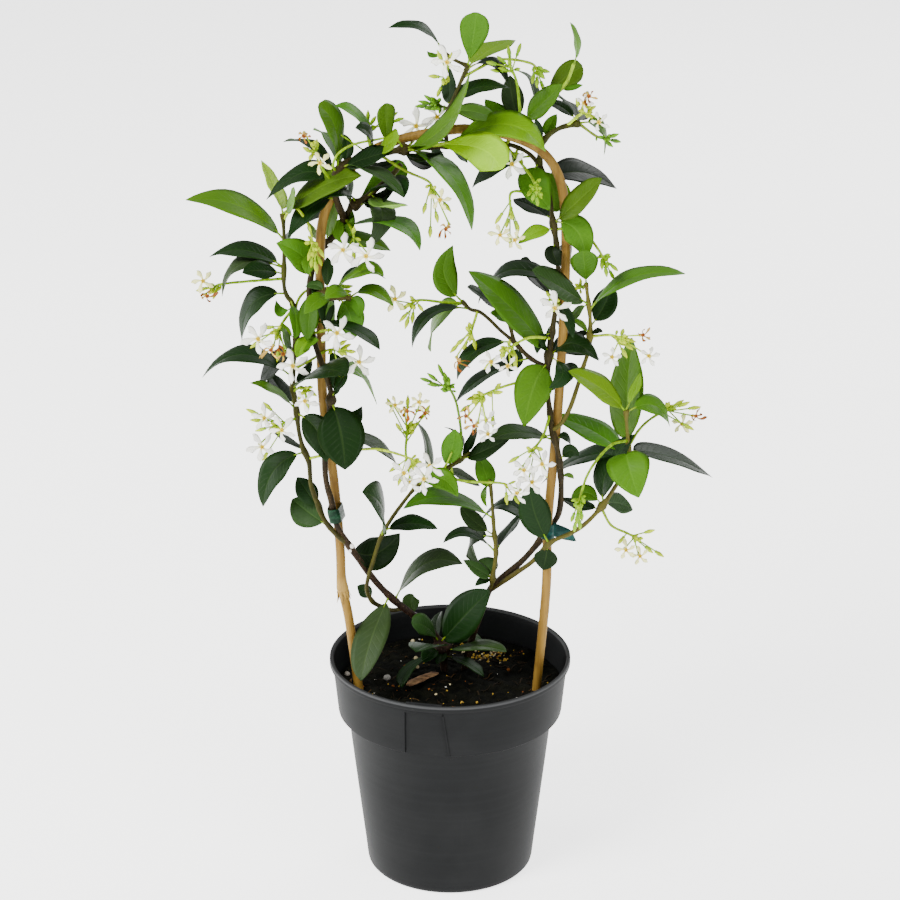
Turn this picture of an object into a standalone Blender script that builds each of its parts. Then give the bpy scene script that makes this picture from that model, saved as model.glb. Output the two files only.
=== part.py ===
"""Potted star jasmine, trained round a bent cane hoop in a plastic nursery pot.

Metres, +Z up, the origin at the middle of the pot's base. The plant is laid out on sight lines:
a place in the photograph, given as a pixel of its 900 x 900 frame, and a depth in millimetres behind
the pot's middle together give one point in space. Sizes of pieces are real sizes in millimetres.
"""

import math
import random
from typing import NamedTuple

import bmesh
import bpy
from mathutils import Matrix, Vector
from mathutils.bvhtree import BVHTree

MM = 0.001
TIGHT = 0.00002
WELD = 0.0000005

# The photograph's camera, worked out from the circles of the pot's rim and base
FOCAL_PX = 2727.0
CENTRE_PX = 450.0
PITCH = math.radians(21.22)
EYE = Vector((0.0, -1.743, 0.991))
AHEAD = Vector((0.0, math.cos(PITCH), -math.sin(PITCH)))
ABOVE = Vector((0.0, math.sin(PITCH), math.cos(PITCH)))
ASIDE = Vector((1.0, 0.0, 0.0))

# Pot, millimetres
POT_HEIGHT = 160.0
RIM_RADIUS = 85.0
COLLAR_FOOT = 119.4
FLOOR = 2.4
POT_SIDES = 24
DRAIN_RADIUS = 4.5
DRAIN_RING = 36.0
DRAIN_COUNT = 4
DRAIN_SIDES = 8
DRAIN_CUTTER = 10.0
LABEL_LEFT = -31.0
LABEL_RIGHT = -3.0
LABEL_SLOT = 3.0
LABEL_FOOT = 121.5
LABEL_DEPTH = 0.7
LABEL_RING = 80.1
LABEL_BELOW_RIM = 8.0
LABEL_LEAN = math.radians(5.8)
LABEL_CUTTER = 8.0
GROOVE = 0.9
GROOVE_DEPTH = 0.45
TAB_RISE = 1.6
TAB_ROOT = 2.0
TAB_WIDTH = 25.0
TAB_THICKNESS = 0.9
TAB_INSET = 2.2
SMOOTH_ANGLE = math.radians(35.0)

# Soil, millimetres
SOIL_TOP = 137.5
SOIL_MOUND = 4.0
SOIL_RELIEF = 0.8
HOLE_GAP = 0.45
HOLE_OPENING = 16.0
HOLE_BELOW = 1.0
# The soil's relief: two long crossed waves and a shorter slanting one, in radians a metre
SOIL_WAVES = ((120.0, 1.0), (105.0, 2.0))
SOIL_RIPPLE = (290.0, -170.0)
SOIL_RIPPLE_SHARE = 0.6
CANE_FOOT = 60.0
TRUNK_FOOT = 104.0

# Cane and ties, millimetres
CANE_RADIUS = 3.2
CANE_STEP = 23.0
KNOT_LENGTH = 6.0
TIE_WALL = 0.8
TIE_SIDES = 16
# The ties: the round sections they enclose, as pixel, depth and radius, and two places along their axis
TIE_LEFT_ROUNDS = ((337.4, 513, -11.4, 4.2), (334, 513, -20.5, 3.5))
TIE_LEFT_AXIS = ((332, 499, -15.5), (338, 527, -16.5))
TIE_LEFT_HEIGHT = 10.0
TIE_RIGHT_ROUNDS = ((547.8, 531, -13.3, 3.75),)
TIE_RIGHT_AXIS = ((548, 520, -13), (547, 560, -14.5))
TIE_RIGHT_HEIGHT = 11.0
TAIL_START = (552.8, 529, -11.5)
TAIL_END = (572, 536, -9.0)
TAIL_STATIONS = ((0.0, 5.2), (0.5, 5.0), (1.0, 4.0))
TAIL_HALF_DEPTH = 0.5
TAIL_TIP = 3.0

# Loose pieces on the soil: pixels on the soil's top, then sizes in millimetres
CHIP_START = (408, 687)
CHIP_STOP = (439, 674)
CHIP_STATIONS = ((0.0, 2.0, 1.6), (0.12, 3.2, 2.6), (0.5, 3.0, 2.9), (0.85, 2.6, 2.2))
CHIP_HALF_WIDTH = 3.4
CHIP_SPOTS = 8
CHIP_TAPER = 0.8
CHIP_TIP_HEIGHT = 0.8
LAID_RISE = 3.0
LAID_GAP = 0.3
PEBBLE_PIXEL = (387, 679)
PEBBLE_RADII = (2.9, 2.4, 2.2)
PEBBLE_FOOT = 1.2
PEBBLE_REST = 2.5

# Stems and stalks, millimetres
STEM_STEP = 20.0
STALK_STEP = 24.0
STALK_RADIUS = 0.85
STALK_END = 0.8
SLIM_STEM = 2.0
BLOOM_STEP = 1.3
BRANCH_GAP = 0.3
START_STEP = 0.3
CLEAR_STEPS = 10
LOOK_STEPS = 60

# Leaves, millimetres
BLADE_HALF_DEPTH = 0.7
BLADE_MOST = 34.0
BLADE_SHARE = 0.42
PETIOLE_RADIUS = 0.8
PETIOLE_LENGTH = 5.0
STEEPEST_ROLL = math.radians(72.0)
LONG_BLADE = 60.0
SMALL_BLADE = 28.0
SHORT_BLADE = 44.0
LONG_STATIONS = ((0.20, 0.74), (0.48, 1.0), (0.78, 0.60))
BLADE_STATIONS = ((0.30, 0.92), (0.68, 0.80))
SMALL_STATIONS = ((0.42, 1.0),)
LEAF_SWELL = 0.45
MIDDLE_SHARE = 0.6
NECK_SHARE = 0.25

# Flowers, millimetres
FLOWER_RADIUS = 12.5
SPENT_RADIUS = 7.0
TUBE_LENGTH = 6.5
PETALS = 5
OPEN_DROOP = 2.0
SPENT_DROOP = -4.0
OPEN_SIZES = (0.9, 1.05)
MOST_SPIN = 1.2
STAR_FRONT = 0.7
STAR_BACK = 1.5
STAR_GUIDE = Vector((0.2, 0.3, 0.93))
PEDICEL_RADIUS = 0.5
CALYX_RADIUS = 1.2
BUD_RADIUS = 1.5
BUD_LENGTH = 9.0
BUD_SHARE = 0.7
BUD_SHOULDER = 0.5
# How far a flower turns from the camera: the range sideways, the turn forward and the range upward
OPEN_TILT = ((-0.5, 0.5), -0.4, (-0.45, 0.35))
SPENT_TILT = ((-0.7, 0.7), -0.3, (-0.8, 0.2))
# A petal's corners: the turn from its middle line, the share of the radius and the lift of its edge
PETAL_CORNERS = ((-0.56, 0.28, 0.3), (0.10, 1.0, -0.4))
SPRAY_SWELL = 0.2

# The trial depths of a flower and a bud that clear their spray, and of a leaf or spray among its neighbours
FLOWER_OFFSETS = (-7, -10, -13, -16, -19, -23, -4, -27)
BUD_OFFSETS = (0, -4, 4, -8, 8, -12, 12)
TRIALS = (0, -5, 5, -10, 10, -15, 15, -20, 20, -26, 26, -32, 32, -40, 40)


class Leaf(NamedTuple):
    """A leaf by three pixels on its midrib, the width seen (negative: underside) and the tip's reach."""

    root: tuple
    middle: tuple
    tip: tuple
    seen: float
    reach: float


class Spray(NamedTuple):
    """A flower spray: the stem it grows from, its stalk's pixels, the head's reach and its blooms."""

    stem: str
    path: tuple
    reach: float
    open: tuple = ()
    spent: tuple = ()
    buds: tuple = ()


# Cane hoop: pixel and depth along the bend, from the left leg at the soil to the right leg at the soil
HOOP = (
    (357, 676, -14), (349, 619, -13), (342, 584, -13), (340, 545, -12), (334, 480, -10), (323, 398, -8),
    (321, 333, -6), (320, 250, -4), (325, 212, -2), (340, 182, -1), (365, 155, 0), (395, 141, 0),
    (430, 133, 0), (465, 129, 0), (500, 133, 0), (537, 148, 0), (556, 170, 0), (564, 200, -1),
    (566, 245, -3), (563, 330, -6), (557, 420, -9), (548, 520, -13), (546, 590, -16), (537, 683, -19),
)
KNOT_PIXEL = (342, 587)
KNOT_SWELL = 1.25

# Stems: the radius at root and tip, then the runs; a run is pixels and depths from its root on
STEMS = {
    "vine_left": (2.7, 1.5, (
        ((444, 668, 12), (441, 647, 14), (430, 628, 12), (417, 618, 9), (392, 598, 2), (372, 577, -5),
         (350, 547, -19), (338, 528, -21), (334, 513, -20.5), (331, 499, -20), (327, 485, -18),
         (325, 467, -17),
         (326, 440, -17), (331, 400, -16), (329, 385, -16), (322, 364, -16), (314, 340, -14),
         (310, 315, -10), (309, 296, -3), (311, 276, 3), (318, 255, 5), (327, 243, 5), (337, 232, 5),
         (345, 217, 6), (352, 206, 6)),
        ((352, 206, 6), (365, 199, 5), (380, 186, 2), (393, 174, 0), (401, 164, -1)),
        ((344, 219, 5), (338, 204, -4), (334, 188, -10), (338, 172, -11), (350, 161, -10), (372, 156, -9),
         (400, 150, -8), (428, 147, -7), (449, 146, -6)),
        ((309, 299, -6), (314, 296, -14), (322, 293, -17), (338, 297, -17), (351, 297, -16)),
    )),
    "vine_left_outer": (1.8, 1.2, (
        ((347, 543, -19), (340, 538, -23), (332, 530, -20), (324, 519, -15), (317, 502, -12),
         (311, 484, -10),
         (309, 462, -9), (303, 448, -8), (299, 432, -8), (296, 408, -8), (293, 390, -7), (293, 372, -7),
         (295, 340, -5), (293, 306, -3), (287, 296, -2), (284, 285, -2), (284, 262, -2), (284, 240, -2),
         (283, 214, -2)),
        ((295, 345, -5), (298, 335, -7), (301, 322, -8)),
    )),
    "vine_loop": (1.6, 1.2, (
        ((404, 608, 5), (393, 610, 6), (383, 607, 3), (373, 602, -3), (367, 591, -10), (368, 578, -13),
         (373, 562, -14),
         (379, 542, -13), (383, 533, -12), (390, 521, -11), (399, 508, -10), (415, 488, -8),
         (430, 477, -7), (444, 470, -6), (459, 461, -4), (470, 452, -3)),
    )),
    "vine_right": (2.6, 1.3, (
        ((466, 662, 14), (472, 638, 12), (481, 612, 9), (490, 589, 6), (499, 580, 4), (520, 563, 0),
         (534, 548, -3), (543, 536, -3), (552, 525, -3), (559, 512, -6), (561, 490, -9), (560, 467, -14),
         (557, 447, -16), (552, 430, -15), (550, 412, -12), (548, 395, -9), (547, 375, -7), (550, 345, -7),
         (555, 312, -8), (558, 285, -8), (558, 262, -7), (556, 240, -6), (553, 222, -5), (550, 200, -2),
         (546, 180, 4), (539, 165, 7), (528, 153, 8), (514, 146, 8), (500, 143, 8)),
        ((539, 165, 7), (541, 150, 7), (545, 139, 7), (560, 128, 5), (580, 123, 2)),
    )),
    "vine_right_outer": (1.8, 1.2, (
        ((492, 589, 6), (516, 573, -4), (533, 561, -14), (550, 543, -22), (571, 533, -19), (586, 523, -15),
         (602, 506, -12), (613, 490, -10), (621, 476, -9), (628, 449, -8), (627, 428, -8), (626, 410, -8)),
    )),
    "shoot_middle": (1.6, 1.1, (
        ((491, 589, 6), (493, 576, -3), (496, 554, -5), (494, 530, -3), (492, 502, -4), (490, 480, -5)),
    )),
    "shoot_centre": (1.6, 1.0, (
        ((547, 367, -7), (530, 358, -6), (514, 342, -4), (500, 330, -3), (490, 320, -2), (480, 312, -2),
         (470, 309, -2), (462, 301, -3)),
        ((514, 342, -4), (511, 330, -3), (508, 317, -2)),
    )),
    "shoot_right_upper": (1.6, 1.1, (
        ((552, 430, -15), (561, 424, -17), (570, 408, -14), (578, 385, -10), (583, 368, -8), (588, 352, -6),
         (590, 335, -5), (590, 318, -4), (588, 300, -3), (586, 283, -3)),
    )),
    "shoot_top": (1.5, 1.0, (
        ((447, 146, -6), (446, 128, -8), (449, 110, -8), (458, 88, -7), (468, 66, -6)),
        ((468, 66, -6), (455, 60, -6), (441, 51, -6)),
    )),
    "shoot_top_right": (1.4, 1.0, (
        ((507, 144, 8), (512, 134, 9), (521, 124, 6), (535, 112, 3), (551, 98, 0), (566, 83, -2),
         (574, 64, -3)),
    )),
}
PARENTS = {
    "vine_left_outer": "vine_left",
    "vine_loop": "vine_left",
    "vine_right_outer": "vine_right",
    "shoot_middle": "vine_right",
    "shoot_centre": "vine_right",
    "shoot_right_upper": "vine_right",
    "shoot_top": "vine_left",
    "shoot_top_right": "vine_right",
}

# Leaves of each stem
LEAVES = {
    "vine_left": (
        Leaf((389, 596), (370, 642), (361, 681), 32, -50),
        Leaf((441, 645), (427, 627), (412, 625), 20, -18),
        Leaf((396, 599), (424, 564), (463, 564), 20, -15),
        Leaf((350, 547), (374, 554), (400, 533), 34, 18),
        Leaf((331, 400), (341, 434), (345, 470), 48, -20),
        Leaf((331, 402), (350, 418), (362, 406), 12, 12),
        Leaf((329, 430), (378, 446), (398, 469), 8, 16),
        Leaf((330, 398), (338, 374), (330, 352), 20, 14),
        Leaf((326, 372), (356, 370), (377, 405), 8, 12),
        Leaf((441, 643), (464, 616), (490, 590), 38, -18),
        Leaf((441, 644), (436, 624), (442, 611), 14, 16),
        Leaf((441, 648), (466, 636), (484, 642), 13, -12),
        Leaf((442, 652), (477, 646), (507, 652), 9, -16),
        Leaf((442, 656), (466, 662), (484, 677), 9, -22),
        Leaf((442, 652), (412, 666), (402, 688), 8, -38),
        Leaf((441, 646), (428, 645), (416, 652), 10, -14),
        Leaf((327, 243), (330, 222), (339, 200), 14, -8),
        Leaf((340, 212), (306, 214), (288, 243), 16, 30),
        Leaf((338, 206), (322, 204), (309, 222), 11, 20),
        Leaf((334, 187), (305, 172), (266, 200), 20, 8),
        Leaf((327, 244), (316, 238), (309, 222), 6, -6),
        Leaf((311, 278), (302, 256), (276, 243), 28, -18),
        Leaf((311, 290), (309, 315), (307, 341), 22, -22),
        Leaf((326, 294), (328, 272), (327, 257), 12, 10),
        Leaf((338, 297), (350, 315), (352, 340), 28, 10),
        Leaf((330, 295), (330, 312), (332, 329), 10, 6),
        Leaf((351, 297), (372, 290), (394, 307), 13, -8),
        Leaf((334, 296), (358, 271), (386, 279), 8, 10),
        Leaf((311, 322), (352, 328), (380, 350), 7, 10),
        Leaf((314, 340), (304, 344), (297, 358), 16, -10),
        Leaf((337, 175), (336, 130), (318, 105), 20, -8),
        Leaf((338, 172), (331, 140), (313, 130), 13, 10),
        Leaf((336, 179), (312, 145), (283, 142), 7, 6),
        Leaf((343, 166), (347, 150), (344, 134), 14, 10),
        Leaf((374, 156), (360, 118), (334, 106), 9, -6),
        Leaf((374, 156), (370, 134), (355, 128), 8, 8),
        Leaf((389, 152), (386, 125), (386, 103), 19, -6),
        Leaf((350, 161), (374, 168), (398, 160), 10, 14),
        Leaf((372, 156), (386, 145), (399, 137), 16, 12),
        Leaf((354, 206), (384, 178), (408, 170), 25, 12),
        Leaf((358, 203), (382, 198), (402, 178), 12, -6),
        Leaf((343, 166), (375, 171), (404, 197), 10, 8),
        Leaf((366, 199), (390, 182), (404, 198), 12, -10),
        Leaf((372, 194), (388, 206), (404, 204), 6, -8),
        Leaf((354, 206), (382, 210), (368, 249), 24, -14),
        Leaf((339, 229), (395, 222), (420, 251), 9, 8),
        Leaf((331, 241), (362, 240), (391, 251), 16, 12),
        Leaf((405, 150), (450, 120), (470, 68), 15, -8),
        Leaf((430, 147), (478, 148), (500, 170), 30, -14),
        Leaf((402, 150), (416, 162), (433, 166), 11, 10),
        Leaf((406, 149), (452, 176), (472, 231), 12, -14),
        Leaf((447, 146), (458, 153), (468, 163), 8, 10),
        Leaf((438, 147), (502, 128), (546, 152), 30, -22),
    ),
    "vine_left_outer": (
        Leaf((320, 510), (308, 493), (297, 477), 22, 12),
        Leaf((329, 527), (308, 512), (292, 499), 34, 20),
        Leaf((298, 413), (318, 432), (326, 462), 30, -16),
        Leaf((305, 452), (274, 470), (263, 507), 26, -8),
        Leaf((304, 451), (290, 442), (270, 430), 7, 10),
        Leaf((284, 214), (322, 186), (362, 176), 24, -8),
        Leaf((284, 213), (292, 202), (294, 187), 9, 6),
        Leaf((284, 240), (240, 206), (185, 200), 23, -8),
        Leaf((283, 214), (274, 176), (261, 160), 12, 4),
        Leaf((284, 268), (246, 250), (209, 257), 17, 12),
        Leaf((284, 268), (240, 264), (222, 297), 13, -8),
        Leaf((284, 274), (262, 270), (242, 273), 18, -14),
        Leaf((286, 293), (252, 304), (242, 342), 18, 8),
        Leaf((290, 300), (296, 318), (295, 339), 14, -26),
        Leaf((301, 323), (318, 304), (330, 290), 10, -8),
        Leaf((293, 378), (242, 354), (202, 378), 17, 6),
        Leaf((294, 352), (274, 364), (260, 381), 20, 14),
        Leaf((296, 410), (275, 391), (250, 383), 7, -10),
        Leaf((296, 404), (282, 391), (269, 372), 18, 12),
        Leaf((293, 386), (304, 374), (312, 361), 10, 12),
        Leaf((294, 388), (322, 370), (347, 376), 8, -16),
    ),
    "vine_loop": (
        Leaf((384, 532), (408, 523), (438, 529), 16, -8),
        Leaf((382, 536), (382, 506), (362, 492), -7, -8),
        Leaf((418, 486), (440, 478), (458, 497), 22, -12),
        Leaf((443, 470), (452, 448), (455, 429), 22, -8),
        Leaf((459, 461), (470, 444), (477, 427), 9, 8),
        Leaf((462, 459), (485, 450), (512, 436), 18, 8),
        Leaf((444, 470), (462, 476), (480, 486), 11, 8),
        Leaf((425, 481), (427, 445), (415, 420), 8, 34),
        Leaf((446, 469), (460, 440), (444, 427), 7, 14),
    ),
    "vine_right": (
        Leaf((540, 540), (510, 504), (479, 523), 18, 8),
        Leaf((555, 441), (518, 432), (488, 441), 16, -10),
        Leaf((553, 434), (530, 437), (508, 430), 5, 8),
        Leaf((549, 352), (514, 310), (468, 271), 31, -18),
        Leaf((548, 364), (534, 385), (524, 427), 38, -18),
        Leaf((558, 283), (508, 270), (478, 304), 15, 10),
        Leaf((556, 300), (532, 274), (528, 257), 16, 16),
        Leaf((549, 357), (575, 346), (600, 360), 20, 10),
        Leaf((540, 167), (552, 186), (553, 212), 35, -16),
        Leaf((532, 156), (496, 166), (472, 188), 17, 12),
        Leaf((546, 180), (582, 172), (617, 189), 24, 12),
        Leaf((553, 224), (579, 200), (602, 178), 23, -16),
        Leaf((553, 222), (576, 230), (586, 258), 30, -20),
        Leaf((555, 230), (538, 231), (518, 244), 14, -12),
        Leaf((553, 220), (534, 207), (513, 199), 17, 12),
        Leaf((557, 245), (565, 255), (568, 270), 18, 16),
        Leaf((579, 123), (562, 107), (545, 103), 11, 10),
        Leaf((580, 123), (602, 128), (604, 155), 10, -8),
        Leaf((577, 124), (574, 106), (557, 97), 13, 18),
        Leaf((545, 140), (549, 127), (557, 114), 13, 8),
    ),
    "vine_right_outer": (
        Leaf((549, 544), (535, 514), (530, 486), 32, -6),
        Leaf((548, 545), (546, 557), (543, 570), 24, -12),
        Leaf((602, 506), (588, 493), (571, 498), 16, -8),
        Leaf((600, 508), (583, 506), (560, 498), 12, 10),
        Leaf((603, 505), (618, 503), (633, 510), 20, 10),
        Leaf((604, 503), (607, 470), (635, 434), 24, 14),
        Leaf((627, 452), (628, 464), (639, 498), 44, -30),
        Leaf((627, 452), (672, 457), (713, 478), 16, 10),
        Leaf((626, 456), (592, 430), (553, 416), 24, -10),
        Leaf((628, 446), (627, 395), (632, 337), 35, 8),
        Leaf((626, 412), (601, 388), (568, 371), 22, -10),
        Leaf((627, 412), (654, 405), (670, 427), 19, -8),
        Leaf((627, 410), (635, 390), (640, 373), 10, -6),
        Leaf((627, 456), (582, 457), (541, 484), 8, 12),
    ),
    "shoot_middle": (
        Leaf((495, 578), (481, 571), (463, 560), 14, -8),
        Leaf((496, 553), (468, 533), (443, 543), 10, -8),
        Leaf((494, 537), (470, 540), (479, 563), 8, -16),
        Leaf((494, 536), (474, 521), (460, 507), 17, 12),
        Leaf((496, 552), (509, 530), (524, 512), 10, 10),
        Leaf((492, 518), (445, 497), (403, 509), 18, -12),
        Leaf((491, 492), (486, 475), (478, 453), 20, 8),
        Leaf((490, 482), (484, 494), (487, 507), 6, -8),
    ),
    "shoot_centre": (
        Leaf((463, 302), (444, 274), (453, 245), 26, -8),
        Leaf((470, 309), (430, 314), (412, 348), 12, -12),
        Leaf((464, 304), (436, 320), (431, 352), 12, 12),
        Leaf((509, 320), (484, 297), (467, 287), 9, 8),
        Leaf((514, 342), (476, 350), (457, 380), 16, -8),
        Leaf((516, 345), (515, 358), (508, 372), 18, 10),
        Leaf((530, 358), (484, 376), (455, 404), 6, 10),
    ),
    "shoot_right_upper": (
        Leaf((588, 304), (558, 285), (532, 270), 23, -14),
        Leaf((583, 368), (568, 373), (551, 391), 17, 12),
        Leaf((589, 342), (572, 333), (555, 320), 7, 12),
        Leaf((588, 303), (577, 313), (567, 323), 9, 8),
        Leaf((590, 326), (604, 306), (612, 283), 25, 16),
        Leaf((589, 311), (630, 278), (686, 274), 15, -10),
        Leaf((586, 284), (585, 268), (583, 250), 28, -14),
    ),
    "shoot_top": (
        Leaf((442, 52), (422, 28), (388, 28), 6, -6),
        Leaf((468, 67), (473, 38), (476, 12), 30, -10),
        Leaf((468, 67), (492, 48), (515, 40), 17, 8),
        Leaf((449, 110), (449, 90), (450, 68), 15, 10),
        Leaf((450, 108), (474, 88), (510, 88), 15, -10),
        Leaf((467, 70), (492, 62), (508, 85), 10, 10),
        Leaf((449, 112), (476, 112), (498, 121), 17, -12),
    ),
    "shoot_top_right": (
        Leaf((520, 125), (501, 116), (485, 99), 20, 12),
        Leaf((521, 124), (513, 100), (510, 75), 23, -10),
        Leaf((523, 122), (541, 104), (563, 84), 22, -14),
        Leaf((535, 112), (532, 82), (515, 70), 7, 10),
        Leaf((542, 106), (562, 80), (583, 67), 25, 12),
        Leaf((574, 65), (577, 44), (570, 22), 7, 4),
    ),
}

# Flower sprays
SPRAYS = (
    Spray("vine_left", ((334, 184), (322, 168), (314, 148)), -14, ((320, 163),), ((304, 136),),
          ((309, 150), (317, 139), (303, 147))),
    Spray("vine_left", ((374, 156), (368, 138), (368, 124)), -14, (), (),
          ((368, 110), (361, 114), (376, 116), (404, 118))),
    Spray("vine_right", ((501, 143), (480, 124), (452, 110), (437, 105)), -10, (), (),
          ((424, 95), (424, 109), (431, 97), (415, 106))),
    Spray("shoot_top", ((449, 57), (447, 72), (443, 80)), -10, ((447, 62),), (),
          ((428, 76), (437, 97), (452, 52), (437, 50))),
    Spray("vine_left", ((406, 149), (414, 140), (420, 134)), -12, ((416, 126), (437, 117)), (),
          ((425, 145), (408, 131))),
    Spray("shoot_top", ((463, 77), (498, 60), (530, 63), (538, 72)), -14, (), (),
          ((537, 88), (550, 72), (544, 90), (532, 84))),
    Spray("shoot_top_right", ((521, 124), (517, 84), (510, 66)), 16, (), (),
          ((486, 62), (497, 56), (508, 45), (521, 43))),
    Spray("vine_right", ((567, 126), (578, 116), (587, 111)), -14, ((584, 103), (599, 122)), ((589, 96),),
          ((596, 106), (576, 98))),
    Spray("vine_right", ((578, 123), (596, 136), (606, 139)), 10, (), (), ((619, 134), (613, 147),
          (621, 142))),
    Spray("vine_right", ((518, 148), (515, 155)), 10, ((512, 164),), (), ((523, 165),)),
    Spray("vine_right", ((504, 143), (520, 162), (532, 178), (536, 190)), -12, (), (),
          ((532, 201), (538, 206), (542, 199), (527, 196))),
    Spray("vine_right", ((551, 202), (528, 193), (511, 193), (511, 213)), -16, ((500, 235), (515, 240)), (),
          ((506, 228), (519, 231), (495, 224), (510, 246))),
    Spray("vine_left", ((380, 154), (404, 170), (428, 181), (433, 190)), -14, ((440, 200),), ((446, 229),),
          ((430, 238), (423, 214), (438, 223), (451, 212))),
    Spray("vine_left", ((345, 217), (352, 230), (354, 238)), -26, ((343, 250), (366, 256)), (),
          ((354, 262),)),
    Spray("vine_left_outer", ((284, 220), (294, 207), (308, 224), (314, 250)), -20, (), (),
          ((311, 268), (317, 274), (322, 266), (308, 261))),
    Spray("vine_left_outer", ((301, 322), (296, 307), (306, 291), (329, 288), (338, 290)), -16, (), (),
          ((352, 292), (348, 299), (340, 302), (353, 286))),
    Spray("vine_left_outer", ((284, 278), (252, 281), (222, 284), (214, 287)), -6, ((203, 281),),
          ((207, 296),),
          ((196, 291), (213, 299))),
    Spray("vine_left_outer", ((293, 308), (283, 322), (276, 334)), -20, ((293, 366), (258, 339)),
          ((271, 350), (283, 354)), ((250, 348), (262, 328), (277, 362))),
    Spray("vine_left", ((313, 334), (323, 331), (331, 330)), -14, ((337, 333),), (), ((322, 343),)),
    Spray("vine_left_outer", ((294, 370), (311, 360), (328, 350), (341, 351)), -18, ((359, 362),), (),
          ((351, 344), (356, 352), (341, 378), (347, 340))),
    Spray("vine_left_outer", ((294, 391), (301, 387), (306, 390)), -20, ((305, 401),), (),
          ((317, 396), (298, 400), (313, 387), (309, 410))),
    Spray("vine_left_outer", ((297, 418), (288, 422), (275, 426)), -12, ((264, 418), (282, 430),
          (262, 447)), (),
          ((246, 409), (255, 431), (263, 402), (262, 461))),
    Spray("shoot_centre", ((464, 304), (442, 302), (420, 300), (410, 304)), -8, ((395, 299),), (),
          ((405, 329), (412, 324), (423, 311), (400, 310))),
    Spray("vine_loop", ((415, 488), (407, 464), (406, 443), (409, 428)), 8, ((395, 405), (419, 402)),
          ((425, 413), (407, 411)), ((387, 398), (396, 423), (408, 395), (430, 405))),
    Spray("vine_left_outer", ((308, 458), (335, 453), (374, 449), (404, 456), (414, 462)), -16,
          ((430, 466), (411, 482), (404, 473), (424, 479)), (), ((389, 472), (398, 486), (438, 470))),
    Spray("shoot_centre", ((477, 311), (473, 326), (470, 336)), -10, (), ((459, 362),),
          ((455, 346), (463, 350), (476, 350), (450, 353))),
    Spray("vine_right", ((548, 338), (528, 338), (506, 350)), -14, ((491, 362), (508, 366)), (),
          ((484, 369), (498, 358), (517, 362), (516, 370))),
    Spray("vine_loop", ((460, 461), (461, 432), (456, 402), (447, 384)), 12, (), (),
          ((438, 364), (427, 384), (420, 378), (443, 385))),
    Spray("vine_right", ((547, 376), (512, 384), (492, 391), (478, 398)), -12, ((486, 420), (488, 434)),
          ((474, 426), (466, 416)), ((503, 392), (460, 412), (466, 400), (493, 428))),
    Spray("vine_right", ((551, 414), (543, 436), (532, 451)), -20, ((542, 464), (524, 470), (532, 482)), (),
          ((508, 463), (547, 478), (516, 476))),
    Spray("vine_loop", ((450, 467), (458, 480), (500, 483), (508, 486)), -14, ((517, 493),), (),
          ((516, 481), (507, 505), (521, 505))),
    Spray("vine_right", ((556, 304), (553, 300)), -22, ((555, 308),), (), ((546, 292), (541, 300))),
    Spray("vine_right", ((558, 276), (546, 272), (560, 273)), -22, (), (),
          ((566, 290), (573, 284), (570, 277), (562, 284))),
    Spray("vine_right", ((555, 230), (580, 228), (598, 249), (605, 262)), -16, (), (),
          ((607, 277), (614, 279), (618, 271), (602, 270))),
    Spray("shoot_right_upper", ((590, 337), (610, 335), (622, 338)), -10, ((612, 357), (649, 356)),
          ((643, 335),), ((633, 350), (627, 358), (636, 342), (625, 346))),
    Spray("vine_right_outer", ((628, 448), (639, 430), (652, 418), (669, 409)), 8, ((682, 424),),
          ((696, 416),), ((684, 400), (701, 407), (694, 430), (690, 402))),
    Spray("vine_right_outer", ((628, 440), (610, 446), (589, 472), (578, 504)), -46, (), (),
          ((574, 532), (580, 530), (571, 522), (582, 521))),
    Spray("vine_right_outer", ((602, 507), (611, 525), (627, 533), (636, 538)), -10, ((626, 550),
          (640, 556)), (),
          ((655, 530), (664, 557), (653, 553), (618, 544))),
    Spray("shoot_right_upper", ((586, 284), (580, 288)), 8, (), (), ((575, 284), (580, 278), (572, 290))),
)


# Pot and soil profiles: radius and height, millimetres
POT_INSIDE = (
    (0.0, FLOOR), (57.2, FLOOR), (70.75, 118.8), (77.5, 121.6), (81.0, 153.8), (83.0, POT_HEIGHT),
)
POT_OUTSIDE = (
    (84.0, POT_HEIGHT), (RIM_RADIUS, 158.8), (RIM_RADIUS, 155.6), (82.6, 153.6), (79.2, COLLAR_FOOT + 1.0),
    (78.6, COLLAR_FOOT), (72.4, 117.2), (59.2, 2.6), (56.4, 0.0), (0.0, 0.0),
)
SOIL_RINGS = (0.0, 22.0, 44.0, 64.0, 78.85)
SOIL_SIDE = ((77.05, 122.0), (70.35, 119.2), (56.6, FLOOR + 0.45), (0.0, FLOOR + 0.45))

# Colours, roughness
FINISHES = {
    "pot_plastic": ((0.055, 0.058, 0.062), 0.42),
    "compost": ((0.018, 0.013, 0.010), 0.95),
    "cane": ((0.62, 0.42, 0.17), 0.5),
    "ribbon": ((0.01, 0.12, 0.07), 0.35),
    "bark": ((0.30, 0.16, 0.07), 0.85),
    "stone": ((0.20, 0.18, 0.16), 0.8),
    "foliage": ((0.06, 0.16, 0.02), 0.35),
    "petals": ((0.86, 0.85, 0.66), 0.55),
}


def sight(px, py, depth):
    """The point seen at a pixel of the photograph, depth millimetres behind the pot's middle."""
    ray = AHEAD + ASIDE * ((px - CENTRE_PX) / FOCAL_PX) + ABOVE * ((CENTRE_PX - py) / FOCAL_PX)
    return EYE + ray * ((depth * MM - EYE.y) / ray.y)


def ground(px, py, height):
    """The point seen at a pixel of the photograph, at a height in millimetres."""
    ray = AHEAD + ASIDE * ((px - CENTRE_PX) / FOCAL_PX) + ABOVE * ((CENTRE_PX - py) / FOCAL_PX)
    return EYE + ray * ((height * MM - EYE.z) / ray.z)


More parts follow.
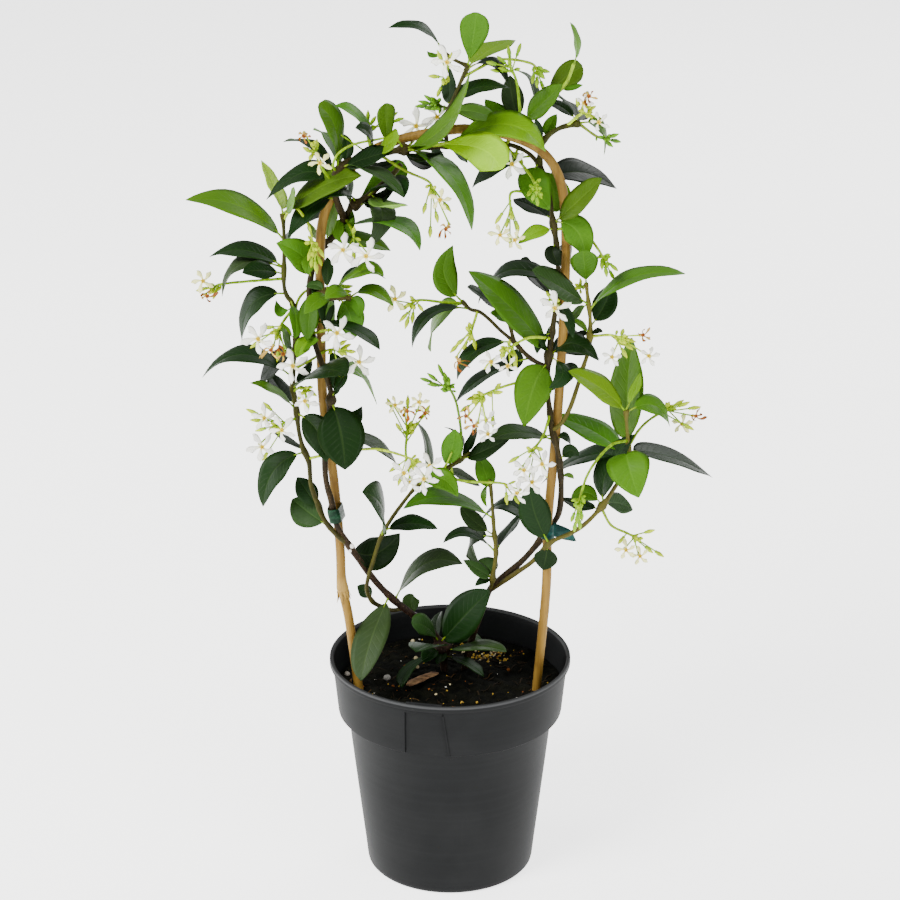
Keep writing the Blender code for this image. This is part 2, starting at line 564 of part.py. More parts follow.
def pixel(point):
    """The pixel of the photograph at which a point is seen."""
    away = point - EYE
    scale = FOCAL_PX / away.dot(AHEAD)
    return CENTRE_PX + away.dot(ASIDE) * scale, CENTRE_PX - away.dot(ABOVE) * scale


def pixel_size(point):
    """What one pixel of the photograph measures at a point, in metres."""
    return (point - EYE).dot(AHEAD) / FOCAL_PX


def curve_through(points, step):
    """Points along a smooth curve through the given ones, about a step of millimetres apart."""
    ends = [points[0] * 2 - points[1], *points, points[-1] * 2 - points[-2]]
    found = []
    for before, start, stop, after in zip(ends, ends[1:], ends[2:], ends[3:]):
        count = max(1, round((stop - start).length / (step * MM)))
        for index in range(count):
            t = index / count
            bend = 2 * before - 5 * start + 4 * stop - after
            twist = 3 * start - before - 3 * stop + after
            found.append(0.5 * (2 * start + (stop - before) * t + bend * t * t + twist * t ** 3))
    found.append(points[-1].copy())
    return found


def evened(points, step):
    """A run resampled to even steps of about so many millimetres, both its ends kept."""
    fine = curve_through(points, 1.0)
    count = max(2, round(len(fine) / step))
    return [fine[round(index * (len(fine) - 1) / count)] for index in range(count + 1)]


def finish(name):
    """The material of that name, made at its first use."""
    known = bpy.data.materials.get(name)
    if known:
        return known
    colour, roughness = FINISHES[name]
    material = bpy.data.materials.new(name)
    material.use_nodes = True
    shader = material.node_tree.nodes["Principled BSDF"]
    shader.inputs["Base Color"].default_value = (*colour, 1.0)
    shader.inputs["Roughness"].default_value = roughness
    shader.inputs["Metallic"].default_value = 0.0
    return material


def collection(name):
    """A new collection in the scene."""
    made = bpy.data.collections.new(name)
    bpy.context.scene.collection.children.link(made)
    return made


def placed(name, mesh, home):
    """A new object for a mesh, in the collection home."""
    body = bpy.data.objects.new(name, mesh)
    home.objects.link(body)
    return body


def skinned(name, skin, home):
    """A new object from a skin: its points and faces."""
    points, faces = skin
    mesh = bpy.data.meshes.new(name)
    mesh.from_pydata(points, [], faces)
    form = bmesh.new()
    form.from_mesh(mesh)
    bmesh.ops.recalc_face_normals(form, faces=form.faces)
    form.to_mesh(mesh)
    form.free()
    return placed(name, mesh, home)


def settled(body):
    """The object's mesh with its modifiers applied."""
    bpy.context.view_layer.update()
    seen = body.evaluated_get(bpy.context.evaluated_depsgraph_get())
    mesh = bpy.data.meshes.new_from_object(seen)
    body.modifiers.clear()
    body.data = mesh
    return body


def tube(name, points, radii, resolution, home):
    """A round closed tube along points, with a radius in millimetres at each."""
    curve = bpy.data.curves.new(name, "CURVE")
    curve.dimensions = "3D"
    curve.resolution_u = 1
    curve.render_resolution_u = 0
    curve.bevel_depth = MM
    curve.bevel_resolution = resolution
    curve.use_fill_caps = True
    line = curve.splines.new("POLY")
    line.points.add(len(points) - 1)
    for place, point, radius in zip(line.points, points, radii):
        place.co = (*point, 1.0)
        place.radius = radius
    source = placed(name + "_line", curve, home)
    bpy.context.view_layer.update()
    mesh = bpy.data.meshes.new_from_object(source.evaluated_get(bpy.context.evaluated_depsgraph_get()))
    form = bmesh.new()
    form.from_mesh(mesh)
    bmesh.ops.remove_doubles(form, verts=form.verts, dist=TIGHT)
    bmesh.ops.recalc_face_normals(form, faces=form.faces)
    form.to_mesh(mesh)
    form.free()
    bpy.data.objects.remove(source)
    return placed(name, mesh, home)


def fused(name, pieces, home):
    """One body of pieces that reach into each other, by a Boolean union on a collection.

    The manifold solver joins these closed skins in a moment, where the exact one takes minutes.
    """
    body = pieces[0]
    crowd = collection(name + "_pieces")
    for piece in pieces[1:]:
        home.objects.unlink(piece)
        crowd.objects.link(piece)
    if len(pieces) > 1:
        join = body.modifiers.new("join", "BOOLEAN")
        join.operation = "UNION"
        join.operand_type = "COLLECTION"
        join.collection = crowd
        join.solver = "MANIFOLD"
        settled(body)
        keep_outer_skin(body)
    for piece in pieces[1:]:
        bpy.data.objects.remove(piece)
    bpy.data.collections.remove(crowd)
    return body


def keep_outer_skin(body):
    """Fills the hollows that fusing sealed and drops loose scraps: only the largest skin stays."""
    form = bmesh.new()
    form.from_mesh(body.data)
    bmesh.ops.remove_doubles(form, verts=form.verts, dist=WELD)
    skins = []
    waiting = set(form.faces)
    while waiting:
        skin = {waiting.pop()}
        front = list(skin)
        while front:
            near = {face for old in front for side in old.edges for face in side.link_faces} & waiting
            waiting -= near
            skin |= near
            front = list(near)
        skins.append(skin)
    largest = max(skins, key=len)
    bmesh.ops.delete(form, geom=[face for face in form.faces if face not in largest], context="FACES")
    form.to_mesh(body.data)
    form.free()


def cut(body, cutter):
    """Takes a cutter's form out of a body."""
    bite = body.modifiers.new("cut_" + cutter.name, "BOOLEAN")
    bite.operation = "DIFFERENCE"
    bite.solver = "EXACT"
    bite.object = cutter
    cutter.hide_render = True
    cutter.display_type = "WIRE"


def loft(rings, tip):
    """A closed skin over four-cornered or three-cornered rings, drawn to a point at its tip.

    Each quad is split from an edge corner to a middle corner, alike on both faces of a blade.
    """
    size = len(rings[0])
    points = [point for ring in rings for point in ring] + [tip]
    faces = []
    for row in range(len(rings) - 1):
        for corner in range(size):
            a = row * size + corner
            b = row * size + (corner + 1) % size
            if corner % 2:
                faces += [(a, b, a + size), (b, b + size, a + size)]
            else:
                faces += [(a, b, b + size), (a, b + size, a + size)]
    last = (len(rings) - 1) * size
    faces += [(last + corner, last + (corner + 1) % size, len(points) - 1) for corner in range(size)]
    faces += [(0, corner + 1, corner) for corner in range(1, size - 1)]
    return points, faces


def round_rings(points, headings, radii, sides):
    """Rings of corners along a line, each square to its heading and none twisted; radii in millimetres."""
    first = headings[0].orthogonal()
    rings = []
    for point, heading, radius in zip(points, headings, radii):
        along = heading.normalized()
        first = (first - along * first.dot(along)).normalized()
        second = along.cross(first)
        angles = [math.tau * index / sides for index in range(sides)]
        spokes = [first * math.cos(angle) + second * math.sin(angle) for angle in angles]
        rings.append([point + spoke * (radius * MM) for spoke in spokes])
    return rings


def headings_of(line):
    """The direction of a line at each of its points."""
    ends = [line[0], *line, line[-1]]
    return [after - before for before, after in zip(ends, ends[2:])]


def spaced_back(line, step):
    """Points on a line's straight pieces, a step of millimetres apart, from its end backwards."""
    found = []
    for start, stop in reversed(list(zip(line, line[1:]))):
        count = max(1, round((stop - start).length / (step * MM)))
        found += [stop.lerp(start, index / count) for index in range(1, count + 1)]
    return found


class Stem:
    """A leafy stem's runs in space, with the radius at its root and at its tips."""

    known = {}

    def __init__(self, name, home):
        """Reads the stem's row, starts it clear of the stem that it grows from, and builds its tubes."""
        self.name = name
        self.thick, self.thin, runs = STEMS[name]
        self.runs = [curve_through([sight(*place) for place in run], STEM_STEP) for run in runs]
        parent = PARENTS.get(name)
        if parent:
            self.runs[0] = started_clear(self.runs[0], Stem.known[parent], self.thick)
        self.runs = [evened(run, STEM_STEP) for run in self.runs]
        if not parent:
            self.runs[0] = self.rooted(self.runs[0])
        self.samples = self.sampled()
        self.tubes = [self.tubed(number, home) for number in range(len(self.runs))]
        self.trees = [BVHTree.FromPolygons(*skin_of(body)) for body in self.tubes]
        Stem.known[name] = self

    def rooted(self, run):
        """The run with a straight foot down into the soil."""
        slope = run[0] - run[1]
        foot = run[0] + slope * ((TRUNK_FOOT * MM - run[0].z) / slope.z)
        return [foot, *run]

    def radius_at(self, number, share):
        """The radius at a share of the way along a run; side runs start at the middle thickness."""
        share = share if number == 0 else 0.5 + 0.5 * share
        return self.thick + (self.thin - self.thick) * share

    def radii(self, number):
        """The radius at each point of a run."""
        last = len(self.runs[number]) - 1
        return [self.radius_at(number, index / last) for index in range(last + 1)]

    def tubed(self, number, home):
        """A run as a tube; slim stems have fewer sides."""
        name = f"{self.name}_run_{number}" if number else self.name
        return tube(name, self.runs[number], self.radii(number), 1 if self.thick > SLIM_STEM else 0, home)

    def sampled(self):
        """Points a millimetre apart on every run, each with the pixel at which it is seen."""
        return [(point, pixel(point)) for run in self.runs for point in spaced_back(run, 1.0)]

    def root_at(self, place):
        """The axis point of the stem that is seen nearest to a pixel."""
        return min(self.samples, key=lambda row: math.dist(row[1], place))[0]

    def clearance(self, corners):
        """How far the nearest of some points lies outside the stem's tubes; inside is negative."""
        found = []
        for tree in self.trees:
            for corner in corners:
                hit, normal, face, distance = tree.find_nearest(corner)
                found.append(math.copysign(distance, (corner - hit).dot(normal)) / MM)
        return min(found)


def skin_of(body):
    """The points and faces of an object's mesh as it is seen."""
    bpy.context.view_layer.update()
    mesh = body.evaluated_get(bpy.context.evaluated_depsgraph_get()).data
    return [vertex.co.copy() for vertex in mesh.vertices], [tuple(face.vertices) for face in mesh.polygons]


def started_clear(run, parent, radius):
    """The run from the first point on at which its round end clears the parent's tubes."""
    fine = curve_through(run, START_STEP)
    for index, point in enumerate(fine[:-1]):
        heading = fine[min(index + LOOK_STEPS, len(fine) - 1)] - point
        ring = round_rings([point], [heading], [radius], 6)[0]
        if parent.clearance([point, *ring]) >= BRANCH_GAP:
            rest = [corner for corner in run[1:-1] if parent_order(fine, corner) > index + CLEAR_STEPS]
            return [point, *rest, run[-1]]
    return run


def parent_order(fine, corner):
    """The index of the fine point nearest to a corner."""
    return min(range(len(fine)), key=lambda index: (fine[index] - corner).length)


def leaf_skin(leaf, root, shift, swell=0.0):
    """A leaf's skin: a thin petiole from the stem's axis that opens into a folded, lens-shaped blade.

    The midrib is a parabola through the root, the middle and the tip. The blade is as wide as its
    length asks, and rolled about the midrib until it looks as wide as in the photograph.
    """
    depth = root.y / MM
    reach = leaf.reach + shift
    middle = sight(*leaf.middle, depth + MIDDLE_SHARE * reach)
    tip = sight(*leaf.tip, depth + reach)
    handle = middle * 2 - (root + tip) / 2
    length = (middle - root).length + (tip - middle).length
    along = (tip - root).normalized()
    side = along.cross(middle - EYE).normalized()
    face = along.cross(side)
    seen = abs(leaf.seen) * pixel_size(middle)
    width = max(seen, min(BLADE_SHARE * length, BLADE_MOST * MM))
    roll = min(math.acos(seen / width), STEEPEST_ROLL)
    front = 1 if leaf.seen > 0 else -1
    lift = 1 if side.z > 0 else -1
    top = face * (front * math.cos(roll)) + side * (lift * math.sin(roll))
    edge = along.cross(top)
    stations = LONG_STATIONS if length > LONG_BLADE * MM else BLADE_STATIONS
    stations = SMALL_STATIONS if length < SMALL_BLADE * MM else stations
    petiole = PETIOLE_RADIUS + swell
    neck = min(PETIOLE_LENGTH * MM / length, NECK_SHARE) if length > SHORT_BLADE * MM else 0.0
    rows = [(0.0, petiole, petiole)]
    if neck:
        rows.append((neck, petiole, petiole))
    for share, wide in stations:
        half = wide * width / MM / 2
        rows.append((neck + (1 - neck) * share, half + swell, BLADE_HALF_DEPTH + swell))
    rings = []
    for t, half, deep in rows:
        centre = root * (1 - t) ** 2 + handle * (2 * t * (1 - t)) + tip * t ** 2
        heading = ((handle - root) * (1 - t) + (tip - handle) * t).normalized()
        across = (edge - heading * edge.dot(heading)).normalized()
        up = across.cross(heading)
        rise = up * (deep * MM)
        wide = across * (half * MM)
        rings.append([centre + wide + rise, centre - rise, centre - wide + rise])
    return loft(rings, tip)


def bud_skin(start, tip, swell):
    """A pedicel that swells into a calyx and a pointed bud."""
    along = tip - start
    length = along.length / MM
    bud = min(BUD_LENGTH, BUD_SHARE * length)
    shoulder = tip - along.normalized() * (BUD_SHOULDER * bud * MM)
    radii = [PEDICEL_RADIUS + swell, BUD_RADIUS + swell]
    return loft(round_rings([start, shoulder], [along, along], radii, 3), tip)


def tube_skin(start, centre, face, swell):
    """A pedicel, calyx and corolla tube that meets the back of an open flower."""
    neck = centre - face * (TUBE_LENGTH * MM)
    headings = [neck - start, (neck - start).normalized() + face]
    radii = [PEDICEL_RADIUS + swell, CALYX_RADIUS + swell]
    return loft(round_rings([start, neck], headings, radii, 3), centre)


def star_skin(centre, face, radius, droop, spin, swell):
    """Five petals turned like a pinwheel's, one lens of a star: each has a notch and two corners."""
    first = face.cross(STAR_GUIDE).normalized()
    second = face.cross(first)
    outline = []
    for petal in range(PETALS):
        for turn, share, lift in PETAL_CORNERS:
            angle = spin + math.tau * petal / PETALS + turn
            reach = share * radius + swell
            fall = (lift * share - droop * share * share) * MM
            spoke = (first * math.cos(angle) + second * math.sin(angle)) * (reach * MM)
            outline.append(centre + spoke + face * fall)
    count = len(outline)
    apexes = [centre + face * ((STAR_FRONT + swell) * MM), centre - face * ((STAR_BACK + swell) * MM)]
    points = [*outline, *apexes]
    faces = []
    for index in range(count):
        following = (index + 1) % count
        faces += [(index, following, count), (following, index, count + 1)]
    return points, faces


def drawn_tilt(draw, ranges):
    """How a flower's face turns from the camera, drawn from its ranges."""
    aside, forward, upward = ranges
    return Vector((draw.uniform(*aside), forward, draw.uniform(*upward)))


def spray_skins(spray, number, stem, shift):
    """The skins of a spray, swollen and plain: its stalk, open flowers, spent flowers and buds."""
    draw = random.Random(number)
    root = stem.root_at(spray.path[0])
    depth = root.y / MM
    reach = spray.reach + shift
    steps = len(spray.path) - 1
    places = [sight(*place, depth + reach * index / steps) for index, place in enumerate(spray.path)]
    places[0] = root
    line = started_clear(curve_through(places, STALK_STEP), stem, STALK_RADIUS)
    head_depth = line[-1].y / MM
    end = line[-1] + (line[-1] - line[-2]).normalized() * (STALK_END * MM)
    stalks = []
    for swell in (SPRAY_SWELL, 0.0):
        rings = round_rings(line, headings_of(line), [STALK_RADIUS + swell] * len(line), 3)
        stalks.append(loft(rings, end))
    skins = [tuple(stalks)]
    backs = spaced_back(line, BLOOM_STEP)
    starts = iter(backs + [backs[-1]] * len(spray.buds + spray.open + spray.spent))
    for place, start in zip(spray.open, starts):
        tilt = drawn_tilt(draw, OPEN_TILT)
        form = (FLOWER_RADIUS * draw.uniform(*OPEN_SIZES), OPEN_DROOP, draw.uniform(0.0, MOST_SPIN))
        skins += apart(skins, FLOWER_OFFSETS, lambda off, swell: flower_skins(
            place, head_depth + off, start, tilt, form, swell))
    for place, start in zip(spray.spent, starts):
        tilt = drawn_tilt(draw, SPENT_TILT)
        form = (SPENT_RADIUS, SPENT_DROOP, draw.uniform(0.0, MOST_SPIN))
        skins += apart(skins, FLOWER_OFFSETS, lambda off, swell: flower_skins(
            place, head_depth + off, start, tilt, form, swell))
    for place, start in zip(spray.buds, starts):
        skins += apart(skins, BUD_OFFSETS, lambda off, swell: [
            bud_skin(start, sight(*place, head_depth + off), swell)])
    return skins


def flower_skins(place, depth, start, tilt, form, swell):
    """The skins of one flower at a pixel and depth: its tube and its star of petals."""
    centre = sight(*place, depth)
    face = ((EYE - centre).normalized() + tilt).normalized()
    size, droop, spin = form
    return [tube_skin(start, centre, face, swell), star_skin(centre, face, size, droop, spin, swell)]


def apart(placed_skins, offsets, make):
    """The skins of a bloom at the first offset in depth where they cross the spray's others least."""
    trees = [BVHTree.FromPolygons(*swollen) for swollen, plain in placed_skins]
    best = None
    for offset in offsets:
        skins = make(offset, SPRAY_SWELL)
        count = 0
        for skin in skins:
            tree = BVHTree.FromPolygons(*skin)
            count += sum(len(tree.overlap(other)) for other in trees)
        if best is None or count < best[0]:
            best = (count, offset, skins)
    return list(zip(best[2], make(best[1], 0.0)))


class Space:
    """What is already placed, node by node, so that the next piece can be laid clear of it."""

    def __init__(self):
        """Starts empty."""
        self.trees = []

    def take(self, node, skin, axis=False):
        """Notes a skin of a node; an axis carries the node's own pieces, which may cross it."""
        self.trees.append((node, BVHTree.FromPolygons(*skin), axis))

    def take_body(self, body):
        """Notes a finished object's mesh."""
        self.take(body.name, skin_of(body))

    def crossings(self, node, skins):
        """How many faces of some skins cross others; those of other nodes count a hundredfold."""
        count = 0
        for skin in skins:
            tree = BVHTree.FromPolygons(*skin)
            for name, other, axis in self.trees:
                if name != node:
                    count += 100 * len(tree.overlap(other))
                elif not axis:
                    count += len(tree.overlap(other))
        return count

    def clear_shift(self, node, make):
        """The first trial depth at which the skins made cross nothing, or the one that crosses least."""
        best = None
        for shift in TRIALS:
            count = self.crossings(node, make(shift))
            if count == 0:
                return shift
            if best is None or count < best[0]:
                best = (count, shift)
        return best[1]


def turned(name, profile, home):
    """A profile turned round the Z axis."""
    mesh = bpy.data.meshes.new(name)
    edges = [(index, index + 1) for index in range(len(profile) - 1)]
    mesh.from_pydata([(radius * MM, 0.0, height * MM) for radius, height in profile], edges, [])
    body = placed(name, mesh, home)
    turn = body.modifiers.new("turn", "SCREW")
    turn.steps = turn.render_steps = POT_SIDES
    turn.use_merge_vertices = True
    turn.merge_threshold = TIGHT
    return body


def box_at(name, size, place, turn, home):
    """A box of a size in millimetres, turned about Z at a place in millimetres."""
    mesh = bpy.data.meshes.new(name)
    form = bmesh.new()
    bmesh.ops.create_cube(form, size=1.0)
    spread = Matrix.Diagonal((size[0] * MM, size[1] * MM, size[2] * MM, 1.0))
    bmesh.ops.transform(form, matrix=spread, verts=form.verts)
    form.to_mesh(mesh)
    form.free()
    body = placed(name, mesh, home)
    body.location = Vector(place) * MM
    body.rotation_euler = (0.0, 0.0, turn)
    return body


def build_pot(home, cutters):
    """The pot: a thin turned shell with drain holes and a label recess on its collar."""
    pot = turned("pot", POT_INSIDE + POT_OUTSIDE, home)
    turn = math.asin((LABEL_LEFT + LABEL_RIGHT) / 2 / RIM_RADIUS)
    ring = RIM_RADIUS - TAB_INSET
    height = TAB_RISE + TAB_ROOT
    place = (ring * math.sin(turn), -ring * math.cos(turn), POT_HEIGHT + TAB_RISE - height / 2)
    tab = box_at("label_tab", (TAB_WIDTH, TAB_THICKNESS, height), place, turn, cutters)
    add = pot.modifiers.new("tab", "BOOLEAN")
    add.operation = "UNION"
    add.object = tab
    tab.hide_render = True
    tab.display_type = "WIRE"
    for index in range(DRAIN_COUNT):
        angle = math.tau * (index + 0.5) / DRAIN_COUNT
        bpy.ops.mesh.primitive_cylinder_add(
            vertices=DRAIN_SIDES, radius=DRAIN_RADIUS * MM, depth=DRAIN_CUTTER * MM)
        drain = bpy.context.object
        drain.name = f"drain_{index + 1}"
        drain.location = Vector((math.cos(angle), math.sin(angle), 0.0)) * (DRAIN_RING * MM)
        for owner in list(drain.users_collection):
            owner.objects.unlink(drain)
        cutters.objects.link(drain)
        cut(pot, drain)
    slots = (
        ("label_slot", LABEL_LEFT + LABEL_SLOT / 2, LABEL_SLOT, LABEL_DEPTH),
        ("label_groove", LABEL_RIGHT, GROOVE, GROOVE_DEPTH),
    )
    for name, offset, wide, deep in slots:
        turn = math.asin(offset / LABEL_RING)
        height = POT_HEIGHT - LABEL_BELOW_RIM - LABEL_FOOT
        ring = LABEL_RING + LABEL_CUTTER / 2 - deep
        place = (ring * math.sin(turn), -ring * math.cos(turn), LABEL_FOOT + height / 2)
        slot = box_at(name, (wide, LABEL_CUTTER, height), place, turn, cutters)
        slot.rotation_euler = (LABEL_LEAN, 0.0, turn)
        cut(pot, slot)
    return pot


def soil_relief(x, y):
    """How far the soil rises or sinks at a place, millimetres: crossed waves of unlike lengths."""
    (first, start), (second, shift) = SOIL_WAVES
    coarse = math.sin(first * x + start) * math.cos(second * y + shift)
    fine = math.sin(SOIL_RIPPLE[0] * x + SOIL_RIPPLE[1] * y) * SOIL_RIPPLE_SHARE
    return SOIL_RELIEF * (coarse + fine)


def build_soil(home, cutters, hoop_line, stems):
    """The soil: a turned plug that fills the pot, its top in low relief, with plain holes."""
    top = [(radius, SOIL_TOP + SOIL_MOUND * (1 - radius / SOIL_RINGS[-1])) for radius in SOIL_RINGS]
    soil = settled(turned("soil", (*top, *SOIL_SIDE), home))
    for vertex in soil.data.vertices:
        reach = math.hypot(vertex.co.x, vertex.co.y) / MM
        if vertex.co.z > (SOIL_TOP - 1.0) * MM and reach < SOIL_RINGS[-1] - 1.0:
            vertex.co.z += soil_relief(vertex.co.x, vertex.co.y) * MM
    lines = [("cane_hole_left", hoop_line, CANE_RADIUS), ("cane_hole_right", hoop_line[::-1], CANE_RADIUS)]
    lines += [(stem.name + "_hole", stem.runs[0], stem.thick) for stem in stems]
    for name, line, radius in lines:
        low = [point for point in line[:5] if point.z < (SOIL_TOP + HOLE_OPENING) * MM]
        below = low[0] + (low[0] - low[1]).normalized() * (HOLE_BELOW * MM)
        points = [below, *low, line[len(low)]]
        hole = tube(name, points, [radius + HOLE_GAP] * len(points), 2, cutters)
        cut(soil, hole)
    return soil


def build_hoop(home):
    """The bent cane, its knot and its two legs down into the soil."""
    line = curve_through([sight(*place) for place in HOOP], CANE_STEP)
    for end, inner in ((0, 1), (-1, -2)):
        slope = line[end] - line[inner]
        foot = line[end] + slope * ((CANE_FOOT * MM - line[end].z) / slope.z)
        line = [foot, *line] if end == 0 else [*line, foot]
    knot = min(line, key=lambda point: math.dist(pixel(point), KNOT_PIXEL))
    radii = []
    for point in line:
        swell = (KNOT_SWELL - 1) * math.exp(-((point - knot).length / (KNOT_LENGTH * MM)) ** 2)
        radii.append(CANE_RADIUS * (1 + swell))
    return tube("cane_hoop", line, radii, 1, home), line


def belt_skin(rounds, axis, height):
    """A flat ribbon drawn round two or more round sections, each a centre and a radius."""
    middle = sum((centre for centre, radius in rounds), Vector()) / len(rounds)
    flat = [centre - axis * (centre - middle).dot(axis) for centre, radius in rounds]
    first = axis.cross(Vector((0.0, 1.0, 0.0))).normalized()
    second = axis.cross(first)
    rings = []
    for rise, wall in ((-0.5, 0.0), (-0.5, TIE_WALL), (0.5, TIE_WALL), (0.5, 0.0)):
        ring = []
        for index in range(TIE_SIDES):
            angle = math.tau * index / TIE_SIDES
            out = first * math.cos(angle) + second * math.sin(angle)
            reach = [centre.dot(out) + radius * MM for centre, (old, radius) in zip(flat, rounds)]
            best = reach.index(max(reach))
            spread = (rounds[best][1] / math.cos(math.pi / TIE_SIDES) + wall) * MM
            ring.append(flat[best] + out * spread + axis * (rise * height * MM))
        rings.append(ring)
    points = [point for ring in rings for point in ring]
    faces = []
    for row in range(4):
        for index in range(TIE_SIDES):
            following = (index + 1) % TIE_SIDES
            start, stop = row * TIE_SIDES, (row + 1) % 4 * TIE_SIDES
            faces.append((start + index, start + following, stop + following, stop + index))
    return points, faces


def build_tie(name, rounds, ends, height, home):
    """A ribbon round some sections, square to the line between two places."""
    axis = (sight(*ends[0]) - sight(*ends[1])).normalized()
    sections = [(sight(*place), radius) for *place, radius in rounds]
    return skinned(name, belt_skin(sections, axis, height), home)


def build_ties(home):
    """The two ribbons: one round the left leg and its stem, one round the right leg with a free tail."""
    left = build_tie("tie_left", TIE_LEFT_ROUNDS, TIE_LEFT_AXIS, TIE_LEFT_HEIGHT, home)
    right = build_tie("tie_right", TIE_RIGHT_ROUNDS, TIE_RIGHT_AXIS, TIE_RIGHT_HEIGHT, home)
    start = sight(*TAIL_START)
    end = sight(*TAIL_END)
    heading = (end - start).normalized()
    thick = heading.cross(Vector((0.0, 0.0, 1.0))).normalized() * (TAIL_HALF_DEPTH * MM)
    rings = []
    for share, half in TAIL_STATIONS:
        point = start.lerp(end, share)
        rise = Vector((0.0, 0.0, half * MM))
        rings.append([point + rise, point - thick, point - rise, point + thick])
    tail = skinned("tail", loft(rings, end + heading * (TAIL_TIP * MM)), home)
    return left, fused("tie_right", [right, tail], home)


def rest_height(tree, spots):
    """The soil's greatest height under some spots, metres."""
    return max(tree.ray_cast(Vector((spot.x, spot.y, 1.0)), Vector((0, 0, -1)))[0].z for spot in spots)


def build_chip(home, tree):
    """The chip of bark, laid along the soil."""
    start = ground(*CHIP_START, SOIL_TOP + LAID_RISE)
    stop = ground(*CHIP_STOP, SOIL_TOP + LAID_RISE)
    heading = (stop - start).normalized()
    across = heading.cross(Vector((0, 0, 1))).normalized()
    spots = []
    for index in range(CHIP_SPOTS + 1):
        centre = start.lerp(stop, index / CHIP_SPOTS)
        spots += [centre + across * (side * CHIP_HALF_WIDTH * MM) for side in (-1, 0, 1)]
    base = rest_height(tree, spots) + LAID_GAP * MM
    rings = []
    for share, half, thick in CHIP_STATIONS:
        centre = start.lerp(stop, share)
        centre.z = base + thick / 2 * MM
        rise = Vector((0, 0, thick / 2 * MM))
        wide = across * (half * MM)
        narrow = wide * CHIP_TAPER
        low, high = centre - rise, centre + rise
        rings.append([low + wide, low - wide, high - narrow, high + narrow])
    tip = stop.copy()
    tip.z = base + CHIP_TIP_HEIGHT * MM
    return skinned("bark_chip", loft(rings, tip), home)


def build_pebble(home, tree):
    """The pebble, laid on the soil."""
    mesh = bpy.data.meshes.new("pebble")
    form = bmesh.new()
    bmesh.ops.create_icosphere(form, subdivisions=2, radius=1.0)
    spread = Matrix.Diagonal((*(radius * MM for radius in PEBBLE_RADII), 1.0))
    bmesh.ops.transform(form, matrix=spread, verts=form.verts)
    form.to_mesh(mesh)
    form.free()
    pebble = placed("pebble", mesh, home)
    spot = ground(*PEBBLE_PIXEL, SOIL_TOP + LAID_RISE)
    ring = [spot + Vector((math.cos(a), math.sin(a), 0)) * (PEBBLE_FOOT * MM) for a in range(6)]
    pebble.location = (spot.x, spot.y, rest_height(tree, [spot, *ring]) + PEBBLE_REST * MM)
    return pebble


def build_plant(home, space):
    """The leafy stems and the flower sprays, each fused into one body."""
    stems = {name: Stem.known[name] for name in STEMS}
    for name, stem in stems.items():
        for body in stem.tubes:
            space.take(name, skin_of(body), axis=True)
    leaf_skins = {name: [] for name in STEMS}
    for name, leaves in LEAVES.items():
        for leaf in leaves:
            root = stems[name].root_at(leaf.root)
            shift = space.clear_shift(name, lambda trial: [leaf_skin(leaf, root, trial, LEAF_SWELL)])
            skin = leaf_skin(leaf, root, shift)
            leaf_skins[name].append(skin)
            space.take(name, skin)
    bodies = []
    for name, stem in stems.items():
        pieces = list(stem.tubes)
        for number, skin in enumerate(leaf_skins[name]):
            pieces.append(skinned(f"{name}_leaf_{number + 1}", skin, home))
        bodies.append(fused(name, pieces, home))
    for number, spray in enumerate(SPRAYS, 1):
        name = f"flower_spray_{number:02d}"
        stem = stems[spray.stem]
        shift = space.clear_shift(
            name, lambda trial: [swollen for swollen, plain in spray_skins(spray, number, stem, trial)])
        pieces = []
        for index, (swollen, plain) in enumerate(spray_skins(spray, number, stem, shift)):
            space.take(name, plain)
            pieces.append(skinned(f"{name}_{index}" if index else name, plain, home))
        bodies.append(fused(name, pieces, home))
    return bodies


def main():
    """Builds the whole object."""
    for body in list(bpy.data.objects):
        bpy.data.objects.remove(body)
    home = collection("potted_star_jasmine")
    cutters = collection("cutters")
    anchor = bpy.data.objects.new("star_jasmine", None)
    home.objects.link(anchor)
    for name in STEMS:
        Stem(name, home)
    hoop, hoop_line = build_hoop(home)
    trunks = [Stem.known[name] for name in STEMS if name not in PARENTS]
    pot = build_pot(home, cutters)
    soil = build_soil(home, cutters, hoop_line, trunks)
    ties = build_ties(home)
    soil_tree = BVHTree.FromPolygons(*skin_of(soil))
    litter = (build_chip(home, soil_tree), build_pebble(home, soil_tree))
    space = Space()
    for body in (hoop, pot, soil, *ties):
        space.take_body(body)
    plant = build_plant(home, space)
    dressed = [(pot, "pot_plastic"), (soil, "compost"), (hoop, "cane"), *((tie, "ribbon") for tie in ties)]
    dressed += zip(litter, ("bark", "stone"))
    for body in plant:
        dressed.append((body, "petals" if body.name.startswith("flower") else "foliage"))
    for body, name in dressed:
        body.data.materials.clear()
        body.data.materials.append(finish(name))
        body.parent = anchor
    for body in (pot, soil, hoop, litter[1]):
        body.data.shade_smooth()
        body.data.set_sharp_from_angle(angle=SMOOTH_ANGLE)


main()
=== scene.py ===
"""Potted star jasmine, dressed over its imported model.

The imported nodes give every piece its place. The plant was laid out on the sight lines of the photograph's
camera, so this script repeats that camera and the rows that describe each leaf, stem and spray, and reads
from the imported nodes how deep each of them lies. Metres, +Z up, the origin at the middle of the pot's base.
"""

from __future__ import annotations

import logging
import math
import random
from dataclasses import dataclass, field
from enum import Enum
from typing import Callable, NamedTuple, Sequence

import bmesh
import bpy
import numpy as np
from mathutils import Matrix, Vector, kdtree

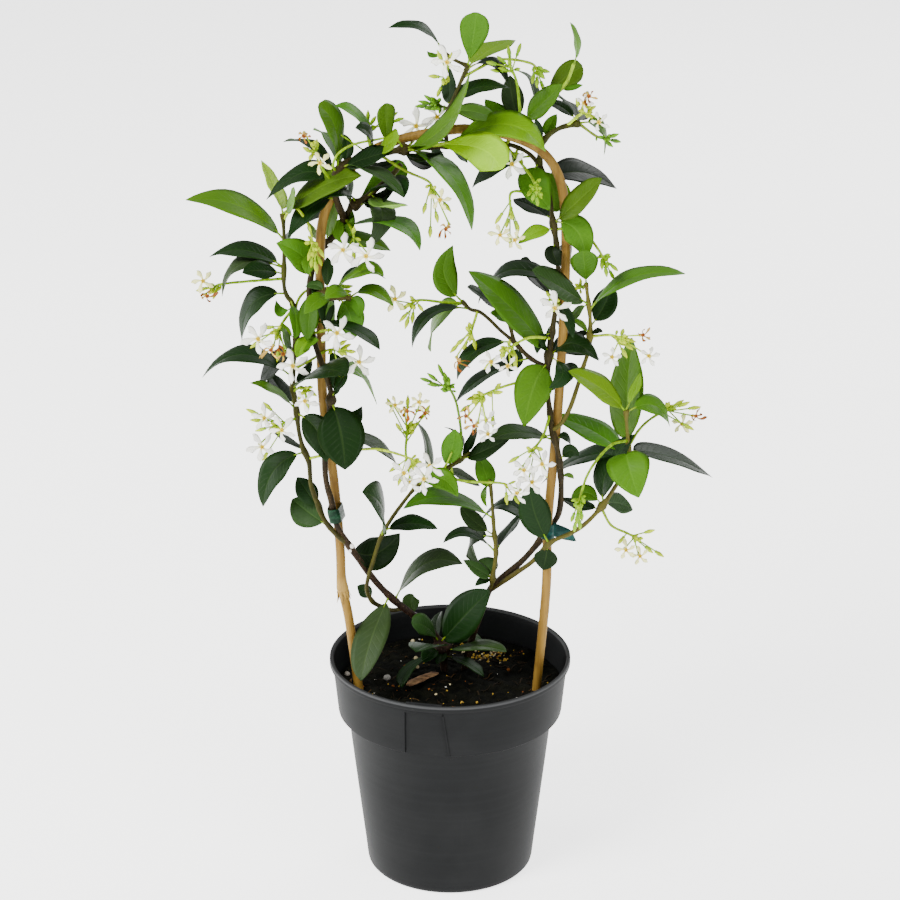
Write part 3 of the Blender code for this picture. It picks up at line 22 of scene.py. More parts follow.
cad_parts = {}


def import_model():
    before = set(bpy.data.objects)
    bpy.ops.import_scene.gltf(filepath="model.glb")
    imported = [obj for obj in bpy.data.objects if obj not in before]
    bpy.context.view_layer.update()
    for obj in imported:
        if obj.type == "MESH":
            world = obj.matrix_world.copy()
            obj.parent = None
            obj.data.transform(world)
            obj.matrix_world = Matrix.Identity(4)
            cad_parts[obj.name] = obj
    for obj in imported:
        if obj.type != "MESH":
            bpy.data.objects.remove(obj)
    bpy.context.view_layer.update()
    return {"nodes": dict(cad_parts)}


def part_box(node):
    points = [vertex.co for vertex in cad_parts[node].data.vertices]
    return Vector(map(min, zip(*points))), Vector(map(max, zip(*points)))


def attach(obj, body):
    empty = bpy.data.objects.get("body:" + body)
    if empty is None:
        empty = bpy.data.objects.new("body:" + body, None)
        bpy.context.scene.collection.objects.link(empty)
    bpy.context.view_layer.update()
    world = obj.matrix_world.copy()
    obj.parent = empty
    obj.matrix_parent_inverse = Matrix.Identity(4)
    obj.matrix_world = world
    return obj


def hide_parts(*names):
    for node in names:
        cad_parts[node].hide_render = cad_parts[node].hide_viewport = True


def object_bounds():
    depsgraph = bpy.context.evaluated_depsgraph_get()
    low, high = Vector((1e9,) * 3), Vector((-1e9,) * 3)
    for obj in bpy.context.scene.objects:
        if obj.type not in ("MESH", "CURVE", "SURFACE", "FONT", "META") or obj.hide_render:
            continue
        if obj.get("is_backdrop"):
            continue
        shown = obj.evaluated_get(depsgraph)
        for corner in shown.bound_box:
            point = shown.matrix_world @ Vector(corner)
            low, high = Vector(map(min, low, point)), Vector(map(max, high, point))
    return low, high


LOG = logging.getLogger("star_jasmine")
MM = 0.001
Point = np.ndarray
NO_TONE = np.ones(4)
NO_MARKS = np.zeros(4)
UP = np.array((0.0, 0.0, 1.0))
ASIDE = np.array((1.0, 0.0, 0.0))


class Tone(Enum):
    """The ages and aspects of a leaf, each with its own colour; the grey-shining dark green is a painted sheen
    and the black green is painted shade.
    """

    DARK = "old dark green"
    # Painted sheen: a greyer dark green that stands in for light shining on a dark leaf.
    SHEEN = "dark green that shines grey"
    # Painted shade: a black green for leaves that lie in shade.
    BLACK = "black green in the shade"
    MID = "mid green"
    BRIGHT = "young yellow-green"
    OLIVE = "olive"
    GREY = "grey-green"
    PALE = "pale underside"
    LIME = "newest lime green"


D, S, K, M, B, O, G, P, L = Tone


class Leaf(NamedTuple):
    """A leaf by three pixels on its midrib, the width seen (negative: underside), its reach and its tone.

    A blunt leaf is widest past its middle and round at its tip, and one ahead stands nearer the camera.
    """

    root: tuple[int, int]
    middle: tuple[int, int]
    tip: tuple[int, int]
    seen: float
    reach: float
    tone: Tone
    blunt: bool = False
    ahead: float = 0.0


def leaf_rows(*rows: tuple) -> tuple[Leaf, ...]:
    """Reads rows of leaves, each with its three pixels' numbers one after the other."""
    return tuple(Leaf(row[0:2], row[2:4], row[4:6], *row[6:]) for row in rows)


class Spray(NamedTuple):
    """A flower spray: its stem, its stalk's pixels, its head's reach, and its open, spent and shut blooms."""

    stem: str
    path: tuple[tuple[int, int], ...]
    reach: float
    open: tuple[tuple[int, int], ...] = ()
    spent: tuple[tuple[int, int], ...] = ()
    buds: tuple[tuple[int, int], ...] = ()


def spray_rows(*rows: tuple) -> tuple[Spray, ...]:
    """Reads rows of sprays, each with its pixels' numbers one after the other."""
    return tuple(Spray(stem, paired(path), reach, *(paired(group) for group in blooms))
                 for stem, path, reach, *blooms in rows)


def paired(numbers: Sequence[int]) -> tuple[tuple[int, int], ...]:
    """Puts numbers together two by two."""
    return tuple(zip(numbers[::2], numbers[1::2]))


class Stem(NamedTuple):
    """A stem: its radius in millimetres at root and tip, its bark's share, and its runs of pixel, depth."""

    thick: float
    thin: float
    woody: float
    runs: tuple


@dataclass(frozen=True)
class View:
    """The photograph's camera, worked out from the circles of the pot's rim and base."""

    focal_px: float = 2727.0
    centre_px: float = 450.0
    pitch: float = math.radians(21.22)
    back: float = 1.743
    height: float = 0.991
    sensor_mm: float = 36.0

    @property
    def eye(self) -> Point:
        """Where the camera stands."""
        return np.array((0.0, -self.back, self.height))

    @property
    def ahead(self) -> Point:
        """The direction in which it looks."""
        return np.array((0.0, math.cos(self.pitch), -math.sin(self.pitch)))

    @property
    def above(self) -> Point:
        """The direction of the picture's upper edge."""
        return np.array((0.0, math.sin(self.pitch), math.cos(self.pitch)))

    def ray(self, px: float, py: float) -> Point:
        """Gives the sight line of a pixel.

        Args:
            px: Column in the photograph.
            py: Row in the photograph.

        Returns:
            A direction that is one metre long along the line of view.
        """
        across = (px - self.centre_px) / self.focal_px
        rise = (self.centre_px - py) / self.focal_px
        return self.ahead + ASIDE * across + self.above * rise

    def sight(self, px: float, py: float, depth: float) -> Point:
        """Gives the point seen at a pixel.

        Args:
            px: Column in the photograph.
            py: Row in the photograph.
            depth: Millimetres behind the pot's middle.

        Returns:
            The point, in metres.
        """
        ray = self.ray(px, py)
        return self.eye + ray * ((depth * MM + self.back) / ray[1])

    def ground(self, px: float, py: float, height: float) -> Point:
        """Gives the point seen at a pixel on a level plane.

        Args:
            px: Column in the photograph.
            py: Row in the photograph.
            height: The plane's height in millimetres.

        Returns:
            The point, in metres.
        """
        ray = self.ray(px, py)
        return self.eye + ray * ((height * MM - self.height) / ray[2])

    def pixels(self, points: Point) -> Point:
        """Gives the pixels at which points are seen.

        Args:
            points: Points in rows.

        Returns:
            Columns and rows of the photograph.
        """
        away = points - self.eye
        scale = self.focal_px / (away @ self.ahead)
        across = self.centre_px + away[:, 0] * scale
        return np.stack((across, self.centre_px - (away @ self.above) * scale), axis=1)

    def pixel_size(self, point: Point) -> float:
        """Tells what one pixel measures at a point, in metres."""
        return float((point - self.eye) @ self.ahead) / self.focal_px


VIEW = View()


@dataclass(frozen=True)
class PotSizes:
    """The pot's sizes in millimetres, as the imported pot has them."""

    rim: float = 85.0
    sides: int = 192
    label_left: float = -31.0
    label_right_top: float = -5.4
    label_right_foot: float = -0.7
    label_foot: float = 117.0
    label_top: float = 152.5
    slot_wide: float = 2.8
    slot_deep: float = 1.3
    panel_deep: float = 0.95
    lip_wide: float = 1.0
    lip_proud: float = 0.8
    tab_wide: float = 25.0
    tab_thick: float = 0.9
    tab_top: float = 161.3
    drain_radius: float = 4.5
    drain_ring: float = 36.0
    drains: int = 4


@dataclass(frozen=True)
class BladeSizes:
    """A leaf blade's sizes in millimetres and its shape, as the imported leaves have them."""

    widest: float = 34.0
    share: float = 0.42
    steepest: float = math.radians(72.0)
    petiole: float = 5.0
    petiole_radius: float = 0.75
    thick: float = 0.32
    fold: float = 0.8
    wave: float = 0.45
    rows: int = 15
    rise_power: float = 0.72
    fall_power: float = 0.88
    blunt_rise: float = 1.05
    blunt_fall: float = 0.52


@dataclass(frozen=True)
class FlowerSizes:
    """A flower's sizes in millimetres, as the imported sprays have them."""

    radius: float = 12.5
    spent: float = 7.0
    tube: float = 6.5
    apex: float = 0.7
    droop: float = 2.0
    curl: float = -4.0
    petals: int = 5
    petal_turn: float = 0.10
    stalk: float = 1.0


POT = PotSizes()
BLADE = BladeSizes()
FLOWER = FlowerSizes()

# Cane hoop: pixel and depth along the bend, from the left leg at the soil to the right leg at the soil
HOOP = (
    (357, 676, -14), (349, 619, -13), (342, 584, -13), (340, 545, -12), (334, 480, -10), (323, 398, -8),
    (321, 333, -6), (320, 250, -4), (325, 212, -2), (340, 182, -1), (365, 155, 0), (395, 141, 0),
    (430, 133, 0), (465, 129, 0), (500, 133, 0), (537, 148, 0), (556, 170, 0), (564, 200, -1),
    (566, 245, -3), (563, 330, -6), (557, 420, -9), (548, 520, -13), (546, 590, -16), (537, 683, -19),
)
KNOT_PIXEL = (342, 587)

# Stems: a run is pixels and depths from its root on
STEMS = {
    "vine_left": Stem(2.7, 1.5, 0.9, (
        ((444, 668, 12), (441, 647, 14), (430, 628, 12), (417, 618, 9), (392, 598, 2), (372, 577, -5),
         (350, 547, -19), (338, 528, -21), (334, 513, -20.5), (331, 499, -20), (327, 485, -18),
         (325, 467, -17), (326, 440, -17), (331, 400, -16), (329, 385, -16), (322, 364, -16),
         (314, 340, -14), (310, 315, -10), (309, 296, -3), (311, 276, 3), (318, 255, 5), (327, 243, 5),
         (337, 232, 5), (345, 217, 6), (352, 206, 6)),
        ((352, 206, 6), (365, 199, 5), (380, 186, 2), (393, 174, 0), (401, 164, -1)),
        ((344, 219, 5), (338, 204, -4), (334, 188, -10), (338, 172, -11), (350, 161, -10), (372, 156, -9),
         (400, 150, -8), (428, 147, -7), (449, 146, -6)),
        ((309, 299, -6), (314, 296, -14), (322, 293, -17), (338, 297, -17), (351, 297, -16)),
    )),
    "vine_left_outer": Stem(1.8, 1.2, 0.35, (
        ((347, 543, -19), (340, 538, -23), (332, 530, -20), (324, 519, -15), (317, 502, -12), (311, 484, -10),
         (309, 462, -9), (303, 448, -8), (299, 432, -8), (296, 408, -8), (293, 390, -7), (293, 372, -7),
         (295, 340, -5), (293, 306, -3), (287, 296, -2), (284, 285, -2), (284, 262, -2), (284, 240, -2),
         (283, 214, -2)),
        ((295, 345, -5), (298, 335, -7), (301, 322, -8)),
    )),
    "vine_loop": Stem(1.6, 1.2, 0.4, (
        ((404, 608, 5), (393, 610, 6), (383, 607, 3), (373, 602, -3), (367, 591, -10), (368, 578, -13),
         (373, 562, -14), (379, 542, -13), (383, 533, -12), (390, 521, -11), (399, 508, -10), (415, 488, -8),
         (430, 477, -7), (444, 470, -6), (459, 461, -4), (470, 452, -3)),
    )),
    "vine_right": Stem(2.6, 1.3, 0.8, (
        ((466, 662, 14), (472, 638, 12), (481, 612, 9), (490, 589, 6), (499, 580, 4), (520, 563, 0),
         (534, 548, -3), (543, 536, -3), (552, 525, -3), (559, 512, -6), (561, 490, -9), (560, 467, -14),
         (557, 447, -16), (552, 430, -15), (550, 412, -12), (548, 395, -9), (547, 375, -7), (550, 345, -7),
         (555, 312, -8), (558, 285, -8), (558, 262, -7), (556, 240, -6), (553, 222, -5), (550, 200, -2),
         (546, 180, 4), (539, 165, 7), (528, 153, 8), (514, 146, 8), (500, 143, 8)),
        ((539, 165, 7), (541, 150, 7), (545, 139, 7), (560, 128, 5), (580, 123, 2)),
    )),
    "vine_right_outer": Stem(1.8, 1.2, 0.5, (
        ((492, 589, 6), (516, 573, -4), (533, 561, -14), (550, 543, -22), (571, 533, -19), (586, 523, -15),
         (602, 506, -12), (613, 490, -10), (621, 476, -9), (628, 449, -8), (627, 428, -8), (626, 410, -8)),
    )),
    "shoot_middle": Stem(1.6, 1.1, 0.3, (
        ((491, 589, 6), (493, 576, -3), (496, 554, -5), (494, 530, -3), (492, 502, -4), (490, 480, -5)),
    )),
    "shoot_centre": Stem(1.6, 1.0, 0.65, (
        ((547, 367, -7), (530, 358, -6), (514, 342, -4), (500, 330, -3), (490, 320, -2), (480, 312, -2),
         (470, 309, -2), (462, 301, -3)),
        ((514, 342, -4), (511, 330, -3), (508, 317, -2)),
    )),
    "shoot_right_upper": Stem(1.6, 1.1, 0.35, (
        ((552, 430, -15), (561, 424, -17), (570, 408, -14), (578, 385, -10), (583, 368, -8), (588, 352, -6),
         (590, 335, -5), (590, 318, -4), (588, 300, -3), (586, 283, -3)),
    )),
    "shoot_top": Stem(1.5, 1.0, 0.5, (
        ((447, 146, -6), (446, 128, -8), (449, 110, -8), (458, 88, -7), (468, 66, -6)),
        ((468, 66, -6), (455, 60, -6), (441, 51, -6)),
    )),
    "shoot_top_right": Stem(1.4, 1.0, 0.1, (
        ((507, 144, 8), (512, 134, 9), (521, 124, 6), (535, 112, 3), (551, 98, 0), (566, 83, -2),
         (574, 64, -3)),
    )),
}

# Leaves of each stem: the pixels of root, middle and tip, the width seen, the reach and the tone
LEAVES = {
    "vine_left": leaf_rows(
        (389, 596, 370, 642, 361, 681, 32, -50, S), (441, 645, 427, 627, 412, 625, 20, -18, G, True),
        (416, 617, 411, 603, 413, 594, 18, 10, G), (396, 599, 424, 564, 463, 564, 20, -15, S),
        (350, 547, 374, 554, 400, 533, 34, 18, K), (331, 400, 341, 434, 345, 470, 48, -20, D),
        (331, 402, 350, 418, 362, 406, 12, 12, D), (329, 430, 378, 446, 398, 469, 8, 16, G),
        (330, 398, 338, 374, 330, 352, 20, 14, D), (326, 372, 356, 370, 377, 405, 8, 12, M),
        (441, 643, 464, 616, 490, 590, 38, -18, D, False, 10), (441, 644, 436, 624, 442, 611, 14, 16, D),
        (441, 648, 466, 636, 484, 642, 13, -12, G), (442, 652, 477, 646, 507, 652, 9, -16, G),
        (442, 656, 466, 662, 484, 677, 9, -22, D), (442, 652, 412, 666, 402, 688, 8, -38, D),
        (441, 648, 430, 653, 424, 663, 14, -22, D), (441, 650, 441, 657, 437, 664, 12, -22, D),
        (441, 646, 428, 645, 416, 652, 10, -14, D), (327, 243, 330, 222, 339, 200, 14, -8, P),
        (340, 212, 306, 214, 288, 243, 16, 30, D), (338, 206, 322, 204, 309, 222, 11, 20, D),
        (334, 187, 305, 172, 266, 200, 20, 8, D), (327, 244, 316, 238, 309, 222, 6, -6, B),
        (311, 278, 302, 256, 276, 243, 28, -18, M), (311, 290, 309, 315, 307, 341, 22, -22, O),
        (326, 293, 316, 285, 305, 287, 10, 8, G), (326, 294, 328, 272, 327, 257, 12, 10, D),
        (338, 297, 350, 315, 352, 340, 28, 10, M), (330, 295, 330, 312, 332, 329, 10, 6, P),
        (351, 297, 372, 290, 394, 307, 13, -8, M), (334, 296, 358, 271, 386, 279, 8, 10, D),
        (311, 322, 352, 328, 380, 350, 7, 10, D), (314, 340, 304, 344, 297, 358, 16, -10, B),
        (337, 175, 336, 130, 318, 105, 20, -8, O, True), (338, 172, 331, 140, 313, 130, 13, 10, M),
        (336, 179, 312, 145, 283, 142, 7, 6, D), (343, 166, 347, 150, 344, 134, 14, 10, D),
        (374, 156, 360, 118, 334, 106, 9, -6, M), (374, 156, 370, 134, 355, 128, 8, 8, D),
        (389, 152, 386, 125, 386, 103, 19, -6, O, True), (350, 161, 374, 168, 398, 160, 10, 14, D),
        (372, 156, 386, 145, 399, 137, 16, 12, B, True), (354, 206, 384, 178, 408, 170, 25, 12, M, True),
        (358, 203, 382, 198, 402, 178, 12, -6, D), (343, 166, 375, 171, 404, 197, 10, 8, G),
        (366, 199, 390, 182, 404, 198, 12, -10, D), (372, 194, 388, 206, 404, 204, 6, -8, P),
        (354, 206, 382, 210, 368, 249, 24, -14, S, False, 6), (339, 229, 395, 222, 420, 251, 9, 8, M),
        (331, 241, 362, 240, 391, 251, 16, 12, M), (341, 225, 348, 230, 353, 217, 13, -8, O),
        (405, 150, 450, 120, 470, 68, 15, -8, M), (430, 147, 478, 148, 500, 170, 40, -14, L, True, 18),
        (402, 150, 416, 162, 433, 166, 11, 10, K), (428, 147, 437, 155, 446, 163, 12, 14, D),
        (406, 149, 452, 176, 472, 231, 19, -14, M, False, 4), (447, 146, 458, 153, 468, 163, 8, 10, G),
        (462, 141, 504, 124, 546, 152, 28, -22, B, False, -8), (344, 171, 366, 158, 393, 151, 19, -19, D),
        (356, 204, 343, 189, 322, 198, 15, -24, D), (352, 206, 349, 188, 351, 170, 8, -10, G),
        (404, 150, 424, 143, 447, 141, 6, -13, M), (402, 152, 419, 158, 444, 152, 9, -8, D),
        (331, 398, 339, 383, 347, 366, 9, -12, D), (345, 217, 338, 228, 343, 244, 13, -9, M),
        (311, 283, 323, 297, 325, 330, 20, -22, D), (322, 241, 312, 254, 308, 275, 22, -20, M),
        (331, 292, 360, 271, 384, 276, 12, -16, M), (332, 290, 319, 299, 304, 314, 17, -24, M),
        (353, 297, 338, 291, 325, 299, 14, -18, M), (347, 294, 357, 303, 359, 318, 15, -8, M),
        (340, 240, 348, 224, 351, 208, 13, 2, M), (336, 199, 311, 207, 288, 238, 20, -8, D),
    ),
    "vine_left_outer": leaf_rows(
        (320, 510, 308, 493, 297, 477, 22, 12, D), (329, 527, 308, 512, 292, 499, 34, 20, G),
        (298, 413, 318, 432, 326, 462, 30, -16, D), (305, 452, 274, 470, 263, 507, 26, -8, D),
        (304, 451, 290, 442, 270, 430, 7, 10, D), (284, 214, 322, 186, 362, 176, 24, -8, O, False, 14),
        (284, 213, 292, 202, 294, 187, 9, 6, P), (284, 240, 240, 206, 185, 200, 23, -8, M),
        (283, 214, 275, 188, 261, 160, 14, -8, L), (284, 268, 246, 250, 209, 257, 17, 12, D),
        (284, 268, 240, 264, 222, 297, 13, -8, S), (284, 274, 262, 270, 242, 273, 18, -14, D),
        (286, 293, 252, 304, 242, 342, 20, 8, D), (290, 300, 296, 318, 295, 339, 14, -26, M),
        (301, 323, 318, 304, 330, 290, 10, -8, M), (295, 338, 286, 331, 281, 322, 8, 8, B),
        (293, 378, 242, 354, 202, 378, 17, 6, D), (294, 352, 274, 364, 260, 381, 20, 14, K),
        (296, 410, 275, 391, 250, 383, 7, -10, M), (296, 404, 282, 391, 269, 372, 18, 12, D),
        (293, 386, 304, 374, 312, 361, 10, 12, D), (294, 388, 322, 370, 347, 376, 8, -16, D),
        (293, 352, 303, 345, 319, 340, 13, -18, M), (293, 353, 287, 342, 282, 328, 10, -18, M),
        (291, 306, 281, 312, 276, 300, 11, 4, M),
    ),
    "vine_loop": leaf_rows(
        (372, 601, 366, 592, 357, 586, 14, 10, D), (384, 532, 408, 523, 438, 529, 16, -8, D),
        (382, 536, 382, 506, 362, 492, 7, -8, D), (418, 486, 440, 478, 458, 497, 22, -12, M),
        (443, 470, 452, 448, 455, 429, 22, -8, M), (459, 461, 470, 444, 477, 427, 9, 8, D),
        (462, 459, 485, 450, 512, 436, 18, 8, D), (444, 470, 462, 476, 480, 486, 11, 8, S),
        (425, 481, 427, 445, 415, 420, 8, 34, G), (446, 469, 460, 440, 444, 427, 7, 14, D),
    ),
    "vine_right": leaf_rows(
        (540, 540, 510, 504, 479, 523, 18, 8, D), (560, 462, 569, 451, 579, 456, 14, -10, D),
        (556, 440, 566, 437, 571, 447, 9, 8, D), (561, 476, 568, 475, 574, 479, 5, -6, P),
        (555, 441, 518, 432, 488, 441, 16, -10, S), (553, 434, 530, 437, 508, 430, 5, 8, M),
        (549, 352, 514, 310, 468, 271, 31, -18, M), (548, 364, 534, 385, 524, 427, 38, -18, M),
        (558, 283, 508, 270, 478, 304, 15, 10, D), (556, 300, 532, 274, 528, 257, 16, 16, D),
        (549, 357, 575, 346, 600, 360, 20, 10, D), (551, 345, 551, 334, 553, 324, 10, 14, G),
        (540, 167, 552, 186, 553, 212, 35, -16, M, True), (532, 156, 496, 166, 472, 188, 17, 12, D),
        (546, 180, 582, 172, 617, 189, 24, 12, K), (553, 224, 579, 200, 602, 178, 23, -16, O),
        (553, 222, 576, 230, 586, 258, 30, -20, M), (555, 230, 538, 231, 518, 244, 14, -12, B),
        (553, 220, 534, 207, 513, 199, 17, 12, D), (557, 245, 565, 255, 568, 270, 18, 16, D),
        (579, 123, 562, 107, 545, 103, 11, 10, D), (580, 123, 602, 128, 604, 155, 10, -8, M),
        (577, 124, 574, 106, 557, 97, 13, 18, D), (545, 140, 549, 127, 557, 114, 13, 8, M),
        (544, 141, 539, 131, 535, 118, 9, -6, D), (557, 243, 553, 253, 561, 266, 18, -9, K),
        (550, 352, 541, 344, 528, 339, 9, -10, D), (549, 332, 541, 340, 537, 354, 11, -9, D),
        (556, 300, 566, 314, 573, 338, 12, -16, D), (550, 360, 572, 343, 599, 361, 20, -9, D),
        (543, 164, 534, 181, 550, 210, 33, -22, M), (556, 356, 563, 372, 549, 388, 17, -20, D),
    ),
    "vine_right_outer": leaf_rows(
        (549, 544, 535, 514, 530, 486, 32, -6, D), (548, 545, 546, 557, 543, 570, 24, -12, D),
        (602, 506, 588, 493, 571, 498, 16, -8, O), (600, 508, 583, 506, 560, 498, 12, 10, D),
        (603, 505, 618, 503, 633, 510, 20, 10, G), (604, 503, 607, 470, 635, 434, 24, 14, D),
        (627, 452, 628, 464, 639, 498, 44, -30, M), (627, 452, 672, 457, 713, 478, 16, -8, D),
        (626, 456, 592, 430, 553, 416, 24, -10, M), (628, 446, 627, 395, 632, 337, 35, 8, M),
        (626, 412, 601, 388, 568, 371, 22, -10, B), (627, 412, 654, 405, 670, 427, 19, -8, M),
        (627, 410, 635, 390, 640, 373, 10, -6, B), (627, 456, 582, 457, 541, 484, 8, 12, D),
    ),
    "shoot_middle": leaf_rows(
        (495, 578, 481, 571, 463, 560, 14, -8, G), (495, 577, 489, 568, 478, 560, 22, 12, G),
        (494, 580, 484, 580, 475, 586, 8, -8, D), (496, 553, 468, 533, 443, 543, 10, -8, D),
        (494, 537, 470, 540, 479, 563, 8, -16, S), (494, 536, 474, 521, 460, 507, 17, 12, S),
        (496, 552, 509, 530, 524, 512, 10, 10, D), (492, 518, 445, 497, 403, 509, 18, -12, M),
        (491, 492, 486, 475, 478, 453, 20, 8, M), (490, 482, 484, 494, 487, 507, 6, -8, M),
    ),
    "shoot_centre": leaf_rows(
        (463, 302, 444, 274, 453, 245, 26, -8, O), (470, 309, 430, 314, 412, 348, 12, -12, D),
        (464, 304, 436, 320, 431, 352, 12, 12, M), (509, 320, 484, 297, 467, 287, 9, 8, D),
        (510, 325, 500, 316, 490, 313, 9, -8, M), (514, 342, 476, 350, 457, 380, 16, -8, D),
        (516, 345, 515, 358, 508, 372, 18, 10, D), (530, 358, 484, 376, 455, 404, 6, 10, D),
    ),
    "shoot_right_upper": leaf_rows(
        (588, 304, 558, 285, 532, 270, 23, -14, G), (590, 336, 581, 334, 571, 341, 7, 8, K),
        (590, 334, 596, 331, 603, 332, 6, -8, K), (583, 368, 568, 373, 551, 391, 17, 12, D),
        (590, 333, 582, 325, 573, 321, 7, -8, M), (589, 342, 572, 333, 555, 320, 7, 12, D),
        (588, 303, 577, 313, 567, 323, 9, 8, M), (590, 326, 604, 306, 612, 283, 25, 16, D),
        (589, 311, 630, 278, 686, 274, 15, -10, M), (586, 284, 585, 268, 583, 250, 28, -14, O, True),
    ),
    "shoot_top": leaf_rows(
        (442, 52, 422, 28, 388, 28, 6, -6, D), (443, 53, 434, 56, 427, 51, 5, 6, M),
        (468, 67, 473, 38, 476, 12, 30, -10, O, True), (468, 67, 492, 48, 515, 40, 17, 8, B),
        (449, 110, 449, 90, 450, 68, 15, 10, D), (450, 108, 474, 88, 510, 88, 15, -10, D),
        (467, 70, 492, 62, 508, 85, 10, 10, K), (449, 112, 476, 112, 498, 121, 17, -12, P),
    ),
    "shoot_top_right": leaf_rows(
        (520, 125, 501, 116, 485, 99, 20, 12, M), (521, 124, 513, 100, 510, 75, 23, -10, S),
        (523, 122, 541, 104, 563, 84, 22, -14, O), (535, 112, 532, 82, 515, 70, 7, 10, G),
        (542, 106, 562, 80, 583, 67, 25, 12, O, True), (574, 65, 577, 44, 570, 22, 7, 4, P),
        (560, 90, 572, 88, 583, 85, 6, -6, M),
    ),
}

# Thin green shoots without leaves, by pixels and depths, and the stem that bears each
TENDRILS = (
    ("vine_left", 0.95, ((338, 172, -11), (333, 166, -15), (338, 154, -18), (352, 145, -19), (374, 140, -18),
                         (394, 138, -16), (404, 149, -9))),
    ("vine_left", 0.65, ((372, 156, -9), (356, 145, -14), (341, 135, -15))),
    ("vine_left", 1.15, ((402, 151, -9), (425, 147, -13), (446, 143, -13), (464, 141, -13))),
    ("vine_loop", 0.75, ((444, 470, -6), (448, 461, -10), (452, 452, -12))),
)

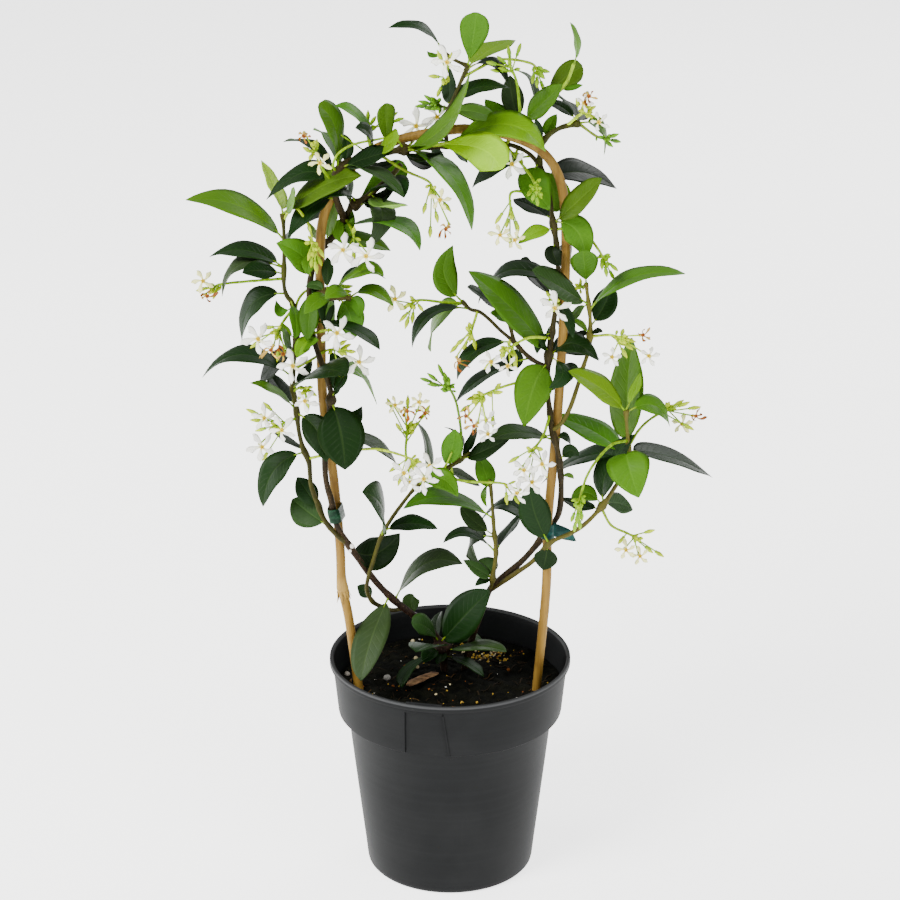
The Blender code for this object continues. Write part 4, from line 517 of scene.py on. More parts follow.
# Flower sprays
SPRAYS = spray_rows(
    ("vine_left", (334, 184, 322, 168, 314, 148), -14, (320, 163), (304, 136),
     (309, 150, 317, 139, 303, 147)),
    ("vine_left", (374, 156, 368, 138, 368, 124), -14, (), (), (368, 110, 361, 114, 376, 116, 404, 118)),
    ("vine_right", (501, 143, 480, 124, 452, 110, 437, 105), -10, (), (),
     (424, 95, 424, 109, 431, 97, 415, 106)),
    ("shoot_top", (449, 57, 447, 72, 443, 80), -10, (447, 62), (), (428, 76, 437, 97, 452, 52, 437, 50)),
    ("vine_left", (406, 149, 414, 140, 420, 134), -12, (416, 126, 437, 117), (), (425, 145, 408, 131)),
    ("shoot_top", (463, 77, 498, 60, 530, 63, 538, 72), -14, (), (), (537, 88, 550, 72, 544, 90, 532, 84)),
    ("shoot_top_right", (521, 124, 517, 84, 510, 66), 16, (), (), (486, 62, 497, 56, 508, 45, 521, 43)),
    ("vine_right", (567, 126, 578, 116, 587, 111), -14, (584, 103, 599, 122), (589, 96), (596, 106, 576, 98)),
    ("vine_right", (578, 123, 596, 136, 606, 139), 10, (), (), (619, 134, 613, 147, 621, 142)),
    ("vine_right", (518, 148, 515, 155), 10, (512, 164), (), (523, 165)),
    ("vine_right", (504, 143, 520, 162, 532, 178, 536, 190), -12, (), (),
     (532, 201, 538, 206, 542, 199, 527, 196)),
    ("vine_right", (551, 202, 528, 193, 511, 193, 511, 213), -16, (500, 235, 515, 240), (),
     (506, 228, 519, 231, 495, 224, 510, 246)),
    ("vine_left", (380, 154, 404, 170, 428, 181, 433, 190), -14, (440, 200), (446, 229),
     (430, 238, 423, 214, 438, 223, 451, 212)),
    ("vine_left", (345, 217, 352, 230, 354, 238), -26, (343, 250, 366, 256), (), (354, 262)),
    ("vine_left_outer", (284, 220, 294, 207, 308, 224, 314, 250), -20, (), (),
     (311, 268, 317, 274, 322, 266, 308, 261)),
    ("vine_left_outer", (301, 322, 296, 307, 306, 291, 329, 288, 338, 290), -16, (), (),
     (352, 292, 348, 299, 340, 302, 353, 286)),
    ("vine_left_outer", (284, 278, 252, 281, 222, 284, 214, 287), -6, (203, 281), (207, 296),
     (196, 291, 213, 299)),
    ("vine_left_outer", (293, 308, 283, 322, 276, 334), -20, (293, 366, 258, 339), (271, 350, 283, 354),
     (250, 348, 262, 328, 277, 362)),
    ("vine_left", (313, 334, 323, 331, 331, 330), -14, (337, 333), (), (322, 343)),
    ("vine_left_outer", (294, 370, 311, 360, 328, 350, 341, 351), -18, (359, 362), (),
     (351, 344, 356, 352, 341, 378, 347, 340)),
    ("vine_left_outer", (294, 391, 301, 387, 306, 390), -20, (305, 401), (),
     (317, 396, 298, 400, 313, 387, 309, 410)),
    ("vine_left_outer", (297, 418, 288, 422, 275, 426), -12, (264, 418, 282, 430, 262, 447), (),
     (246, 409, 255, 431, 263, 402, 262, 461)),
    ("shoot_centre", (464, 304, 442, 302, 420, 300, 410, 304), -8, (395, 299), (),
     (405, 329, 412, 324, 423, 311, 400, 310)),
    ("vine_loop", (415, 488, 407, 464, 406, 443, 409, 428), 8, (395, 405, 419, 402), (425, 413, 407, 411),
     (387, 398, 396, 423, 408, 395, 430, 405)),
    ("vine_left_outer", (308, 458, 335, 453, 374, 449, 404, 456, 414, 462), -16,
     (430, 466, 411, 482, 404, 473, 424, 479), (), (389, 472, 398, 486, 438, 470)),
    ("shoot_centre", (477, 311, 473, 326, 470, 336), -10, (), (459, 362),
     (455, 346, 463, 350, 476, 350, 450, 353)),
    ("vine_right", (548, 338, 528, 338, 506, 350), -14, (491, 362, 508, 366), (),
     (484, 369, 498, 358, 517, 362, 516, 370)),
    ("vine_loop", (460, 461, 461, 432, 456, 402, 447, 384), 12, (), (),
     (438, 364, 427, 384, 420, 378, 443, 385)),
    ("vine_right", (547, 376, 512, 384, 492, 391, 478, 398), -12, (486, 420, 488, 434), (474, 426, 466, 416),
     (503, 392, 460, 412, 466, 400, 493, 428)),
    ("vine_right", (551, 414, 543, 436, 532, 451), -20, (542, 464, 524, 470, 532, 482), (),
     (508, 463, 547, 478, 516, 476)),
    ("vine_loop", (450, 467, 458, 480, 500, 483, 508, 486), -14, (517, 493), (),
     (516, 481, 507, 505, 521, 505)),
    ("vine_right", (556, 304, 553, 300), -22, (555, 308), (), (546, 292, 541, 300)),
    ("vine_right", (558, 276, 546, 272, 560, 273), -22, (), (), (566, 290, 573, 284, 570, 277, 562, 284)),
    ("vine_right", (555, 230, 580, 228, 598, 249, 605, 262), -16, (), (),
     (607, 277, 614, 279, 618, 271, 602, 270)),
    ("shoot_right_upper", (590, 337, 610, 335, 622, 338), -10, (612, 357, 649, 356), (643, 335),
     (633, 350, 627, 358, 636, 342, 625, 346)),
    ("vine_right_outer", (628, 448, 639, 430, 652, 418, 669, 409), 8, (682, 424), (696, 416),
     (684, 400, 701, 407, 694, 430, 690, 402)),
    ("vine_right_outer", (628, 440, 610, 446, 589, 472, 578, 504), -46, (), (),
     (574, 532, 580, 530, 571, 522, 582, 521)),
    ("vine_right_outer", (602, 507, 611, 525, 627, 533, 636, 538), -10, (626, 550, 640, 556), (),
     (655, 530, 664, 557, 653, 553, 618, 544)),
    ("shoot_right_upper", (586, 284, 580, 288), 8, (), (), (575, 284, 580, 278, 572, 290)),
)


def unit(vector: Point) -> Point:
    """Gives a vector's direction, or each row's."""
    return vector / np.linalg.norm(vector, axis=-1, keepdims=True)


def smooth_line(points: Sequence[Point], step: float) -> Point:
    """Draws a smooth curve through points.

    Args:
        points: The points, in metres.
        step: About how far apart the curve's points lie, in millimetres.

    Returns:
        The curve's points in rows. Each stretch is a Catmull-Rom cubic of its four neighbours.
    """
    ends = [points[0] * 2 - points[1], *points, points[-1] * 2 - points[-2]]
    found = []
    for before, start, stop, after in zip(ends, ends[1:], ends[2:], ends[3:]):
        count = max(1, round(float(np.linalg.norm(stop - start)) / (step * MM)))
        t = (np.arange(count) / count)[:, None]
        bend = 2 * before - 5 * start + 4 * stop - after
        twist = 3 * start - before - 3 * stop + after
        found.append(0.5 * (2 * start + (stop - before) * t + bend * t**2 + twist * t**3))
    return np.concatenate([*found, points[-1][None, :]])


def ring_axes(line: Point) -> tuple[Point, Point, Point]:
    """Finds a frame along a line that turns with it and never twists.

    Args:
        line: The line's points in rows.

    Returns:
        The heading, the first and the second cross direction at each point.
    """
    ends = np.concatenate([line[:1], line, line[-1:]])
    heading = unit(ends[2:] - ends[:-2])
    spoke = UP if abs(heading[0][2]) < 0.9 else ASIDE
    first = np.empty_like(line)
    for index, along in enumerate(heading):
        spoke = unit(spoke - along * (spoke @ along))
        first[index] = spoke
    return heading, first, np.cross(heading, first)


def linked(name: str, data: bpy.types.ID) -> bpy.types.Object:
    """Puts a mesh, a light or a camera into the scene as an object."""
    body = bpy.data.objects.new(name, data)
    bpy.context.scene.collection.objects.link(body)
    return body


def ball_shape(subdivisions: int) -> tuple[Point, list[tuple[int, ...]]]:
    """Gives the points and faces of a ball with a radius of one."""
    ball = bmesh.new()
    bmesh.ops.create_icosphere(ball, subdivisions=subdivisions, radius=1.0)
    points = np.array([vertex.co[:] for vertex in ball.verts])
    faces = [tuple(vertex.index for vertex in face.verts) for face in ball.faces]
    ball.free()
    return points, faces


def turned_outward(mesh: bpy.types.Mesh, merge: float = 0.0) -> None:
    """Turns a mesh's faces outward, once points that lie within a distance in metres are merged."""
    form = bmesh.new()
    form.from_mesh(mesh)
    if merge:
        bmesh.ops.remove_doubles(form, verts=form.verts, dist=merge)
    bmesh.ops.recalc_face_normals(form, faces=form.faces)
    form.to_mesh(mesh)
    form.free()


@dataclass
class Form:
    """The growing mesh of one piece: points, faces with their material, and two colours at each point."""

    points: list[Point] = field(default_factory=list)
    faces: list[tuple[int, ...]] = field(default_factory=list)
    materials: list[int] = field(default_factory=list)
    tones: list[Point] = field(default_factory=list)
    marks: list[Point] = field(default_factory=list)
    count: int = 0

    def add(self, points: Point, faces: Sequence[tuple[int, ...]], material: int = 0, tone: Point = NO_TONE,
            marks: Point = NO_MARKS) -> None:
        """Adds a shape.

        Args:
            points: Its points in rows, in metres.
            faces: Its faces by index.
            material: The material's place in the piece's slots.
            tone: One colour, or one for each point.
            marks: Four values, or four for each point, that the material reads.
        """
        self.points.append(points)
        self.faces += [tuple(corner + self.count for corner in face) for face in faces]
        self.materials += [material] * len(faces)
        self.tones.append(np.broadcast_to(tone, (len(points), 4)))
        self.marks.append(np.broadcast_to(marks, (len(points), 4)))
        self.count += len(points)

    def add_rings(self, rings: Point, material: int = 0, tone: Point = NO_TONE, marks: Point = NO_MARKS,
                  caps: tuple[bool, bool] = (True, True), flipped: bool = False) -> None:
        """Adds a wall of rings.

        Args:
            rings: The rings' points, a row for each ring.
            material: The material's place in the piece's slots.
            tone: One colour, or a grid of them with a row for each ring.
            marks: Four values that the material reads, or a grid of them.
            caps: Whether the first and the last ring are filled.
            flipped: Whether the rings run with the left hand round their heading.
        """
        rows, columns = rings.shape[:2]
        faces = wall_faces(rows, columns, *caps)
        looks = (np.broadcast_to(grid, (rows, columns, 4)).reshape(-1, 4) for grid in (tone, marks))
        self.add(rings.reshape(-1, 3), [face[::-1] for face in faces] if flipped else faces, material, *looks)

    def finished(self, name: str, finishes: Sequence[bpy.types.Material],
                 nodes: Sequence[str]) -> bpy.types.Object:
        """Makes the piece's object, which rides on the root body.

        Args:
            name: The piece's name.
            finishes: Its materials.
            nodes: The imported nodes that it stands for.

        Returns:
            The object, with its place in its mesh.
        """
        mesh = bpy.data.meshes.new(name)
        mesh.from_pydata(np.concatenate(self.points).tolist(), [], self.faces)
        for key, rows in (("tone", self.tones), ("marks", self.marks)):
            layer = mesh.attributes.new(key, "FLOAT_COLOR", "POINT")
            layer.data.foreach_set("color", np.concatenate(rows).astype(np.float32).ravel())
        for finish in finishes:
            mesh.materials.append(finish)
        mesh.polygons.foreach_set("material_index", self.materials)
        mesh.polygons.foreach_set("use_smooth", [True] * len(self.faces))
        mesh.update()
        body = linked(name, mesh)
        if nodes:
            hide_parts(*nodes)
        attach(body, "root")
        LOG.info("%s: %d faces", name, len(self.faces))
        return body


def wall_faces(rows: int, columns: int, first_cap: bool = True,
               last_cap: bool = True) -> list[tuple[int, ...]]:
    """Lists the faces of a wall of rings, ring by ring.

    Args:
        rows: How many rings there are.
        columns: How many points a ring has.
        first_cap: Whether the first ring is filled.
        last_cap: Whether the last ring is filled.

    Returns:
        The faces, each turned outward for rings that run with the right hand round their heading.
    """
    faces: list[tuple[int, ...]] = []
    for row in range(rows - 1):
        for column in range(columns):
            here = row * columns + column
            beside = row * columns + (column + 1) % columns
            faces.append((here, beside, beside + columns, here + columns))
    if first_cap:
        faces.append(tuple(range(columns - 1, -1, -1)))
    if last_cap:
        faces.append(tuple(range((rows - 1) * columns, rows * columns)))
    return faces


def spread(count: int) -> Point:
    """Gives the angles of spokes that are spread evenly round a turn."""
    return np.arange(count) * (math.tau / count)


def tube_rings(line: Point, radii: Point, sides: int, ripple: Point | float = 0.0) -> Point:
    """Sweeps a round section along a line.

    Args:
        line: The line's points in rows.
        radii: The radius at each, in millimetres.
        sides: The section's corners.
        ripple: What is added to the radius, row by row and corner by corner, in millimetres.

    Returns:
        The corners, a row for each ring.
    """
    _, first, second = ring_axes(line)
    angles = spread(sides)[:, None]
    spokes = first[:, None] * np.cos(angles) + second[:, None] * np.sin(angles)
    reach = (np.asarray(radii)[:, None] + ripple) * MM
    return line[:, None] + spokes * reach[:, :, None]


def stacked(*values: Point | float) -> Point:
    """Puts four values side by side: each is one number, one a corner or, as a column, one a ring."""
    return np.stack(np.broadcast_arrays(*values), axis=-1).astype(float)


class Probe:
    """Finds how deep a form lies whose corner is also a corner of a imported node."""

    steps: tuple[float, float, float] = (0.25, 0.02, 0.002)
    tries: int = 6
    near: float = 0.06

    def __init__(self, node: bpy.types.Object) -> None:
        """Sorts the node's corners.

        Args:
            node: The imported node.
        """
        self.tree = kdtree.KDTree(len(node.data.vertices))
        for index, vertex in enumerate(node.data.vertices):
            self.tree.insert(vertex.co, index)
        self.tree.balance()

    def depth(self, corner: Callable[[float], Point], low: float, high: float) -> float | None:
        """Looks for the depth at which a corner of a form meets a corner of the node.

        Args:
            corner: Gives the form's corner for a depth in millimetres.
            low: The least depth.
            high: The greatest depth.

        Returns:
            The depth in millimetres, or nothing where no corner is met.
        """
        first, *finer = self.steps
        depths = np.arange(low, high, first)
        misses = [self.tree.find(Vector(corner(depth)))[2] for depth in depths]
        tries = [(miss, float(depths[index])) for index, miss in enumerate(misses)]
        best = []
        for _, depth in sorted(tries)[:self.tries]:
            reach = first
            miss = 0.0
            for step in finer:
                nearby = np.arange(depth - reach, depth + reach, step)
                miss, depth = min((self.tree.find(Vector(corner(at)))[2], float(at)) for at in nearby)
                reach = step
            best.append((miss, depth))
        miss, depth = min(best)
        return depth if miss < self.near * MM else None


class Wire:
    """A shader value: a node's output or a number, with arithmetic that lays the nodes."""

    def __init__(self, shop: Shop, value: bpy.types.NodeSocket | float | tuple) -> None:
        """Holds the value.

        Args:
            shop: The material's node maker.
            value: An output, a number or a colour.
        """
        self.shop = shop
        self.value = value

    def __add__(self, other: Wire | float) -> Wire:
        """Adds."""
        return self.shop.math("ADD", self, other)

    def __radd__(self, other: float) -> Wire:
        """Adds from the left."""
        return self.shop.math("ADD", other, self)

    def __sub__(self, other: Wire | float) -> Wire:
        """Takes away."""
        return self.shop.math("SUBTRACT", self, other)

    def __rsub__(self, other: float) -> Wire:
        """Takes away from the left."""
        return self.shop.math("SUBTRACT", other, self)

    def __mul__(self, other: Wire | float) -> Wire:
        """Multiplies."""
        return self.shop.math("MULTIPLY", self, other)

    def abs(self) -> Wire:
        """Drops the sign."""
        return self.shop.math("ABSOLUTE", self)

    def wave(self) -> Wire:
        """Gives the sine."""
        return self.shop.math("SINE", self)

    def ramp(self, low: float, high: float) -> Wire:
        """Goes smoothly from 0 at low to 1 at high."""
        node = self.shop.node("ShaderNodeMapRange", {"interpolation_type": "SMOOTHSTEP"}, Value=self,
                              From_Min=low, From_Max=high)
        return Wire(self.shop, node.outputs["Result"])


class Shop:
    """One material and the means to lay its nodes."""

    def __init__(self, name: str) -> None:
        """Starts a material with a Principled shader.

        Args:
            name: The material's name.
        """
        self.material = bpy.data.materials.new(name)
        self.material.use_nodes = True
        self.tree = self.material.node_tree
        self.shader = self.tree.nodes["Principled BSDF"]

    def node(self, kind: str, settings: dict[str, str] | None = None,
             **inputs: Wire | float | tuple) -> bpy.types.Node:
        """Lays a node.

        Args:
            kind: The node's type.
            settings: What is set on the node itself.
            inputs: Values for its inputs, by name, with _ for a blank.

        Returns:
            The node.
        """
        node = self.tree.nodes.new(kind)
        for key, value in (settings or {}).items():
            setattr(node, key, value)
        for key, value in inputs.items():
            self.join(node.inputs[key.replace("_", " ")], value)
        return node

    def join(self, socket: bpy.types.NodeSocket, value: Wire | float | tuple) -> None:
        """Sets or links one input."""
        held = value.value if isinstance(value, Wire) else value
        if isinstance(held, bpy.types.NodeSocket):
            self.tree.links.new(held, socket)
        elif isinstance(held, tuple) and len(held) == 3 and socket.type == "RGBA":
            socket.default_value = (*held, 1.0)
        else:
            socket.default_value = held

    def math(self, operation: str, *values: Wire | float) -> Wire:
        """Lays a Math node on numbers."""
        node = self.node("ShaderNodeMath", {"operation": operation})
        for socket, value in zip(node.inputs, values):
            self.join(socket, value)
        return Wire(self, node.outputs[0])

    def mix(self, share: Wire | float, low: Wire | tuple, high: Wire | tuple, blend: str = "MIX") -> Wire:
        """Mixes two colours.

        Args:
            share: How much of the second colour.
            low: The first colour.
            high: The second colour.
            blend: The way of mixing.

        Returns:
            The mixed colour.
        """
        node = self.node("ShaderNodeMix", {"data_type": "RGBA", "blend_type": blend}, Factor=share)
        for socket, value in zip((node.inputs[6], node.inputs[7]), (low, high)):
            self.join(socket, value)
        return Wire(self, node.outputs[2])

    def tinted(self, base: Wire, by: tuple[float, float, float]) -> Wire:
        """Multiplies a colour by another."""
        return self.mix(1.0, base, by, "MULTIPLY")

    def attribute(self, name: str) -> bpy.types.Node:
        """Reads a colour that the mesh carries."""
        return self.node("ShaderNodeAttribute", {"attribute_name": name})

    def marks(self) -> tuple[Wire, Wire, Wire, Wire]:
        """Gives the four values of the mesh's marks."""
        node = self.attribute("marks")
        parts = self.node("ShaderNodeSeparateColor", Color=Wire(self, node.outputs["Color"]))
        red, green, blue = (Wire(self, parts.outputs[key]) for key in ("Red", "Green", "Blue"))
        return red, green, blue, Wire(self, node.outputs["Alpha"])

    def tone(self) -> Wire:
        """Gives the mesh's tone."""
        return Wire(self, self.attribute("tone").outputs["Color"])

    def place(self, stretch: tuple[float, float, float] = (1.0, 1.0, 1.0)) -> Wire:
        """Gives the place on the object, stretched along its axes."""
        source = self.node("ShaderNodeTexCoord")
        node = self.node("ShaderNodeMapping", Vector=Wire(self, source.outputs["Object"]), Scale=stretch)
        return Wire(self, node.outputs["Vector"])

    def height(self) -> Wire:
        """Gives the height on the object in metres."""
        node = self.node("ShaderNodeSeparateXYZ", Vector=self.place())
        return Wire(self, node.outputs["Z"])

    def noise(self, scale: float, detail: float = 3.0, at: Wire | None = None) -> Wire:
        """Gives a cloudy value about 0.5; scale is in lumps a metre."""
        node = self.node("ShaderNodeTexNoise", Vector=at or self.place(), Scale=scale, Detail=detail)
        return Wire(self, node.outputs[0])

    def cells(self, scale: float, at: Wire | None = None) -> Wire:
        """Gives the distance to the nearest of scattered points."""
        node = self.node("ShaderNodeTexVoronoi", Vector=at or self.place(), Scale=scale)
        return Wire(self, node.outputs[0])

    def relief(self, height: Wire, depth: float, strength: float = 1.0) -> Wire:
        """Turns a height into bumps of a depth in metres."""
        node = self.node("ShaderNodeBump", Height=height, Distance=depth, Strength=strength)
        return Wire(self, node.outputs["Normal"])

    def dress(self, base: Wire, rough: Wire, normal: Wire, shine: float = 0.5) -> bpy.types.Material:
        """Gives the material with its colour, its roughness, its bumps and its specular level."""
        return self.filled(Base_Color=base, Roughness=rough, Normal=normal, Specular_IOR_Level=shine)

    def filled(self, **inputs: Wire | float | tuple) -> bpy.types.Material:
        """Fills the shader's inputs and gives the material."""
        for key, value in inputs.items():
            self.join(self.shader.inputs[key.replace("_", " ")], value)
        return self.material


COLOURS = {
    Tone.DARK: (0.005, 0.019, 0.003),
    # Painted sheen: the greyed dark green stands in for the leaves' shine.
    Tone.SHEEN: (0.016, 0.032, 0.010),
    # Painted shade: the black green stands in for shade on these leaves.
    Tone.BLACK: (0.003, 0.009, 0.002),
    Tone.MID: (0.046, 0.126, 0.005),
    Tone.BRIGHT: (0.104, 0.228, 0.003),
    Tone.OLIVE: (0.040, 0.098, 0.004),
    Tone.GREY: (0.018, 0.046, 0.010),
    Tone.PALE: (0.085, 0.180, 0.025),
    Tone.LIME: (0.230, 0.440, 0.001),
}
BARK = (0.018, 0.0085, 0.0050)
GREEN_WOOD = (0.032, 0.036, 0.004)
SHOOT_GREEN = (0.180, 0.350, 0.001)
PETAL_WHITE = (0.930, 0.930, 0.860)
PETAL_CREAM = (0.860, 0.860, 0.360)
EYE_GOLD = (0.560, 0.390, 0.001)
SPENT_BROWN = (0.270, 0.078, 0.008)
SPENT_TAN = (0.620, 0.400, 0.090)
BUD_GREEN = (0.110, 0.285, 0.001)
BUD_YELLOW = (0.235, 0.390, 0.001)
BUD_PALE = (0.440, 0.540, 0.008)
LEAF_SLOT = 0
STEM_SLOT = 1
PETAL_SLOT = 0
VINES = tuple(STEMS)


def colour(rgb: Sequence[float], gain: float = 1.0) -> Point:
    """Gives a colour with its alpha, made lighter or darker."""
    return np.array((*(min(1.0, channel * gain) for channel in rgb), 1.0))


def blended(first: Sequence[float], second: Sequence[float], share: Point | float) -> Point:
    """Mixes two colours by a share or by a share for each point."""
    share = np.asarray(share, dtype=float)[..., None]
    return colour(first) * (1 - share) + colour(second) * share


class Vine:
    """A leafy stem: its smooth runs and what grows on it."""

    sides: int = 10
    step: float = 2.0
    foot: float = 104.0
    swell: float = 0.22
    swell_length: float = 3.5
    ripple: float = 0.05
    green_side_run: float = 0.6

    def __init__(self, name: str, row: Stem) -> None:
        """Draws the runs.

        Args:
            name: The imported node's name.
            row: The stem's row.
        """
        self.name = name
        self.row = row
        self.draw = np.random.default_rng(len(name) * 31 + VINES.index(name))
        self.runs = [smooth_line([VIEW.sight(*place) for place in run], self.step) for run in row.runs]
        if name in ("vine_left", "vine_right"):
            first = self.runs[0]
            slope = first[0] - first[1]
            root = first[0] + slope * ((self.foot * MM - first[0][2]) / slope[2])
            self.runs[0] = np.concatenate([smooth_line([root, first[0]], self.step), first[1:]])
        self.axis = np.concatenate([smooth_line(list(run), 1.0) for run in self.runs])
        self.seen = VIEW.pixels(self.axis)
        self.nodes: list[Point] = []

    def root_at(self, place: tuple[int, int]) -> Point:
        """Gives the point of the stem's middle line that is seen nearest to a pixel."""
        return self.axis[int(np.argmin(np.linalg.norm(self.seen - np.array(place), axis=1)))]

    def grow(self, form: Form) -> None:
        """Adds the stem's wood to a form, swollen where leaves and stalks leave it."""
        angles = spread(self.sides)
        for number, run in enumerate(self.runs):
            share = np.linspace(0, 1, len(run))
            share = share if number == 0 else 0.5 + 0.5 * share
            radii = self.row.thick + (self.row.thin - self.row.thick) * share
            for place in self.nodes:
                away = np.linalg.norm(run - place, axis=1) / (self.swell_length * MM)
                radii = radii * (1 + self.swell * np.exp(-(away**2)))
            phase = self.draw.uniform(0, math.tau, 3)
            rows = np.arange(len(run))[:, None]
            ripple = self.ripple * self.row.thick * (
                np.sin(rows * 0.37 + phase[0] + 2 * angles) + 0.7 * np.sin(rows * 0.11 + phase[1] - angles))
            green = self.green_side_run if number and self.name == "vine_right" else 0.0
            woody = np.clip(self.row.woody * 1.25 - share * 0.55 - green, 0, 1)[:, None]
            tone = blended(SHOOT_GREEN if self.row.woody < 0.3 else GREEN_WOOD, BARK, woody)
            marks = stacked(rows * self.step * MM, angles / math.tau, woody, phase[2] / math.tau)
            form.add_rings(tube_rings(run, radii, self.sides, ripple), STEM_SLOT, tone, marks)


def outline_width(u: Point, blunt: bool) -> Point:
    """Gives a blade's width along its midrib, 1 at the widest: u to one power times 1 - u to another."""
    rise, fall = (BLADE.blunt_rise, BLADE.blunt_fall) if blunt else (BLADE.rise_power, BLADE.fall_power)
    peak = rise / (rise + fall)
    return u**rise * (1 - u) ** fall / (peak**rise * (1 - peak) ** fall)


class Blade:
    """One leaf: a petiole that opens into a folded blade with a pressed midrib."""

    across: Point = np.array((-1.0, -0.72, -0.40, -0.09, 0.0, 0.09, 0.40, 0.72, 1.0))
    farthest: float = 110.0
    longest_neck: float = 0.16
    groove: float = 0.30
    midrib: float = 0.45
    crowding: float = 1.05
    first_row: float = 0.012
    last_row: float = 0.994
    full_width: float = 20.0
    wave_counts: tuple[float, float] = (9.0, 14.0)
    edge_mark: float = 0.3
    tone_gains: tuple[float, float] = (0.8, 1.22)
    hue_gains: tuple[float, float] = (0.9, 1.1)
    petiole_sides: int = 6
    petiole_taper: Point = np.array((1.25, 1.0, 0.92, 0.85, 0.4))

    def __init__(self, leaf: Leaf, vine: Vine, probe: Probe, seed: int) -> None:
        """Finds the leaf's place.

        Args:
            leaf: Its row.
            vine: The stem that bears it.
            probe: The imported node's corners, one of which is the leaf's tip.
            seed: What its small differences are drawn from.
        """
        self.leaf = leaf
        self.draw = np.random.default_rng(seed)
        self.root = vine.root_at(leaf.root)
        vine.nodes.append(self.root)
        depth = self.root[1] / MM
        tip_depth = probe.depth(lambda at: VIEW.sight(*leaf.tip, at), depth - self.farthest,
                                depth + self.farthest)
        self.found = tip_depth is not None
        reach = tip_depth - depth if self.found and not leaf.ahead else leaf.reach - leaf.ahead
        self.middle = VIEW.sight(*leaf.middle, depth + 0.6 * reach)
        self.tip = VIEW.sight(*leaf.tip, depth + reach)
        self.handle = self.middle * 2 - (self.root + self.tip) / 2
        self.length = float(np.linalg.norm(self.middle - self.root) + np.linalg.norm(self.tip - self.middle))
        self.width, self.edge = self.turned()

    def turned(self) -> tuple[float, Point]:
        """Gives the blade's width, and its cross direction once it is rolled to look as wide as seen."""
        along = unit(self.tip - self.root)
        side = unit(np.cross(along, self.middle - VIEW.eye))
        face = np.cross(along, side)
        seen = abs(self.leaf.seen) * VIEW.pixel_size(self.middle)
        width = max(seen, min(BLADE.share * self.length, BLADE.widest * MM))
        roll = min(math.acos(min(1.0, seen / width)), BLADE.steepest)
        front = 1 if self.leaf.seen > 0 else -1
        lift = 1 if side[2] > 0 else -1
        top = face * (front * math.cos(roll)) + side * (lift * math.sin(roll))
        return width / MM, np.cross(along, top)

    def frame(self, t: Point) -> tuple[Point, Point, Point]:
        """Gives the midrib's points at shares of its length, with the cross and the upward directions."""
        t = t[:, None]
        centre = self.root * (1 - t) ** 2 + self.handle * (2 * t * (1 - t)) + self.tip * t**2
        heading = unit((self.handle - self.root) * (1 - t) + (self.tip - self.handle) * t)
        across = unit(self.edge - heading * (heading @ self.edge)[:, None])
        return centre, across, np.cross(across, heading)

    def grow(self, form: Form) -> None:
        """Adds the leaf to a form."""
        neck = min(BLADE.petiole * MM / self.length, self.longest_neck)
        draw = self.draw
        u = np.linspace(0, 1, BLADE.rows) ** self.crowding
        u[0], u[-1] = self.first_row, self.last_row
        centre, across, up = self.frame(neck + (1 - neck) * u)
        wide = outline_width(u, self.leaf.blunt)[:, None]
        v = self.across[None, :]
        half = wide * (self.width / 2)
        phase = draw.uniform(0, math.tau, 3)
        wave = np.sin(u[:, None] * draw.uniform(*self.wave_counts) + phase[0] + 1.4 * np.sign(v)) * BLADE.wave
        size = min(1.0, self.width / self.full_width)
        ease = np.minimum(1.0, wide * 1.6)
        groove = np.exp(-((v / 0.07) ** 2))
        lift = (BLADE.fold * np.abs(v) ** 1.2 + wave * v**2) * ease * size
        lift = lift - self.groove * groove * ease * size
        thick = BLADE.thick * (0.35 + 0.65 * ease) + self.midrib * np.exp(-((v / 0.10) ** 2)) * ease * size
        sway = half * v
        top = centre[:, None] + across[:, None] * (sway[..., None] * MM)
        top = top + up[:, None] * (lift[..., None] * MM)
        under = top - up[:, None] * (thick[..., None] * MM)
        rings = np.concatenate([top, under[:, -2:0:-1]], axis=1)
        columns = len(self.across)
        marks_v = np.concatenate([self.across, self.across[-2:0:-1]]) * 0.5 + 0.5
        below = np.concatenate([np.zeros(columns), np.ones(columns - 2)])
        below[0] = below[columns - 1] = self.edge_mark
        tone = colour(COLOURS[self.leaf.tone], draw.uniform(*self.tone_gains))
        tone[:3] *= draw.uniform(*self.hue_gains, 3)
        form.add_rings(rings, LEAF_SLOT, tone, stacked(u[:, None], marks_v, below, draw.uniform()))
        self.grow_petiole(form, neck, size)

    def grow_petiole(self, form: Form, neck: float, size: float) -> None:
        """Adds the leaf's stalk, which ends inside the blade."""
        sides = self.petiole_sides
        stalk = np.linspace(0, neck + 0.05, len(self.petiole_taper))
        line, _, _ = self.frame(stalk)
        radii = BLADE.petiole_radius * size**0.5 * self.petiole_taper
        wood = blended(SHOOT_GREEN, COLOURS[self.leaf.tone], 0.35)
        marks = stacked(stalk[:, None], np.arange(sides) / sides, 0.0, 0.5)
        form.add_rings(tube_rings(line, radii, sides), STEM_SLOT, wood, marks)


class Mood(NamedTuple):
    """A spray's colours: its stalk, its buds at base and tip, and its open flowers."""

    stalk: tuple[float, float, float]
    bud_base: tuple[float, float, float]
    bud_tip: tuple[float, float, float]
    petal: tuple[float, float, float]


CREAMY = Mood(SHOOT_GREEN, BUD_YELLOW, BUD_PALE, PETAL_CREAM)
WHITISH = Mood(SHOOT_GREEN, BUD_YELLOW, BUD_PALE, PETAL_WHITE)
GREENISH = Mood(SHOOT_GREEN, BUD_GREEN, BUD_YELLOW, PETAL_CREAM)
YELLOWISH = Mood((0.360, 0.560, 0.004), BUD_YELLOW, BUD_PALE, PETAL_WHITE)
DEEP = Mood((0.080, 0.170, 0.012), (0.040, 0.110, 0.010), BUD_GREEN, PETAL_CREAM)


class Look(NamedTuple):
    """A spray's looks: its colours, its open flowers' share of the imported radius, and how many small buds."""

    mood: Mood
    open_share: float
    crowd: int


